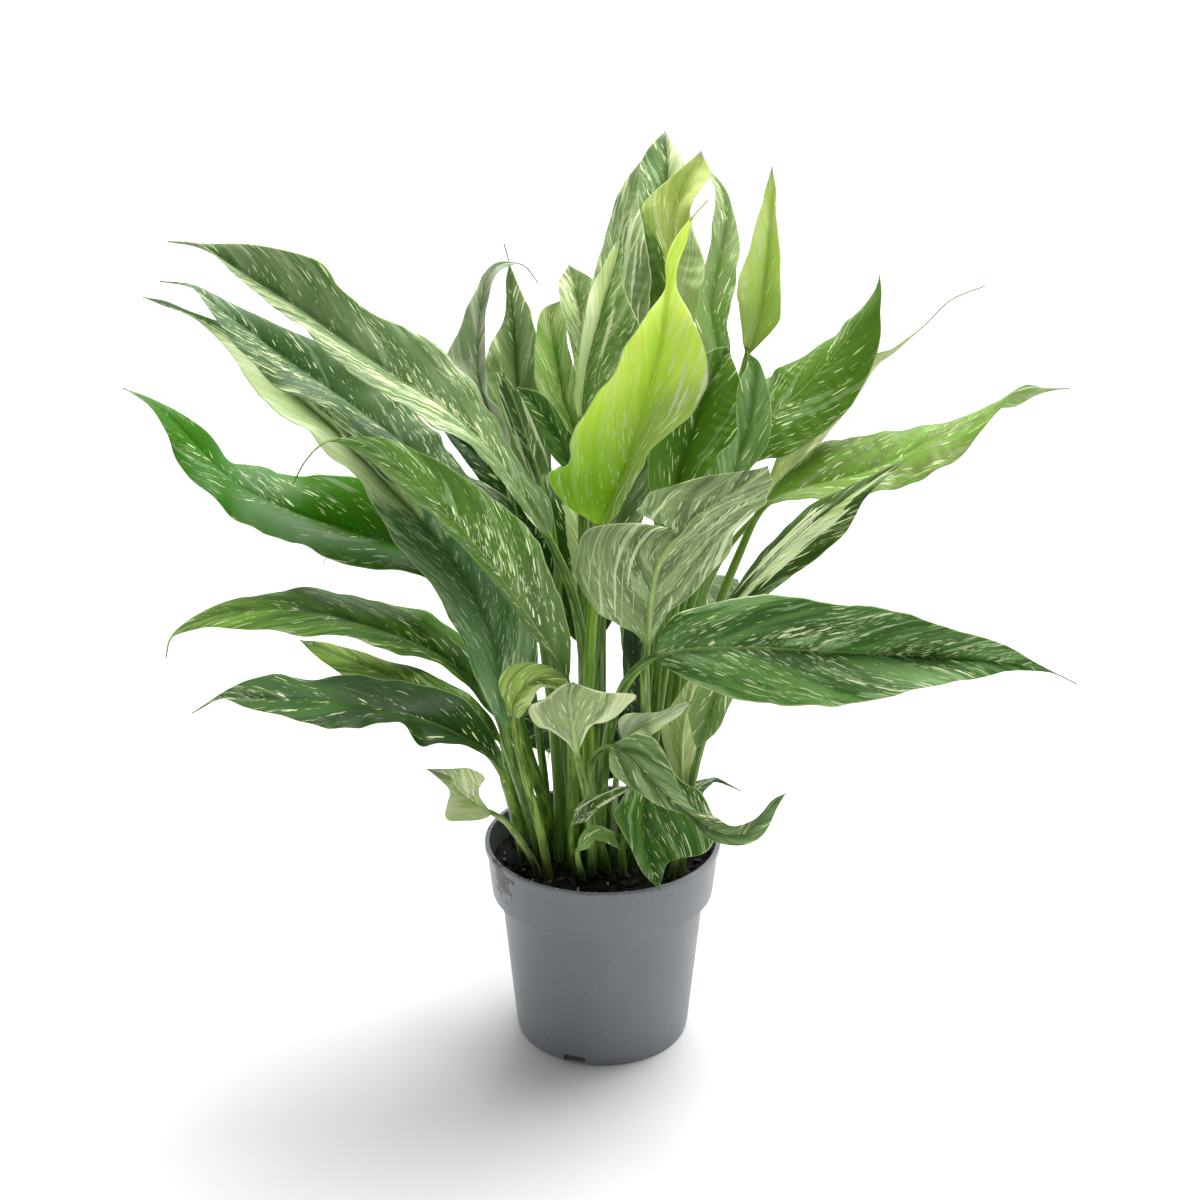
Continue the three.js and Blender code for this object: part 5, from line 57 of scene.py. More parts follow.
# Every leaf from its foot to its drip tip: centre, left margin and right margin from the centre (0.1 mm),
# upper face direction (1/100), stalk or midrib radius (0.01 mm). As in the CAD, with more stations.
LEAVES = {
    "leaf_01": ("leaf_mid", 9, 21, [
        (-131, -107, 907, 0, 0, 0, 0, 0, 0, 79, -61, -3, 354),
        (-126, -108, 1057, 0, 0, 0, 0, 0, 0, 79, -61, -5, 343),
        (-103, -102, 1292, 0, 0, 0, 0, 0, 0, 79, -61, -3, 331),
        (-83, -72, 1508, 0, 0, 0, 0, 0, 0, 79, -61, -6, 320),
        (-69, -100, 1748, 0, 0, 0, 0, 0, 0, 79, -60, -12, 309),
        (-59, -137, 1991, 0, 0, 0, 0, 0, 0, 79, -61, -4, 297),
        (-71, -136, 2216, 0, 0, 0, 0, 0, 0, 79, -61, 9, 286),
        (-94, -120, 2435, 0, 0, 0, 0, 0, 0, 78, -61, 17, 275),
        (-145, -109, 2650, 0, 0, 0, 0, 0, 0, 75, -61, 26, 263),
        (-231, -109, 2859, -5, -7, -2, 5, 7, 2, 73, -61, 31, 216),
        (-330, -124, 3049, -30, -69, -5, 91, 90, 25, 72, -61, 33, 192),
        (-432, -147, 3226, -30, -137, 22, 73, 146, 3, 84, -27, 47, 168),
        (-540, -173, 3395, -41, -194, 28, 68, 178, -2, 80, -19, 57, 146),
        (-674, -206, 3543, -73, -226, 13, 120, 205, 24, 70, -33, 63, 124),
        (-821, -241, 3673, -86, -226, 12, 177, 218, 62, 62, -44, 65, 104),
        (-978, -278, 3788, -73, -231, -5, 189, 217, 102, 61, -50, 62, 85),
        (-1127, -320, 3910, -66, -242, -16, 184, 191, 102, 63, -52, 57, 68),
        (-1272, -367, 4034, -44, -218, -2, 168, 138, 81, 66, -52, 55, 52),
        (-1414, -417, 4160, -30, -176, -3, 168, 94, 100, 62, -63, 46, 37),
        (-1560, -473, 4277, -25, -123, -7, 223, 84, 126, 52, -81, 28, 30),
        (-1705, -526, 4392, 5, -87, -20, 104, 45, 98, 55, -75, 38, 30),
        (-1856, -578, 4496, 26, -47, 15, 7, 27, 14, 42, 11, 90, 30),
        (-1988, -650, 4537, 0, 0, 0, 0, 0, 0, 27, 5, 96, 30),
    ]),
    "leaf_02": ("leaf_dark", 9, 21, [
        (-210, -146, 904, 0, 0, 0, 0, 0, 0, 58, -81, 4, 330),
        (-210, -138, 1053, 0, 0, 0, 0, 0, 0, 58, -81, 9, 320),
        (-207, -106, 1259, 0, 0, 0, 0, 0, 0, 58, -81, 6, 309),
        (-212, -106, 1491, 0, 0, 0, 0, 0, 0, 59, -81, -3, 299),
        (-226, -140, 1741, 0, 0, 0, 0, 0, 0, 60, -79, -11, 288),
        (-241, -199, 1997, 0, 0, 0, 0, 0, 0, 60, -77, -19, 278),
        (-261, -295, 2261, 0, 0, 0, 0, 0, 0, 60, -77, -19, 267),
        (-285, -355, 2502, 0, 0, 0, 0, 0, 0, 59, -81, -1, 256),
        (-328, -350, 2710, 0, 0, 0, 0, 0, 0, 54, -80, 27, 246),
        (-391, -296, 2891, -3, -2, -1, 3, 2, 1, 42, -75, 50, 202),
        (-511, -246, 3020, -111, -73, -56, 79, 113, 69, 32, -73, 61, 179),
        (-654, -218, 3122, -136, -125, -49, 48, 178, 74, 46, -56, 69, 157),
        (-781, -197, 3237, -174, -171, -24, 60, 205, 35, 57, -46, 68, 136),
        (-904, -180, 3355, -184, -204, -19, 115, 209, -1, 57, -45, 69, 116),
        (-1032, -165, 3467, -171, -214, -4, 161, 220, 8, 54, -44, 72, 97),
        (-1163, -154, 3567, -138, -206, 23, 174, 224, 35, 54, -41, 73, 80),
        (-1294, -153, 3667, -83, -206, 19, 168, 211, 46, 57, -39, 73, 63),
        (-1430, -161, 3772, -69, -223, -40, 178, 184, 63, 57, -51, 64, 48),
        (-1567, -184, 3884, -64, -197, -45, 155, 148, 45, 62, -54, 57, 34),
        (-1698, -222, 4006, -34, -167, -47, 85, 103, 31, 66, -46, 59, 30),
        (-1833, -260, 4125, -5, -118, -32, 23, 76, 31, 69, -31, 66, 30),
        (-1964, -292, 4251, 8, -39, 2, -5, 39, 6, 51, 5, 86, 30),
        (-2109, -350, 4292, 0, 0, 0, 0, 0, 0, 28, -2, 96, 30),
    ]),
    "leaf_03": ("leaf_dark", 9, 21, [
        (-299, -131, 904, 0, 0, 0, 0, 0, 0, 35, -93, -10, 413),
        (-304, -149, 1052, 0, 0, 0, 0, 0, 0, 37, -91, -21, 400),
        (-321, -205, 1182, 0, 0, 0, 0, 0, 0, 39, -85, -35, 387),
        (-340, -274, 1312, 0, 0, 0, 0, 0, 0, 39, -83, -40, 373),
        (-359, -347, 1440, 0, 0, 0, 0, 0, 0, 40, -82, -41, 360),
        (-381, -419, 1562, 0, 0, 0, 0, 0, 0, 40, -81, -43, 347),
        (-402, -499, 1685, 0, 0, 0, 0, 0, 0, 40, -80, -44, 334),
        (-423, -575, 1807, 0, 0, 0, 0, 0, 0, 39, -84, -37, 320),
        (-445, -620, 1915, 0, 0, 0, 0, 0, 0, 32, -95, 0, 307),
        (-472, -591, 1992, -2, -1, 0, 2, 1, 0, 25, -76, 60, 252),
        (-506, -434, 2175, -85, -79, 30, 185, 28, 44, 24, -70, 67, 227),
        (-547, -253, 2369, -151, -134, 59, 229, 36, 105, 25, -73, 64, 203),
        (-638, -122, 2579, -176, -169, 78, 260, 5, 116, 27, -80, 53, 180),
        (-772, -49, 2789, -177, -223, 21, 290, -44, 104, 25, -86, 43, 158),
        (-933, -9, 2975, -133, -234, 23, 281, -73, 121, 21, -84, 50, 137),
        (-1088, 69, 3115, -102, -217, 53, 258, -85, 148, 15, -81, 57, 117),
        (-1233, 136, 3257, -98, -205, 44, 236, -106, 141, 12, -87, 48, 98),
        (-1378, 187, 3402, -95, -189, 28, 216, -117, 111, 10, -90, 42, 80),
        (-1535, 235, 3536, -111, -175, -17, 178, -103, 87, 9, -92, 39, 64),
        (-1698, 274, 3681, -96, -128, -28, 108, -56, 77, 11, -91, 41, 48),
        (-1865, 324, 3824, -49, -56, -32, 59, -17, 66, 0, -93, 37, 35),
        (-2056, 375, 3940, -13, -10, -18, 13, 5, 20, -3, -92, 39, 30),
        (-2162, 404, 3985, -5, -4, -10, 5, 4, 10, -7, -91, 41, 30),
        (-2274, 430, 4023, -5, -5, -13, 5, 5, 13, -6, -91, 41, 30),
        (-2389, 450, 4052, 0, 0, 0, 0, 0, 0, -6, -91, 41, 30),
    ]),
    "leaf_04": ("leaf_bright", 9, 21, [
        (-222, 32, 905, 0, 0, 0, 0, 0, 0, 79, -61, 4, 295),
        (-231, 31, 1055, 0, 0, 0, 0, 0, 0, 78, -62, 11, 286),
        (-270, 34, 1250, 0, 0, 0, 0, 0, 0, 76, -62, 19, 276),
        (-323, 36, 1438, 0, 0, 0, 0, 0, 0, 76, -62, 20, 267),
        (-378, 25, 1630, 0, 0, 0, 0, 0, 0, 77, -61, 15, 257),
        (-419, 10, 1827, 0, 0, 0, 0, 0, 0, 78, -61, 12, 248),
        (-460, -4, 2022, 0, 0, 0, 0, 0, 0, 77, -61, 15, 238),
        (-514, -15, 2212, 0, 0, 0, 0, 0, 0, 75, -62, 23, 229),
        (-588, -20, 2392, 0, 0, 0, 0, 0, 0, 70, -62, 34, 219),
        (-680, -12, 2559, -5, -7, -3, 5, 7, 3, 62, -62, 48, 180),
        (-801, 3, 2692, -1, -109, -31, 30, 70, 119, 46, -62, 64, 160),
        (-947, 19, 2781, 31, -177, -71, -2, 105, 219, 25, -68, 69, 140),
        (-1108, 30, 2829, 30, -219, -83, 19, 140, 260, 15, -68, 72, 121),
        (-1268, 45, 2873, 1, -249, -83, 20, 176, 255, 19, -62, 76, 104),
        (-1426, 50, 2925, -20, -268, -70, 12, 214, 209, 28, -49, 82, 87),
        (-1580, 49, 2983, -13, -274, -60, 4, 240, 143, 37, -35, 86, 71),
        (-1728, 46, 3053, -13, -266, -65, 17, 249, 88, 46, -28, 84, 56),
        (-1868, 40, 3137, -27, -244, -68, 28, 227, 42, 60, -25, 76, 43),
        (-1983, 31, 3251, -25, -221, -71, 48, 167, -14, 74, -23, 64, 31),
        (-2083, 16, 3378, -54, -155, -52, 59, 124, 9, 74, -42, 53, 30),
        (-2183, 1, 3503, -25, -88, -27, 27, 72, 21, 71, -41, 58, 30),
        (-2296, -18, 3615, 0, -42, -5, 3, 29, 7, 64, -15, 75, 30),
        (-2410, -50, 3687, 0, 0, 0, 0, 0, 0, 56, -17, 81, 30),
    ]),
    "leaf_05": ("leaf_light", 9, 21, [
        (-140, -210, 905, 0, 0, 0, 0, 0, 0, -58, -81, -5, 354),
        (-137, -222, 1053, 0, 0, 0, 0, 0, 0, -58, -80, -16, 343),
        (-129, -281, 1226, 0, 0, 0, 0, 0, 0, -59, -75, -28, 331),
        (-126, -359, 1396, 0, 0, 0, 0, 0, 0, -60, -73, -34, 320),
        (-125, -445, 1567, 0, 0, 0, 0, 0, 0, -60, -72, -36, 309),
        (-123, -532, 1736, 0, 0, 0, 0, 0, 0, -60, -71, -38, 297),
        (-123, -623, 1897, 0, 0, 0, 0, 0, 0, -60, -70, -40, 286),
        (-125, -709, 2051, 0, 0, 0, 0, 0, 0, -60, -70, -39, 275),
        (-130, -788, 2201, 0, 0, 0, 0, 0, 0, -60, -71, -37, 263),
        (-137, -858, 2353, 0, 0, 0, 0, 0, 0, -59, -70, -39, 216),
        (-176, -924, 2513, -36, 56, 10, 49, -18, 13, -57, -67, -48, 193),
        (-238, -997, 2664, -61, 101, -17, 114, -66, 65, -43, -72, -55, 171),
        (-306, -1073, 2810, -58, 149, -56, 155, -114, 107, -43, -70, -57, 150),
        (-376, -1147, 2953, -57, 178, -70, 188, -126, 110, -45, -69, -56, 130),
        (-449, -1207, 3090, -58, 186, -71, 218, -121, 116, -43, -72, -55, 111),
        (-527, -1261, 3221, -63, 183, -80, 240, -105, 118, -38, -76, -53, 93),
        (-607, -1311, 3351, -72, 174, -86, 236, -94, 107, -35, -78, -53, 76),
        (-695, -1359, 3476, -69, 159, -90, 222, -100, 83, -35, -76, -55, 61),
        (-788, -1406, 3596, -66, 136, -90, 183, -104, 74, -35, -75, -57, 46),
        (-893, -1440, 3704, -65, 112, -78, 126, -104, 72, -33, -72, -61, 33),
        (-1015, -1470, 3792, -45, 87, -62, 78, -91, 63, -18, -64, -75, 30),
        (-1158, -1503, 3820, -11, 37, -14, 18, -36, 14, 25, -26, -93, 30),
        (-1255, -1552, 3751, 0, 2, -1, 0, -2, 1, 74, -3, -67, 30),
        (-1315, -1600, 3651, 0, 0, 0, 0, 0, 0, 85, 5, -52, 30),
    ]),
    "leaf_06": ("leaf_mid", 9, 21, [
        (-283, -37, 906, 0, 0, 0, 0, 0, 0, 96, -27, -3, 319),
        (-281, -49, 1055, 0, 0, 0, 0, 0, 0, 96, -25, -10, 308),
        (-273, -107, 1188, 0, 0, 0, 0, 0, 0, 96, -24, -13, 298),
        (-274, -166, 1317, 0, 0, 0, 0, 0, 0, 96, -28, -4, 288),
        (-290, -204, 1430, 0, 0, 0, 0, 0, 0, 94, -32, 8, 278),
        (-317, -240, 1533, 0, 0, 0, 0, 0, 0, 94, -33, 11, 268),
        (-346, -292, 1640, 0, 0, 0, 0, 0, 0, 94, -33, 11, 257),
        (-376, -342, 1744, 0, 0, 0, 0, 0, 0, 93, -35, 14, 247),
        (-411, -380, 1841, 0, 0, 0, 0, 0, 0, 89, -38, 25, 237),
        (-452, -395, 1929, 0, -1, 0, 0, 1, 0, 79, -37, 48, 194),
        (-541, -359, 2070, -23, -93, 7, 52, 93, 25, 69, -34, 64, 172),
        (-657, -319, 2189, -24, -134, 31, 76, 162, 43, 62, -24, 75, 151),
        (-790, -293, 2295, -23, -169, 43, 86, 214, 60, 54, -19, 82, 131),
        (-936, -289, 2381, 2, -208, 15, 79, 237, 63, 48, -18, 86, 112),
        (-1087, -315, 2456, 31, -239, -9, 64, 236, 50, 43, -14, 89, 94),
        (-1240, -336, 2518, 49, -238, -12, 59, 237, 33, 35, -9, 93, 77),
        (-1396, -347, 2568, 51, -226, -26, 46, 241, 41, 25, -13, 96, 61),
        (-1557, -356, 2598, 45, -225, -45, 27, 214, 40, 11, -19, 98, 46),
        (-1719, -366, 2602, 32, -201, -43, 12, 176, 25, -1, -18, 98, 33),
        (-1881, -375, 2590, 27, -157, -26, 6, 142, 19, -15, -16, 98, 30),
        (-2037, -392, 2550, 18, -99, -4, -4, 104, 13, -35, -12, 93, 30),
        (-2178, -417, 2475, 4, -39, 6, -4, 40, 1, -72, -4, 69, 30),
        (-2211, -450, 2367, 0, 0, 0, 0, 0, 0, -94, -13, 32, 30),
    ]),
    "leaf_07": ("leaf_light", 9, 21, [
        (-388, -25, 906, 0, 0, 0, 0, 0, 0, 95, -30, 4, 260),
        (-400, -45, 1050, 0, 0, 0, 0, 0, 0, 96, -29, 1, 251),
        (-421, -127, 1188, 0, 0, 0, 0, 0, 0, 97, -26, -5, 243),
        (-431, -210, 1320, 0, 0, 0, 0, 0, 0, 97, -24, -8, 235),
        (-440, -287, 1442, 0, 0, 0, 0, 0, 0, 97, -24, -8, 226),
        (-448, -356, 1553, 0, 0, 0, 0, 0, 0, 97, -24, -7, 218),
        (-456, -412, 1652, 0, 0, 0, 0, 0, 0, 97, -25, -5, 210),
        (-466, -461, 1748, 0, 0, 0, 0, 0, 0, 96, -26, -3, 201),
        (-476, -501, 1837, 0, 0, 0, 0, 0, 0, 96, -28, 1, 193),
        (-487, -530, 1920, 0, 0, 0, 0, 0, 0, 90, -36, 25, 158),
        (-546, -552, 2015, -12, -48, -25, 12, 51, 27, 80, -42, 44, 140),
        (-614, -581, 2103, -20, -78, -24, 19, 76, 24, 77, -36, 52, 123),
        (-687, -616, 2178, -27, -105, -12, 25, 102, 13, 68, -25, 68, 107),
        (-766, -649, 2230, -39, -132, 1, 33, 131, 9, 45, -15, 88, 91),
        (-849, -632, 2257, -58, -137, 2, 45, 139, 17, 17, -12, 98, 76),
        (-936, -572, 2267, -60, -130, -8, 42, 131, 29, -3, -13, 99, 63),
        (-1025, -495, 2270, -59, -128, -16, 36, 125, 30, -7, -15, 99, 50),
        (-1113, -426, 2277, -57, -130, -21, 31, 119, 22, -1, -17, 99, 38),
        (-1201, -372, 2290, -50, -126, -27, 31, 110, 15, 5, -19, 98, 30),
        (-1288, -329, 2304, -40, -105, -25, 36, 99, 11, 8, -20, 98, 30),
        (-1375, -287, 2322, -34, -80, -19, 35, 81, 9, 12, -22, 97, 30),
        (-1460, -243, 2345, -25, -50, -15, 24, 50, 9, 10, -28, 95, 30),
        (-1560, -200, 2367, 0, 0, 0, 0, 0, 0, 10, -28, 96, 30),
    ]),
    "leaf_08": ("leaf_dark", 9, 21, [
        (-393, -155, 905, 0, 0, 0, 0, 0, 0, 100, -1, 2, 330),
        (-396, -177, 1050, 0, 0, 0, 0, 0, 0, 100, -2, 5, 320),
        (-407, -246, 1171, 0, 0, 0, 0, 0, 0, 100, -4, 8, 309),
        (-419, -323, 1284, 0, 0, 0, 0, 0, 0, 100, -3, 7, 299),
        (-428, -408, 1393, 0, 0, 0, 0, 0, 0, 100, -2, 6, 288),
        (-435, -493, 1500, 0, 0, 0, 0, 0, 0, 100, -2, 6, 278),
        (-443, -582, 1606, 0, 0, 0, 0, 0, 0, 100, -2, 6, 267),
        (-453, -673, 1712, 0, 0, 0, 0, 0, 0, 100, -3, 7, 256),
        (-465, -761, 1814, 0, 0, 0, 0, 0, 0, 99, -5, 9, 246),
        (-479, -836, 1910, 0, -1, -1, 0, 1, 1, 95, -15, 28, 202),
        (-547, -878, 2032, 13, -60, -5, 22, 91, 50, 79, -25, 56, 179),
        (-648, -907, 2118, -5, -118, 22, 45, 158, 68, 62, -24, 75, 157),
        (-754, -923, 2189, -7, -176, 0, 75, 200, 80, 50, -28, 82, 136),
        (-867, -935, 2242, 5, -234, -29, 69, 213, 83, 39, -28, 88, 116),
        (-983, -939, 2284, 62, -223, 6, 14, 242, 55, 29, -7, 95, 97),
        (-1102, -946, 2314, 81, -216, 13, -3, 246, 41, 21, -2, 98, 80),
        (-1222, -957, 2335, 85, -229, -23, -23, 228, 48, 17, -11, 98, 63),
        (-1343, -972, 2352, 77, -225, -42, -24, 200, 45, 15, -16, 98, 48),
        (-1463, -992, 2365, 69, -192, -32, -23, 179, 51, 15, -18, 97, 34),
        (-1581, -1014, 2380, 47, -148, -23, -16, 158, 68, 16, -25, 95, 30),
        (-1700, -1035, 2394, 26, -99, -5, -13, 106, 48, 14, -22, 97, 30),
        (-1819, -1056, 2405, 7, -40, 20, -6, 41, 3, -23, 16, 96, 30),
        (-1949, -1100, 2346, 0, 0, 0, 0, 0, 0, -44, 10, 89, 30),
    ]),
    "leaf_09": ("leaf_pale", 6, 14, [
        (-317, -266, 905, 0, 0, 0, 0, 0, 0, 97, 21, 9, 209),
        (-327, -285, 1050, 0, 0, 0, 0, 0, 0, 96, 17, 21, 201),
        (-360, -356, 1178, 0, 0, 0, 0, 0, 0, 94, 10, 33, 193),
        (-397, -441, 1296, 0, 0, 0, 0, 0, 0, 93, 8, 36, 185),
        (-435, -524, 1409, 0, 0, 0, 0, 0, 0, 92, 6, 38, 177),
        (-476, -602, 1510, 0, 0, 0, 0, 0, 0, 88, -1, 47, 169),
        (-533, -670, 1589, 0, 0, 0, 0, 0, 0, 84, -7, 54, 137),
        (-569, -725, 1639, 14, -40, -23, -8, 31, 21, 84, -8, 54, 115),
        (-600, -763, 1679, 7, -74, -41, 1, 56, 39, 85, -24, 46, 94),
        (-629, -791, 1716, -14, -99, -55, 31, 71, 52, 83, -43, 35, 74),
        (-657, -815, 1751, -37, -117, -71, 73, 73, 53, 78, -59, 20, 57),
        (-682, -838, 1787, -61, -125, -89, 115, 72, 49, 73, -68, 3, 41),
        (-705, -864, 1828, -54, -110, -88, 119, 60, 57, 74, -66, -10, 30),
        (-722, -895, 1873, -23, -82, -69, 76, 43, 63, 85, -51, -15, 30),
        (-730, -935, 1926, -5, -52, -42, 29, 22, 37, 73, -63, 27, 30),
        (-838, -980, 1991, 0, 0, 0, 0, 0, 0, 55, -72, 42, 30),
    ]),
    "leaf_10": ("leaf_grey", 9, 21, [
        (-170, 101, 904, 0, 0, 0, 0, 0, 0, -6, -100, 2, 248),
        (-174, 104, 1054, 0, 0, 0, 0, 0, 0, -6, -100, 0, 240),
        (-197, 104, 1311, 0, 0, 0, 0, 0, 0, -5, -99, -10, 232),
        (-219, 50, 1607, 0, 0, 0, 0, 0, 0, -5, -100, -6, 224),
        (-242, 72, 1868, 0, 0, 0, 0, 0, 0, -8, -98, 18, 216),
        (-266, 144, 2110, 0, 0, 0, 0, 0, 0, -9, -96, 26, 208),
        (-306, 210, 2355, 0, 0, 0, 0, 0, 0, -8, -97, 24, 200),
        (-363, 271, 2597, 0, 0, 0, 0, 0, 0, -8, -97, 22, 192),
        (-434, 331, 2834, 0, 0, 0, 0, 0, 0, -8, -97, 24, 184),
        (-488, 399, 3072, -1, 0, 0, 1, 0, 0, -9, -96, 26, 151),
        (-514, 435, 3187, -93, -28, -6, 53, -33, 26, -10, -94, 32, 135),
        (-539, 474, 3280, -152, -43, 4, 66, -54, 42, -12, -91, 39, 120),
        (-569, 520, 3367, -182, -52, 30, 59, -61, 39, -5, -89, 46, 105),
        (-601, 568, 3452, -194, -61, 64, 54, -59, 6, 13, -84, 53, 91),
        (-636, 615, 3535, -189, -71, 101, 47, -60, -48, 37, -77, 52, 78),
        (-652, 661, 3625, -171, -85, 54, 51, -48, -20, 29, -85, 45, 65),
        (-652, 705, 3716, -132, -85, 41, 47, -33, -4, 35, -85, 40, 53),
        (-647, 748, 3808, -96, -68, 33, 40, -19, 1, 39, -84, 37, 42),
        (-639, 790, 3899, -72, -44, 35, 33, -14, -3, 37, -85, 36, 32),
        (-625, 835, 3988, -35, -9, 25, 39, -24, -9, 4, -88, 47, 30),
        (-596, 884, 4073, -21, 2, 24, 30, -29, -10, -7, -79, 61, 30),
        (-532, 938, 4134, -5, 6, 15, 20, -31, -15, 9, -59, 80, 30),
        (-408, 981, 4123, 0, 1, 0, 0, -1, 0, 54, -27, 80, 30),
        (-326, 1000, 4018, 0, 0, 0, 0, 0, 0, 79, -16, 59, 30),
    ]),
    "leaf_11": ("leaf_mid", 9, 21, [
        (-125, 220, 901, 0, 0, 0, 0, 0, 0, -2, -100, 3, 271),
        (-137, 225, 1050, 0, 0, 0, 0, 0, 0, -5, -98, 19, 263),
        (-184, 285, 1229, 0, 0, 0, 0, 0, 0, -3, -100, 8, 254),
        (-203, 261, 1456, 0, 0, 0, 0, 0, 0, -2, -99, -12, 245),
        (-213, 227, 1711, 0, 0, 0, 0, 0, 0, -3, -100, 5, 237),
        (-220, 286, 1925, 0, 0, 0, 0, 0, 0, -3, -96, 26, 228),
        (-224, 345, 2139, 0, 0, 0, 0, 0, 0, -3, -97, 24, 219),
        (-232, 395, 2355, 0, 0, 0, 0, 0, 0, -3, -97, 23, 211),
        (-250, 446, 2568, 0, 0, 0, 0, 0, 0, -4, -96, 26, 202),
        (-282, 510, 2774, 0, 0, 0, 0, 0, 0, -5, -94, 33, 166),
        (-312, 564, 2893, -60, -24, 4, 59, -21, 32, -8, -90, 43, 148),
        (-341, 623, 2996, -107, -62, 28, 95, -56, 85, -11, -87, 48, 131),
        (-369, 681, 3096, -141, -101, 51, 119, -90, 116, -8, -88, 47, 115),
        (-395, 734, 3196, -158, -136, 57, 133, -124, 117, -4, -91, 41, 100),
        (-417, 775, 3301, -167, -162, 48, 129, -143, 105, -1, -93, 37, 85),
        (-432, 817, 3405, -176, -169, 39, 122, -152, 88, -1, -92, 39, 72),
        (-443, 864, 3508, -184, -159, 39, 118, -156, 69, -3, -91, 42, 59),
        (-451, 913, 3610, -175, -141, 12, 123, -149, 62, -10, -90, 43, 46),
        (-460, 962, 3711, -128, -94, -6, 130, -130, 57, -22, -88, 41, 35),
        (-469, 1011, 3812, -55, -29, -5, 113, -105, 45, -47, -81, 35, 30),
        (-480, 1060, 3913, -28, -8, 0, 70, -52, 25, -46, -81, 36, 30),
        (-486, 1109, 4014, -24, -7, 1, 34, -16, 10, -19, -89, 42, 30),
        (-493, 1155, 4108, -1, 0, 0, 1, 0, 0, -19, -89, 41, 30),
        (-521, 1200, 4199, 0, 0, 0, 0, 0, 0, -19, -90, 39, 30),
    ]),
    "leaf_12": ("leaf_light", 9, 21, [
        (-28, 97, 905, 0, 0, 0, 0, 0, 0, 30, -95, 3, 248),
        (-36, 99, 1055, 0, 0, 0, 0, 0, 0, 30, -95, 10, 240),
        (-60, 131, 1321, 0, 0, 0, 0, 0, 0, 29, -94, 14, 232),
        (-61, 172, 1583, 0, 0, 0, 0, 0, 0, 30, -95, 9, 224),
        (-60, 181, 1862, 0, 0, 0, 0, 0, 0, 30, -95, 3, 216),
        (-60, 191, 2141, 0, 0, 0, 0, 0, 0, 30, -95, 5, 208),
        (-60, 213, 2414, 0, 0, 0, 0, 0, 0, 30, -95, 9, 200),
        (-61, 242, 2683, 0, 0, 0, 0, 0, 0, 30, -95, 12, 192),
        (-64, 278, 2944, 0, 0, 0, 0, 0, 0, 29, -94, 17, 184),
        (-80, 326, 3199, 0, 0, 0, 0, 0, 0, 29, -94, 17, 151),
        (-99, 329, 3292, -50, -34, -2, 30, -8, 6, 30, -94, 13, 134),
        (-119, 336, 3359, -84, -68, -5, 54, -17, 17, 30, -93, 23, 118),
        (-139, 349, 3422, -105, -94, -4, 75, -35, 32, 25, -92, 29, 102),
        (-162, 363, 3483, -114, -113, 4, 95, -52, 39, 22, -93, 30, 87),
        (-181, 379, 3544, -118, -122, 12, 105, -64, 34, 22, -93, 29, 73),
        (-193, 394, 3606, -121, -127, 15, 100, -66, 24, 25, -93, 27, 60),
        (-202, 409, 3668, -121, -125, 14, 90, -59, 15, 29, -92, 27, 47),
        (-213, 425, 3730, -111, -112, 9, 81, -49, 10, 30, -91, 28, 36),
        (-226, 440, 3791, -100, -89, 8, 76, -42, 5, 25, -93, 28, 30),
        (-238, 455, 3853, -85, -56, 11, 79, -43, 2, 9, -96, 26, 30),
        (-248, 471, 3914, -67, -34, 17, 87, -40, -6, 0, -97, 26, 30),
        (-237, 488, 3975, -42, -15, 17, 65, -27, -13, -4, -96, 28, 30),
        (-195, 500, 4020, 0, 0, 0, 0, 0, 0, -3, -96, 28, 30),
    ]),
    "leaf_13": ("leaf_pale", 9, 21, [
        (22, 158, 906, 0, 0, 0, 0, 0, 0, -2, -100, 3, 236),
        (9, 162, 1055, 0, 0, 0, 0, 0, 0, -3, -100, 9, 228),
        (-29, 200, 1347, 0, 0, 0, 0, 0, 0, -4, -97, 24, 221),
        (-31, 301, 1609, 0, 0, 0, 0, 0, 0, -4, -96, 26, 213),
        (-27, 351, 1897, 0, 0, 0, 0, 0, 0, -4, -99, 13, 206),
        (-21, 379, 2195, 0, 0, 0, 0, 0, 0, -4, -99, 12, 198),
        (-11, 423, 2485, 0, 0, 0, 0, 0, 0, -4, -98, 17, 191),
        (2, 479, 2767, 0, 0, 0, 0, 0, 0, -4, -97, 22, 183),
        (12, 548, 3041, 0, 0, 0, 0, 0, 0, -4, -96, 27, 176),
        (5, 632, 3308, 0, 0, 0, 0, 0, 0, -4, -95, 32, 144),
        (-7, 667, 3395, -46, -19, 5, 51, -22, 13, -6, -89, 45, 128),
        (-18, 708, 3455, -78, -35, 8, 89, -44, 35, -14, -81, 58, 112),
        (-29, 754, 3511, -89, -48, 9, 111, -63, 51, -19, -76, 62, 97),
        (-38, 803, 3566, -86, -59, 8, 125, -84, 57, -23, -74, 63, 83),
        (-47, 852, 3621, -81, -66, 7, 134, -99, 60, -27, -74, 62, 70),
        (-57, 900, 3675, -82, -73, 7, 137, -105, 61, -26, -75, 61, 57),
        (-68, 948, 3729, -86, -82, 6, 138, -102, 63, -22, -75, 62, 45),
        (-80, 996, 3782, -89, -88, 8, 138, -90, 65, -17, -76, 63, 34),
        (-94, 1043, 3835, -92, -85, 19, 135, -71, 62, -8, -75, 65, 30),
        (-108, 1090, 3888, -95, -79, 32, 129, -48, 52, 4, -73, 68, 30),
        (-122, 1138, 3940, -92, -65, 31, 118, -26, 41, 10, -71, 69, 30),
        (-135, 1188, 3993, -77, -41, 17, 94, -6, 26, 12, -74, 66, 30),
        (-158, 1250, 4072, 0, 0, 0, 0, 0, 0, 13, -76, 63, 30),
    ]),
    "leaf_14": ("leaf_pale", 9, 21, [
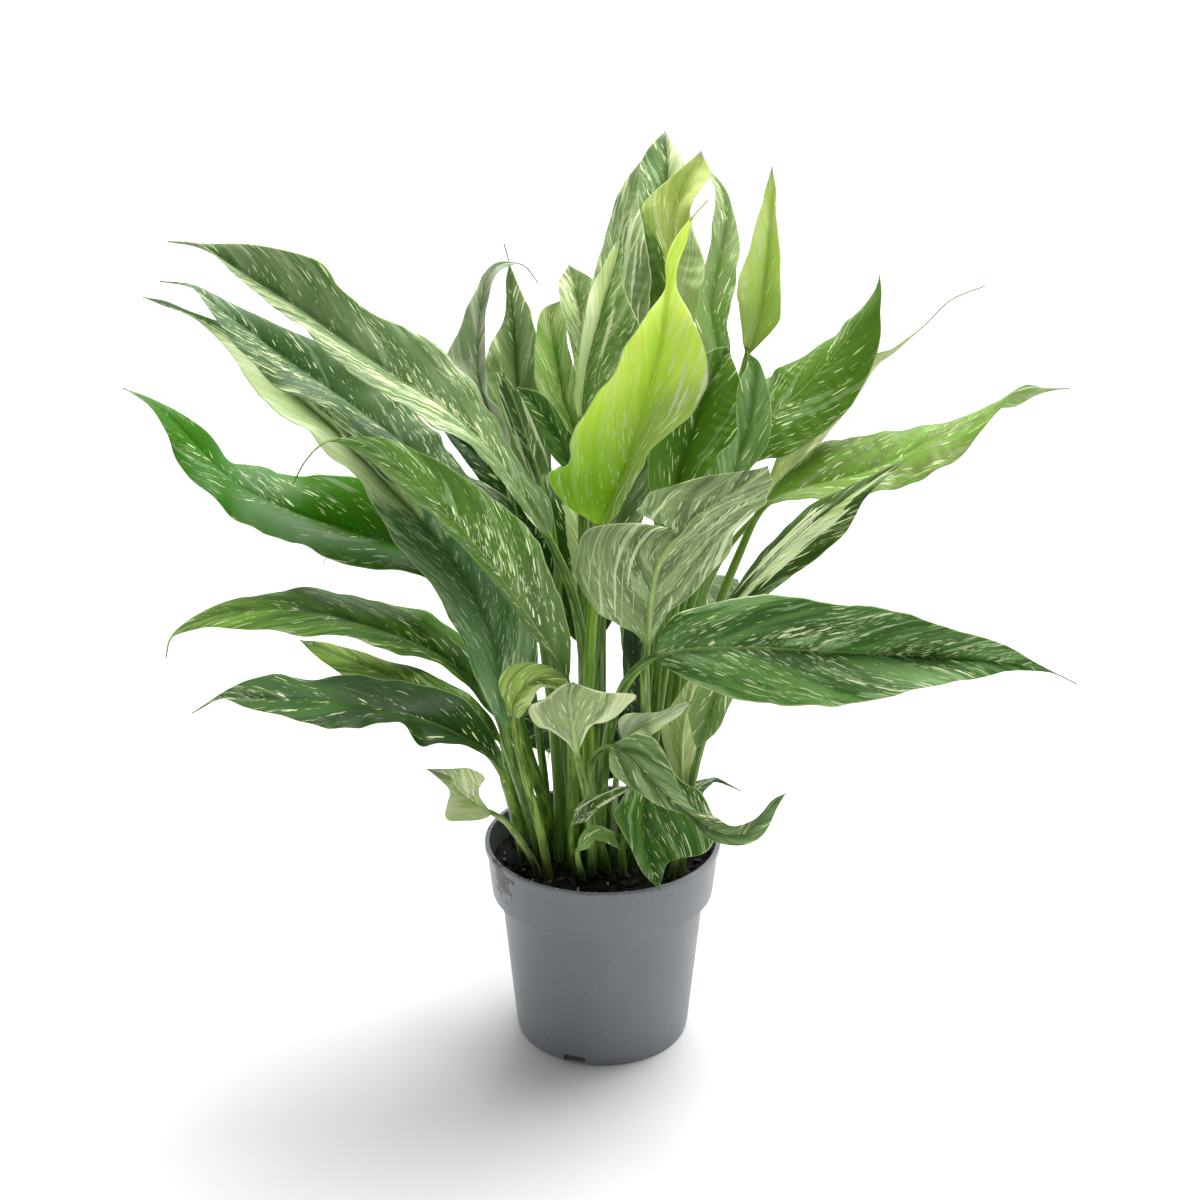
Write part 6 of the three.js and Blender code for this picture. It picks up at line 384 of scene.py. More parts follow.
        (11, 40, 904, 0, 0, 0, 0, 0, 0, 14, -99, 1, 260),
        (10, 41, 1054, 0, 0, 0, 0, 0, 0, 14, -98, 15, 251),
        (6, 102, 1322, 0, 0, 0, 0, 0, 0, 14, -98, 15, 243),
        (11, 126, 1606, 0, 0, 0, 0, 0, 0, 14, -99, -3, 235),
        (16, 82, 1928, 0, 0, 0, 0, 0, 0, 14, -99, -10, 226),
        (13, 65, 2237, 0, 0, 0, 0, 0, 0, 14, -99, -2, 218),
        (2, 71, 2535, 0, 0, 0, 0, 0, 0, 13, -99, 3, 210),
        (-14, 79, 2829, 0, 0, 0, 0, 0, 0, 13, -99, 5, 201),
        (-36, 96, 3115, 0, 0, 0, 0, 0, 0, 13, -99, 12, 193),
        (-73, 137, 3390, 0, 0, 0, 0, 0, 0, 12, -98, 15, 158),
        (-75, 150, 3497, -28, -20, 4, 39, -12, 2, 12, -97, 22, 140),
        (-71, 179, 3577, -47, -39, 14, 88, -25, -7, 15, -91, 39, 123),
        (-64, 218, 3650, -49, -73, 22, 151, -57, -30, 19, -87, 45, 107),
        (-52, 258, 3721, -50, -112, 22, 201, -74, -44, 25, -87, 44, 91),
        (-35, 297, 3791, -54, -141, 32, 230, -63, -23, 31, -86, 39, 76),
        (-14, 335, 3859, -62, -151, 44, 241, -68, -15, 31, -87, 38, 63),
        (9, 372, 3927, -71, -142, 59, 223, -77, -21, 30, -87, 39, 50),
        (29, 409, 3995, -76, -116, 61, 175, -76, -20, 27, -88, 40, 38),
        (49, 446, 4063, -74, -77, 54, 116, -56, -14, 24, -88, 41, 30),
        (71, 483, 4130, -64, -44, 40, 65, -25, -9, 28, -88, 39, 30),
        (93, 520, 4197, -52, -28, 30, 36, -13, -3, 30, -87, 39, 30),
        (112, 557, 4264, -40, -13, 17, 26, -8, -2, 20, -88, 42, 30),
        (128, 600, 4346, 0, 0, 0, 0, 0, 0, 20, -88, 42, 30),
    ]),
    "leaf_15": ("leaf_mid", 9, 21, [
        (72, 103, 905, 0, 0, 0, 0, 0, 0, 18, -98, 3, 271),
        (62, 106, 1054, 0, 0, 0, 0, 0, 0, 17, -97, 14, 263),
        (30, 157, 1330, 0, 0, 0, 0, 0, 0, 17, -97, 19, 254),
        (28, 211, 1606, 0, 0, 0, 0, 0, 0, 17, -98, 10, 245),
        (28, 215, 1910, 0, 0, 0, 0, 0, 0, 17, -98, 2, 237),
        (28, 221, 2213, 0, 0, 0, 0, 0, 0, 17, -98, 5, 228),
        (31, 247, 2507, 0, 0, 0, 0, 0, 0, 17, -98, 10, 219),
        (39, 281, 2796, 0, 0, 0, 0, 0, 0, 17, -98, 14, 211),
        (47, 328, 3076, 0, 0, 0, 0, 0, 0, 18, -97, 19, 202),
        (49, 395, 3350, -4, -1, 0, 4, 1, 0, 18, -95, 24, 166),
        (51, 431, 3482, -58, -52, 12, 113, -17, 17, 18, -93, 32, 147),
        (54, 478, 3590, -99, -97, 13, 174, -37, 43, 15, -89, 43, 129),
        (59, 532, 3691, -125, -134, 25, 190, -61, 57, 15, -87, 48, 112),
        (65, 589, 3790, -139, -158, 40, 196, -86, 60, 16, -86, 49, 95),
        (73, 647, 3888, -142, -171, 47, 197, -109, 56, 15, -86, 49, 80),
        (82, 703, 3986, -134, -169, 49, 196, -127, 47, 11, -87, 49, 65),
        (94, 759, 4083, -116, -147, 45, 190, -139, 32, 4, -87, 49, 52),
        (107, 814, 4180, -100, -111, 32, 176, -140, 20, -7, -86, 50, 40),
        (123, 869, 4276, -83, -68, 18, 145, -127, 12, -20, -83, 52, 30),
        (143, 925, 4371, -69, -37, 23, 106, -86, 2, -17, -83, 54, 30),
        (171, 981, 4464, -63, -25, 31, 57, -27, -6, 14, -87, 48, 30),
        (203, 1037, 4555, -47, -15, 23, 23, -10, -1, 21, -87, 45, 30),
        (236, 1100, 4664, 0, 0, 0, 0, 0, 0, 21, -87, 44, 30),
    ]),
    "leaf_16": ("leaf_pale", 9, 21, [
        (250, 121, 906, 0, 0, 0, 0, 0, 0, 2, -100, 3, 283),
        (248, 125, 1056, 0, 0, 0, 0, 0, 0, 2, -100, 1, 274),
        (248, 126, 1401, 0, 0, 0, 0, 0, 0, 3, -100, 9, 265),
        (269, 183, 1718, 0, 0, 0, 0, 0, 0, 3, -98, 20, 256),
        (293, 259, 2027, 0, 0, 0, 0, 0, 0, 3, -97, 22, 247),
        (317, 326, 2343, 0, 0, 0, 0, 0, 0, 3, -98, 21, 238),
        (342, 394, 2659, 0, 0, 0, 0, 0, 0, 3, -98, 21, 229),
        (368, 464, 2972, 0, 0, 0, 0, 0, 0, 4, -97, 23, 220),
        (393, 541, 3278, 0, 0, 0, 0, 0, 0, 4, -96, 26, 211),
        (416, 631, 3579, -3, 0, 0, 3, 0, 0, 4, -95, 30, 173),
        (412, 680, 3717, -95, -51, 13, 81, -38, 28, 4, -92, 39, 153),
        (408, 735, 3825, -146, -91, 15, 128, -72, 71, -4, -87, 49, 134),
        (406, 799, 3926, -175, -130, 13, 152, -107, 83, -6, -83, 55, 117),
        (403, 866, 4023, -188, -156, 20, 171, -146, 64, -5, -80, 59, 100),
        (397, 939, 4116, -194, -170, 32, 183, -175, 42, -3, -78, 63, 83),
        (395, 1015, 4206, -199, -166, 41, 160, -187, 36, -4, -76, 65, 68),
        (393, 1091, 4294, -202, -151, 50, 128, -185, 35, -4, -74, 67, 54),
        (391, 1171, 4379, -196, -128, 57, 122, -175, 32, -5, -72, 69, 41),
        (390, 1253, 4461, -184, -97, 59, 117, -150, 32, -6, -69, 72, 30),
        (393, 1338, 4540, -166, -66, 49, 110, -111, 32, -6, -67, 74, 30),
        (395, 1424, 4617, -138, -39, 31, 83, -63, 32, -7, -66, 75, 30),
        (391, 1511, 4693, -80, -19, 17, 45, -18, 15, 1, -66, 75, 30),
        (387, 1600, 4771, 0, 0, 0, 0, 0, 0, 1, -66, 75, 30),
    ]),
    "leaf_17": ("leaf_light", 9, 21, [
        (180, -12, 907, 0, 0, 0, 0, 0, 0, -9, -100, 0, 236),
        (184, -13, 1057, 0, 0, 0, 0, 0, 0, -10, -99, -6, 228),
        (209, -48, 1477, 0, 0, 0, 0, 0, 0, -9, -99, 7, 221),
        (243, 38, 1823, 0, 0, 0, 0, 0, 0, -8, -98, 16, 213),
        (270, 62, 2202, 0, 0, 0, 0, 0, 0, -9, -100, 1, 206),
        (292, 38, 2602, 0, 0, 0, 0, 0, 0, -10, -99, -6, 198),
        (323, 12, 2997, 0, 0, 0, 0, 0, 0, -9, -99, -4, 191),
        (351, 1, 3383, 0, 0, 0, 0, 0, 0, -9, -100, 1, 183),
        (371, 18, 3755, 0, 0, 0, 0, 0, 0, -9, -99, 10, 176),
        (376, 71, 4116, 0, 0, 0, 0, 0, 0, -9, -99, 11, 144),
        (379, 67, 4212, -19, 2, 0, 19, -2, 0, -9, -99, 6, 128),
        (380, 80, 4271, -32, -7, 3, 32, -13, 4, -9, -93, 34, 112),
        (379, 107, 4323, -39, -12, 7, 41, -22, 12, -14, -85, 50, 97),
        (377, 140, 4374, -63, -17, 9, 57, -29, 18, -12, -83, 55, 83),
        (377, 174, 4423, -93, -30, 15, 72, -54, 27, -16, -81, 56, 70),
        (382, 207, 4472, -140, -54, 29, 79, -80, 26, -9, -82, 57, 57),
        (395, 241, 4521, -174, -66, 31, 78, -100, 22, -9, -80, 59, 45),
        (412, 273, 4566, -165, -59, 28, 73, -103, 16, -11, -78, 61, 34),
        (433, 306, 4611, -122, -40, 37, 73, -90, 6, -10, -77, 62, 30),
        (456, 339, 4655, -81, -22, 37, 82, -78, -6, -9, -76, 64, 30),
        (481, 371, 4696, -54, -18, 36, 85, -54, -18, 3, -79, 61, 30),
        (508, 405, 4737, -35, -12, 26, 77, -25, -26, 15, -84, 53, 30),
        (535, 450, 4807, 0, 0, 0, 0, 0, 0, 14, -85, 50, 30),
    ]),
    "leaf_18": ("leaf_mid", 9, 21, [
        (305, 190, 905, 0, 0, 0, 0, 0, 0, 5, -100, 3, 271),
        (302, 195, 1055, 0, 0, 0, 0, 0, 0, 5, -100, 8, 263),
        (305, 228, 1376, 0, 0, 0, 0, 0, 0, 5, -99, 11, 254),
        (339, 268, 1697, 0, 0, 0, 0, 0, 0, 5, -99, 14, 245),
        (383, 320, 2011, 0, 0, 0, 0, 0, 0, 6, -98, 17, 237),
        (432, 379, 2323, 0, 0, 0, 0, 0, 0, 6, -98, 19, 228),
        (495, 447, 2630, 0, 0, 0, 0, 0, 0, 7, -98, 21, 219),
        (567, 517, 2931, 0, 0, 0, 0, 0, 0, 7, -97, 23, 211),
        (634, 595, 3226, 0, 0, 0, 0, 0, 0, 8, -96, 27, 202),
        (677, 692, 3518, 0, 0, 0, 0, 0, 0, 9, -94, 34, 166),
        (673, 745, 3633, -60, -26, 12, 53, -19, 7, 7, -87, 49, 147),
        (660, 805, 3720, -88, -59, 20, 70, -26, 17, 17, -77, 62, 129),
        (642, 873, 3801, -96, -89, 27, 75, -37, 17, 26, -71, 65, 112),
        (633, 944, 3882, -111, -101, 23, 98, -78, 15, 11, -75, 65, 95),
        (646, 1014, 3962, -118, -92, 17, 104, -113, 13, -6, -74, 67, 80),
        (668, 1083, 4040, -93, -66, 14, 101, -122, 19, -22, -70, 68, 65),
        (689, 1151, 4118, -78, -50, 13, 97, -113, 14, -25, -70, 67, 52),
        (709, 1219, 4196, -73, -46, 22, 89, -79, 4, -8, -75, 66, 40),
        (724, 1286, 4276, -79, -49, 30, 64, -31, 7, 19, -76, 62, 30),
        (729, 1354, 4355, -72, -51, 27, 39, -7, 9, 37, -70, 61, 30),
        (720, 1422, 4435, -54, -43, 21, 25, 1, 7, 45, -59, 67, 30),
        (682, 1488, 4506, -33, -28, 11, 16, 4, 4, 41, -49, 77, 30),
        (628, 1550, 4565, 0, 0, 0, 0, 0, 0, 38, -44, 82, 30),
    ]),
    "leaf_19": ("leaf_light", 9, 21, [
        (355, 96, 906, 0, 0, 0, 0, 0, 0, -4, -100, 1, 260),
        (358, 98, 1056, 0, 0, 0, 0, 0, 0, -4, -100, -1, 251),
        (389, 90, 1418, 0, 0, 0, 0, 0, 0, -3, -100, 8, 243),
        (440, 150, 1740, 0, 0, 0, 0, 0, 0, -2, -98, 17, 235),
        (493, 201, 2067, 0, 0, 0, 0, 0, 0, -3, -99, 12, 226),
        (542, 230, 2406, 0, 0, 0, 0, 0, 0, -3, -100, 9, 218),
        (594, 257, 2744, 0, 0, 0, 0, 0, 0, -3, -100, 9, 210),
        (646, 289, 3077, 0, 0, 0, 0, 0, 0, -3, -99, 12, 201),
        (704, 332, 3401, 0, 0, 0, 0, 0, 0, -2, -99, 16, 193),
        (784, 393, 3712, 0, 0, 0, 0, 0, 0, -2, -99, 17, 158),
        (813, 401, 3817, -45, -19, 14, 43, -24, -7, -2, -99, 14, 140),
        (835, 417, 3891, -74, -31, 16, 78, -60, -11, -12, -94, 31, 123),
        (856, 442, 3959, -106, -69, 15, 101, -82, -13, -1, -93, 37, 107),
        (871, 471, 4028, -136, -111, 6, 92, -83, -6, 13, -92, 37, 91),
        (882, 501, 4096, -156, -141, -2, 82, -71, 4, 25, -90, 35, 76),
        (891, 530, 4165, -147, -139, 4, 74, -54, 14, 32, -88, 34, 63),
        (899, 559, 4233, -120, -117, 10, 68, -41, 14, 35, -88, 33, 50),
        (906, 588, 4301, -103, -97, 9, 58, -31, 8, 36, -87, 34, 38),
        (911, 617, 4369, -85, -72, 12, 47, -20, 4, 36, -87, 34, 30),
        (915, 645, 4437, -66, -45, 15, 35, -11, 2, 34, -87, 35, 30),
        (918, 674, 4504, -45, -23, 11, 29, -11, 3, 19, -91, 38, 30),
        (922, 703, 4572, -32, -9, 5, 29, -4, 0, 11, -92, 38, 30),
        (928, 750, 4685, 0, 0, 0, 0, 0, 0, 11, -92, 37, 30),
    ]),
    "leaf_20": ("leaf_light", 9, 21, [
        (-37, -116, 904, 0, 0, 0, 0, 0, 0, -27, -96, -4, 354),
        (-37, -121, 1053, 0, 0, 0, 0, 0, 0, -27, -96, -11, 343),
        (-41, -162, 1309, 0, 0, 0, 0, 0, 0, -27, -93, -25, 331),
        (-44, -262, 1594, 0, 0, 0, 0, 0, 0, -27, -93, -26, 320),
        (-46, -314, 1853, 0, 0, 0, 0, 0, 0, -28, -95, -15, 309),
        (-46, -343, 2099, 0, 0, 0, 0, 0, 0, -28, -95, -14, 297),
        (-37, -390, 2349, 0, 0, 0, 0, 0, 0, -28, -94, -18, 286),
        (-22, -445, 2598, 0, 0, 0, 0, 0, 0, -28, -94, -19, 275),
        (-3, -498, 2843, 0, 0, 0, 0, 0, 0, -28, -95, -16, 263),
        (24, -540, 3079, -5, 1, 1, 5, -1, -1, -28, -94, -19, 216),
        (66, -596, 3220, -202, 0, 7, 46, -81, 7, -30, -92, -24, 193),
        (113, -638, 3341, -352, 32, 43, 54, -144, 36, -40, -91, -12, 171),
        (157, -667, 3462, -299, -7, 2, 63, -191, 54, -45, -89, -4, 150),
        (192, -688, 3584, -315, -45, 21, 103, -219, 56, -38, -92, -1, 130),
        (223, -696, 3706, -286, -122, 59, 194, -225, 57, -21, -98, 1, 111),
        (252, -699, 3827, -241, -188, 53, 247, -196, 42, -2, -100, -1, 93),
        (277, -700, 3949, -176, -201, 58, 242, -171, 43, 7, -100, 1, 76),
        (302, -694, 4070, -139, -150, 49, 191, -144, 45, 2, -99, 13, 61),
        (321, -667, 4189, -88, -66, 26, 119, -101, 27, -16, -93, 34, 46),
        (337, -614, 4301, -16, -2, 5, 41, -34, 11, -47, -76, 45, 33),
        (353, -556, 4408, -29, -2, 11, 30, -15, -1, -9, -85, 52, 30),
        (395, -493, 4505, -28, 1, 13, 29, -12, -6, 1, -82, 57, 30),
        (451, -420, 4603, -5, 2, 2, 5, -2, -2, 3, -79, 62, 30),
        (531, -350, 4680, 0, 0, 0, 0, 0, 0, 5, -76, 64, 30),
    ]),
    "leaf_21": ("leaf_bright", 9, 21, [
        (391, 21, 905, 0, 0, 0, 0, 0, 0, -87, -49, 0, 283),
        (391, 20, 1055, 0, 0, 0, 0, 0, 0, -87, -49, 0, 274),
        (395, 12, 1334, 0, 0, 0, 0, 0, 0, -87, -49, 0, 265),
        (405, 2, 1615, 0, 0, 0, 0, 0, 0, -87, -49, 4, 256),
        (422, 4, 1888, 0, 0, 0, 0, 0, 0, -87, -49, 6, 247),
        (441, 8, 2161, 0, 0, 0, 0, 0, 0, -87, -49, 11, 238),
        (488, 9, 2430, 0, 0, 0, 0, 0, 0, -85, -49, 19, 229),
        (558, 10, 2693, 0, 0, 0, 0, 0, 0, -84, -49, 25, 220),
        (637, 19, 2947, 0, 0, 0, 0, 0, 0, -82, -49, 29, 211),
        (718, 42, 3194, -1, 2, 0, 1, -2, 0, -81, -49, 32, 173),
        (766, 41, 3313, -24, 82, 12, 50, -71, -31, -78, -49, 39, 153),
        (818, 49, 3404, -41, 145, 31, 79, -130, -80, -68, -51, 52, 134),
        (879, 65, 3483, -50, 195, 49, 81, -178, -138, -57, -52, 64, 117),
        (952, 80, 3549, -77, 233, 60, 92, -186, -158, -46, -55, 70, 100),
        (1029, 100, 3609, -99, 252, 62, 110, -177, -162, -44, -57, 69, 83),
        (1099, 119, 3675, -102, 235, 30, 123, -174, -174, -48, -59, 65, 68),
        (1165, 138, 3745, -84, 215, 8, 123, -169, -185, -51, -59, 63, 54),
        (1228, 158, 3817, -60, 196, -5, 118, -159, -167, -55, -56, 62, 41),
        (1290, 177, 3890, -37, 167, -21, 115, -149, -107, -64, -47, 61, 30),
        (1344, 195, 3968, -45, 148, -24, 103, -124, -45, -70, -43, 57, 30),
        (1394, 214, 4048, -15, 101, -27, 56, -100, -7, -82, -24, 52, 30),
        (1437, 234, 4132, 1, 49, -15, 22, -57, 3, -92, -12, 38, 30),
        (1456, 250, 4206, 0, 0, 0, 0, 0, 0, -95, -14, 27, 30),
    ]),
    "leaf_22": ("leaf_bright", 9, 21, [
        (451, 60, 905, 0, 0, 0, 0, 0, 0, 55, -83, 1, 248),
        (451, 62, 1055, 0, 0, 0, 0, 0, 0, 55, -83, 2, 240),
        (454, 73, 1309, 0, 0, 0, 0, 0, 0, 55, -83, 1, 232),
        (470, 81, 1565, 0, 0, 0, 0, 0, 0, 55, -83, -1, 224),
        (497, 94, 1820, 0, 0, 0, 0, 0, 0, 55, -83, 1, 216),
        (517, 117, 2070, 0, 0, 0, 0, 0, 0, 56, -83, 4, 208),
        (549, 152, 2312, 0, 0, 0, 0, 0, 0, 55, -83, 2, 200),
        (606, 189, 2546, 0, 0, 0, 0, 0, 0, 52, -85, -6, 192),
        (722, 227, 2755, 0, 0, 0, 0, 0, 0, 46, -88, -16, 184),
        (882, 264, 2932, 0, 0, 0, 0, 0, 0, 43, -88, -19, 151),
        (947, 280, 3026, -42, -20, 39, 35, 32, -33, 46, -87, -15, 136),
        (1002, 298, 3104, -66, -39, 75, 53, 61, -54, 53, -83, -16, 122),
        (1054, 318, 3180, -78, -57, 103, 58, 88, -60, 59, -78, -20, 108),
        (1108, 339, 3252, -87, -73, 123, 59, 112, -65, 61, -75, -26, 95),
        (1165, 361, 3321, -100, -84, 133, 60, 121, -69, 61, -74, -27, 82),
        (1222, 383, 3389, -103, -88, 130, 59, 125, -70, 62, -73, -28, 70),
        (1279, 404, 3457, -94, -89, 123, 58, 126, -67, 63, -71, -30, 59),
        (1336, 425, 3525, -85, -87, 115, 57, 122, -62, 64, -70, -32, 48),
        (1392, 447, 3592, -73, -83, 110, 50, 109, -59, 64, -69, -33, 38),
        (1451, 471, 3656, -49, -78, 87, 31, 93, -53, 63, -65, -42, 30),
        (1519, 492, 3712, -24, -65, 53, 12, 75, -39, 57, -55, -61, 30),
        (1595, 510, 3754, -10, -42, 30, 4, 47, -25, 59, -49, -64, 30),
        (1750, 559, 3874, -1, -4, 2, 1, 4, -2, 65, -47, -59, 30),
        (1897, 615, 4003, 0, -1, 1, 0, 1, -1, 54, -50, -67, 30),
        (2080, 650, 4071, 0, 0, 0, 0, 0, 0, 38, -54, -75, 30),
    ]),
    "leaf_23": ("leaf_mid", 9, 21, [
        (456, -75, 905, 0, 0, 0, 0, 0, 0, -100, -7, 5, 307),
        (462, -76, 1054, 0, 0, 0, 0, 0, 0, -99, -7, 10, 297),
        (495, -72, 1304, 0, 0, 0, 0, 0, 0, -99, -7, 11, 287),
        (521, -79, 1558, 0, 0, 0, 0, 0, 0, -99, -7, 9, 277),
        (543, -95, 1818, 0, 0, 0, 0, 0, 0, -99, -6, 8, 268),
        (567, -107, 2075, 0, 0, 0, 0, 0, 0, -99, -7, 11, 258),
        (602, -117, 2328, 0, 0, 0, 0, 0, 0, -98, -7, 17, 248),
        (656, -125, 2575, 0, 0, 0, 0, 0, 0, -96, -7, 27, 238),
        (737, -130, 2809, 0, 0, 0, 0, 0, 0, -93, -7, 36, 228),
        (832, -124, 3034, 0, 1, 0, 0, -1, 0, -85, -8, 51, 187),
        (938, -145, 3141, -19, 94, 27, -7, -95, 0, -58, -15, 80, 166),
        (1064, -168, 3193, -35, 155, 73, -8, -156, -13, -36, -28, 89, 146),
        (1192, -184, 3230, -50, 205, 131, -12, -195, -43, -29, -40, 87, 126),
        (1320, -195, 3267, -32, 229, 140, -17, -220, -52, -31, -38, 87, 108),
        (1443, -198, 3314, -33, 240, 102, -6, -233, -49, -39, -30, 87, 90),
        (1560, -200, 3374, -21, 241, 66, 12, -247, -61, -47, -25, 85, 74),
        (1671, -199, 3441, -11, 224, 30, 31, -251, -74, -48, -23, 85, 59),
        (1786, -193, 3502, -7, 193, -13, 20, -242, -70, -48, -14, 87, 45),
        (1897, -182, 3568, -2, 167, -48, 9, -199, -26, -52, 4, 85, 32),
        (2006, -157, 3635, 8, 134, -68, -7, -152, 19, -46, 28, 84, 30),
        (2126, -136, 3678, 15, 84, -87, -13, -97, 65, -27, 64, 72, 30),
        (2251, -119, 3694, -1, 50, -30, 3, -54, 22, -13, 44, 89, 30),
        (2396, -100, 3699, 0, 0, 0, 0, 0, 0, -9, 44, 89, 30),
    ]),
    "leaf_24": ("leaf_dark", 9, 21, [
        (430, -160, 905, 0, 0, 0, 0, 0, 0, -95, -31, 2, 248),
        (435, -167, 1055, 0, 0, 0, 0, 0, 0, -95, -31, 4, 240),
        (454, -190, 1244, 0, 0, 0, 0, 0, 0, -95, -32, 8, 232),
        (476, -200, 1422, 0, 0, 0, 0, 0, 0, -94, -32, 10, 224),
        (497, -203, 1593, 0, 0, 0, 0, 0, 0, -94, -32, 9, 216),
        (514, -217, 1769, 0, 0, 0, 0, 0, 0, -95, -31, 5, 208),
        (530, -254, 1953, 0, 0, 0, 0, 0, 0, -95, -31, 2, 200),
        (548, -299, 2139, 0, 0, 0, 0, 0, 0, -95, -31, 2, 192),
        (572, -354, 2324, 0, 0, 0, 0, 0, 0, -95, -32, 6, 184),
        (605, -404, 2505, 0, 0, 0, 0, 0, 0, -92, -35, 15, 151),
        (659, -456, 2621, -7, 45, 16, 21, -40, -19, -86, -41, 29, 134),
        (717, -489, 2717, -14, 78, 15, 40, -80, -30, -81, -40, 42, 118),
        (778, -505, 2802, -31, 100, 0, 60, -119, -36, -76, -40, 52, 102),
        (842, -515, 2880, -52, 118, -13, 72, -140, -46, -71, -41, 58, 87),
        (909, -519, 2954, -60, 127, -15, 77, -142, -53, -68, -43, 60, 73),
        (976, -523, 3026, -64, 126, -16, 91, -138, -57, -65, -48, 59, 60),
        (1044, -527, 3097, -68, 123, -14, 101, -133, -59, -61, -51, 60, 47),
        (1117, -530, 3163, -69, 122, 2, 100, -124, -60, -56, -54, 62, 36),
        (1193, -534, 3224, -44, 113, 6, 65, -105, -38, -56, -43, 71, 30),
        (1271, -538, 3282, -19, 96, 2, 30, -87, -18, -58, -24, 78, 30),
        (1350, -542, 3338, -5, 75, 3, 10, -74, -10, -59, -13, 80, 30),
        (1428, -547, 3395, 0, 44, 2, 2, -48, -5, -58, -7, 81, 30),
        (1517, -550, 3457, 0, 0, 0, 0, 0, 0, -57, -7, 82, 30),
    ]),
    "leaf_25": ("leaf_dark", 9, 21, [
        (10, -203, 905, 0, 0, 0, 0, 0, 0, -91, -42, -4, 342),
        (11, -221, 1053, 0, 0, 0, 0, 0, 0, -91, -42, -5, 331),
        (16, -259, 1260, 0, 0, 0, 0, 0, 0, -91, -42, -5, 320),
        (24, -293, 1442, 0, 0, 0, 0, 0, 0, -91, -41, -8, 309),
        (33, -367, 1637, 0, 0, 0, 0, 0, 0, -91, -39, -11, 298),
        (46, -453, 1831, 0, 0, 0, 0, 0, 0, -91, -40, -10, 287),
        (71, -552, 2023, 0, 0, 0, 0, 0, 0, -91, -40, -10, 276),
        (104, -679, 2222, 0, 0, 0, 0, 0, 0, -91, -41, -8, 266),
        (162, -825, 2414, 0, 0, 0, 0, 0, 0, -87, -49, 2, 255),
        (260, -943, 2563, -1, 3, 4, 1, -3, -4, -67, -70, 24, 209),
        (421, -1000, 2631, -67, 49, 146, 5, -87, -113, -26, -88, 39, 187),
        (587, -1002, 2643, -88, 43, 199, -22, -135, -169, 5, -90, 44, 166),
        (752, -978, 2636, -90, 23, 250, -40, -171, -202, 16, -90, 40, 145),
        (915, -954, 2618, -80, -3, 283, -37, -194, -215, 17, -91, 37, 126),
        (1076, -931, 2600, -77, -32, 281, -38, -216, -201, 17, -92, 36, 108),
        (1235, -910, 2583, -80, -52, 277, -40, -233, -170, 17, -91, 38, 90),
        (1394, -887, 2566, -83, -57, 276, -38, -239, -133, 18, -89, 42, 74),
        (1552, -863, 2548, -83, -60, 251, -37, -227, -95, 19, -87, 45, 59),
        (1708, -837, 2528, -74, -55, 206, -30, -190, -65, 22, -86, 46, 45),
        (1864, -807, 2506, -32, -38, 147, -13, -124, -51, 23, -88, 40, 32),
        (2018, -778, 2478, 4, -16, 97, -5, -41, -33, 22, -96, 17, 30),
        (2170, -748, 2445, 5, 5, 24, -4, -11, -21, 24, -96, 16, 30),
        (2295, -722, 2394, 1, 1, 2, -1, -1, -2, 27, -95, 16, 30),
        (2411, -700, 2328, 0, 0, 0, 0, 0, 0, 27, -95, 15, 30),
    ]),
    "leaf_26": ("leaf_grey", 9, 25, [
        (190, -188, 905, 0, 0, 0, 0, 0, 0, -24, 97, 9, 342),
        (195, -201, 1054, 0, 0, 0, 0, 0, 0, -24, 95, 21, 331),
        (220, -259, 1253, 0, 0, 0, 0, 0, 0, -23, 92, 32, 320),
        (238, -322, 1438, 0, 0, 0, 0, 0, 0, -22, 91, 34, 309),
        (249, -389, 1618, 0, 0, 0, 0, 0, 0, -22, 90, 38, 298),
        (255, -474, 1805, 0, 0, 0, 0, 0, 0, -22, 88, 42, 287),
        (253, -565, 1989, 0, 0, 0, 0, 0, 0, -22, 88, 42, 276),
        (247, -647, 2163, 0, 0, 0, 0, 0, 0, -22, 89, 40, 266),
        (242, -723, 2332, 0, 0, 0, 0, 0, 0, -22, 88, 43, 255),
        (239, -815, 2505, 0, 0, 0, 0, 0, 0, -22, 86, 45, 209),
        (250, -909, 2690, 49, 33, -2, -38, 34, -45, -22, 85, 47, 191),
        (256, -1002, 2850, 108, 63, -24, -166, 68, -98, -12, 86, 50, 173),
        (267, -1076, 2979, 179, 83, -76, -288, 84, -117, -4, 88, 47, 156),
        (283, -1129, 3087, 246, 116, -82, -389, 82, -54, -3, 90, 43, 140),
        (309, -1165, 3169, 284, 144, -70, -400, 90, 9, -3, 91, 41, 124),
        (327, -1181, 3204, 307, 165, -42, -347, 127, 65, 1, 92, 39, 109),
        (349, -1199, 3247, 293, 162, -43, -173, 127, 53, 1, 91, 41, 94),
        (389, -1223, 3296, 273, 159, -33, -56, 99, 1, -11, 87, 47, 80),
        (419, -1244, 3346, 267, 154, -31, -180, 112, -8, -6, 90, 42, 67),
        (445, -1261, 3385, 267, 152, -30, -262, 131, -9, -2, 90, 44, 55),
        (480, -1279, 3420, 266, 149, -24, -270, 113, 2, -3, 86, 50, 44),
        (528, -1301, 3460, 247, 135, -28, -274, 90, 43, -1, 86, 50, 33),
        (584, -1325, 3501, 208, 114, -26, -214, 79, 42, 0, 88, 48, 30),
        (635, -1347, 3545, 160, 89, -18, -158, 83, 36, 5, 92, 38, 30),
        (686, -1369, 3594, 103, 58, -13, -94, 65, 18, 8, 94, 33, 30),
        (728, -1386, 3632, 47, 29, -4, -42, 35, 8, 10, 95, 28, 30),
        (762, -1400, 3673, 0, 0, 0, 0, 0, 0, 8, 96, 27, 30),
    ]),
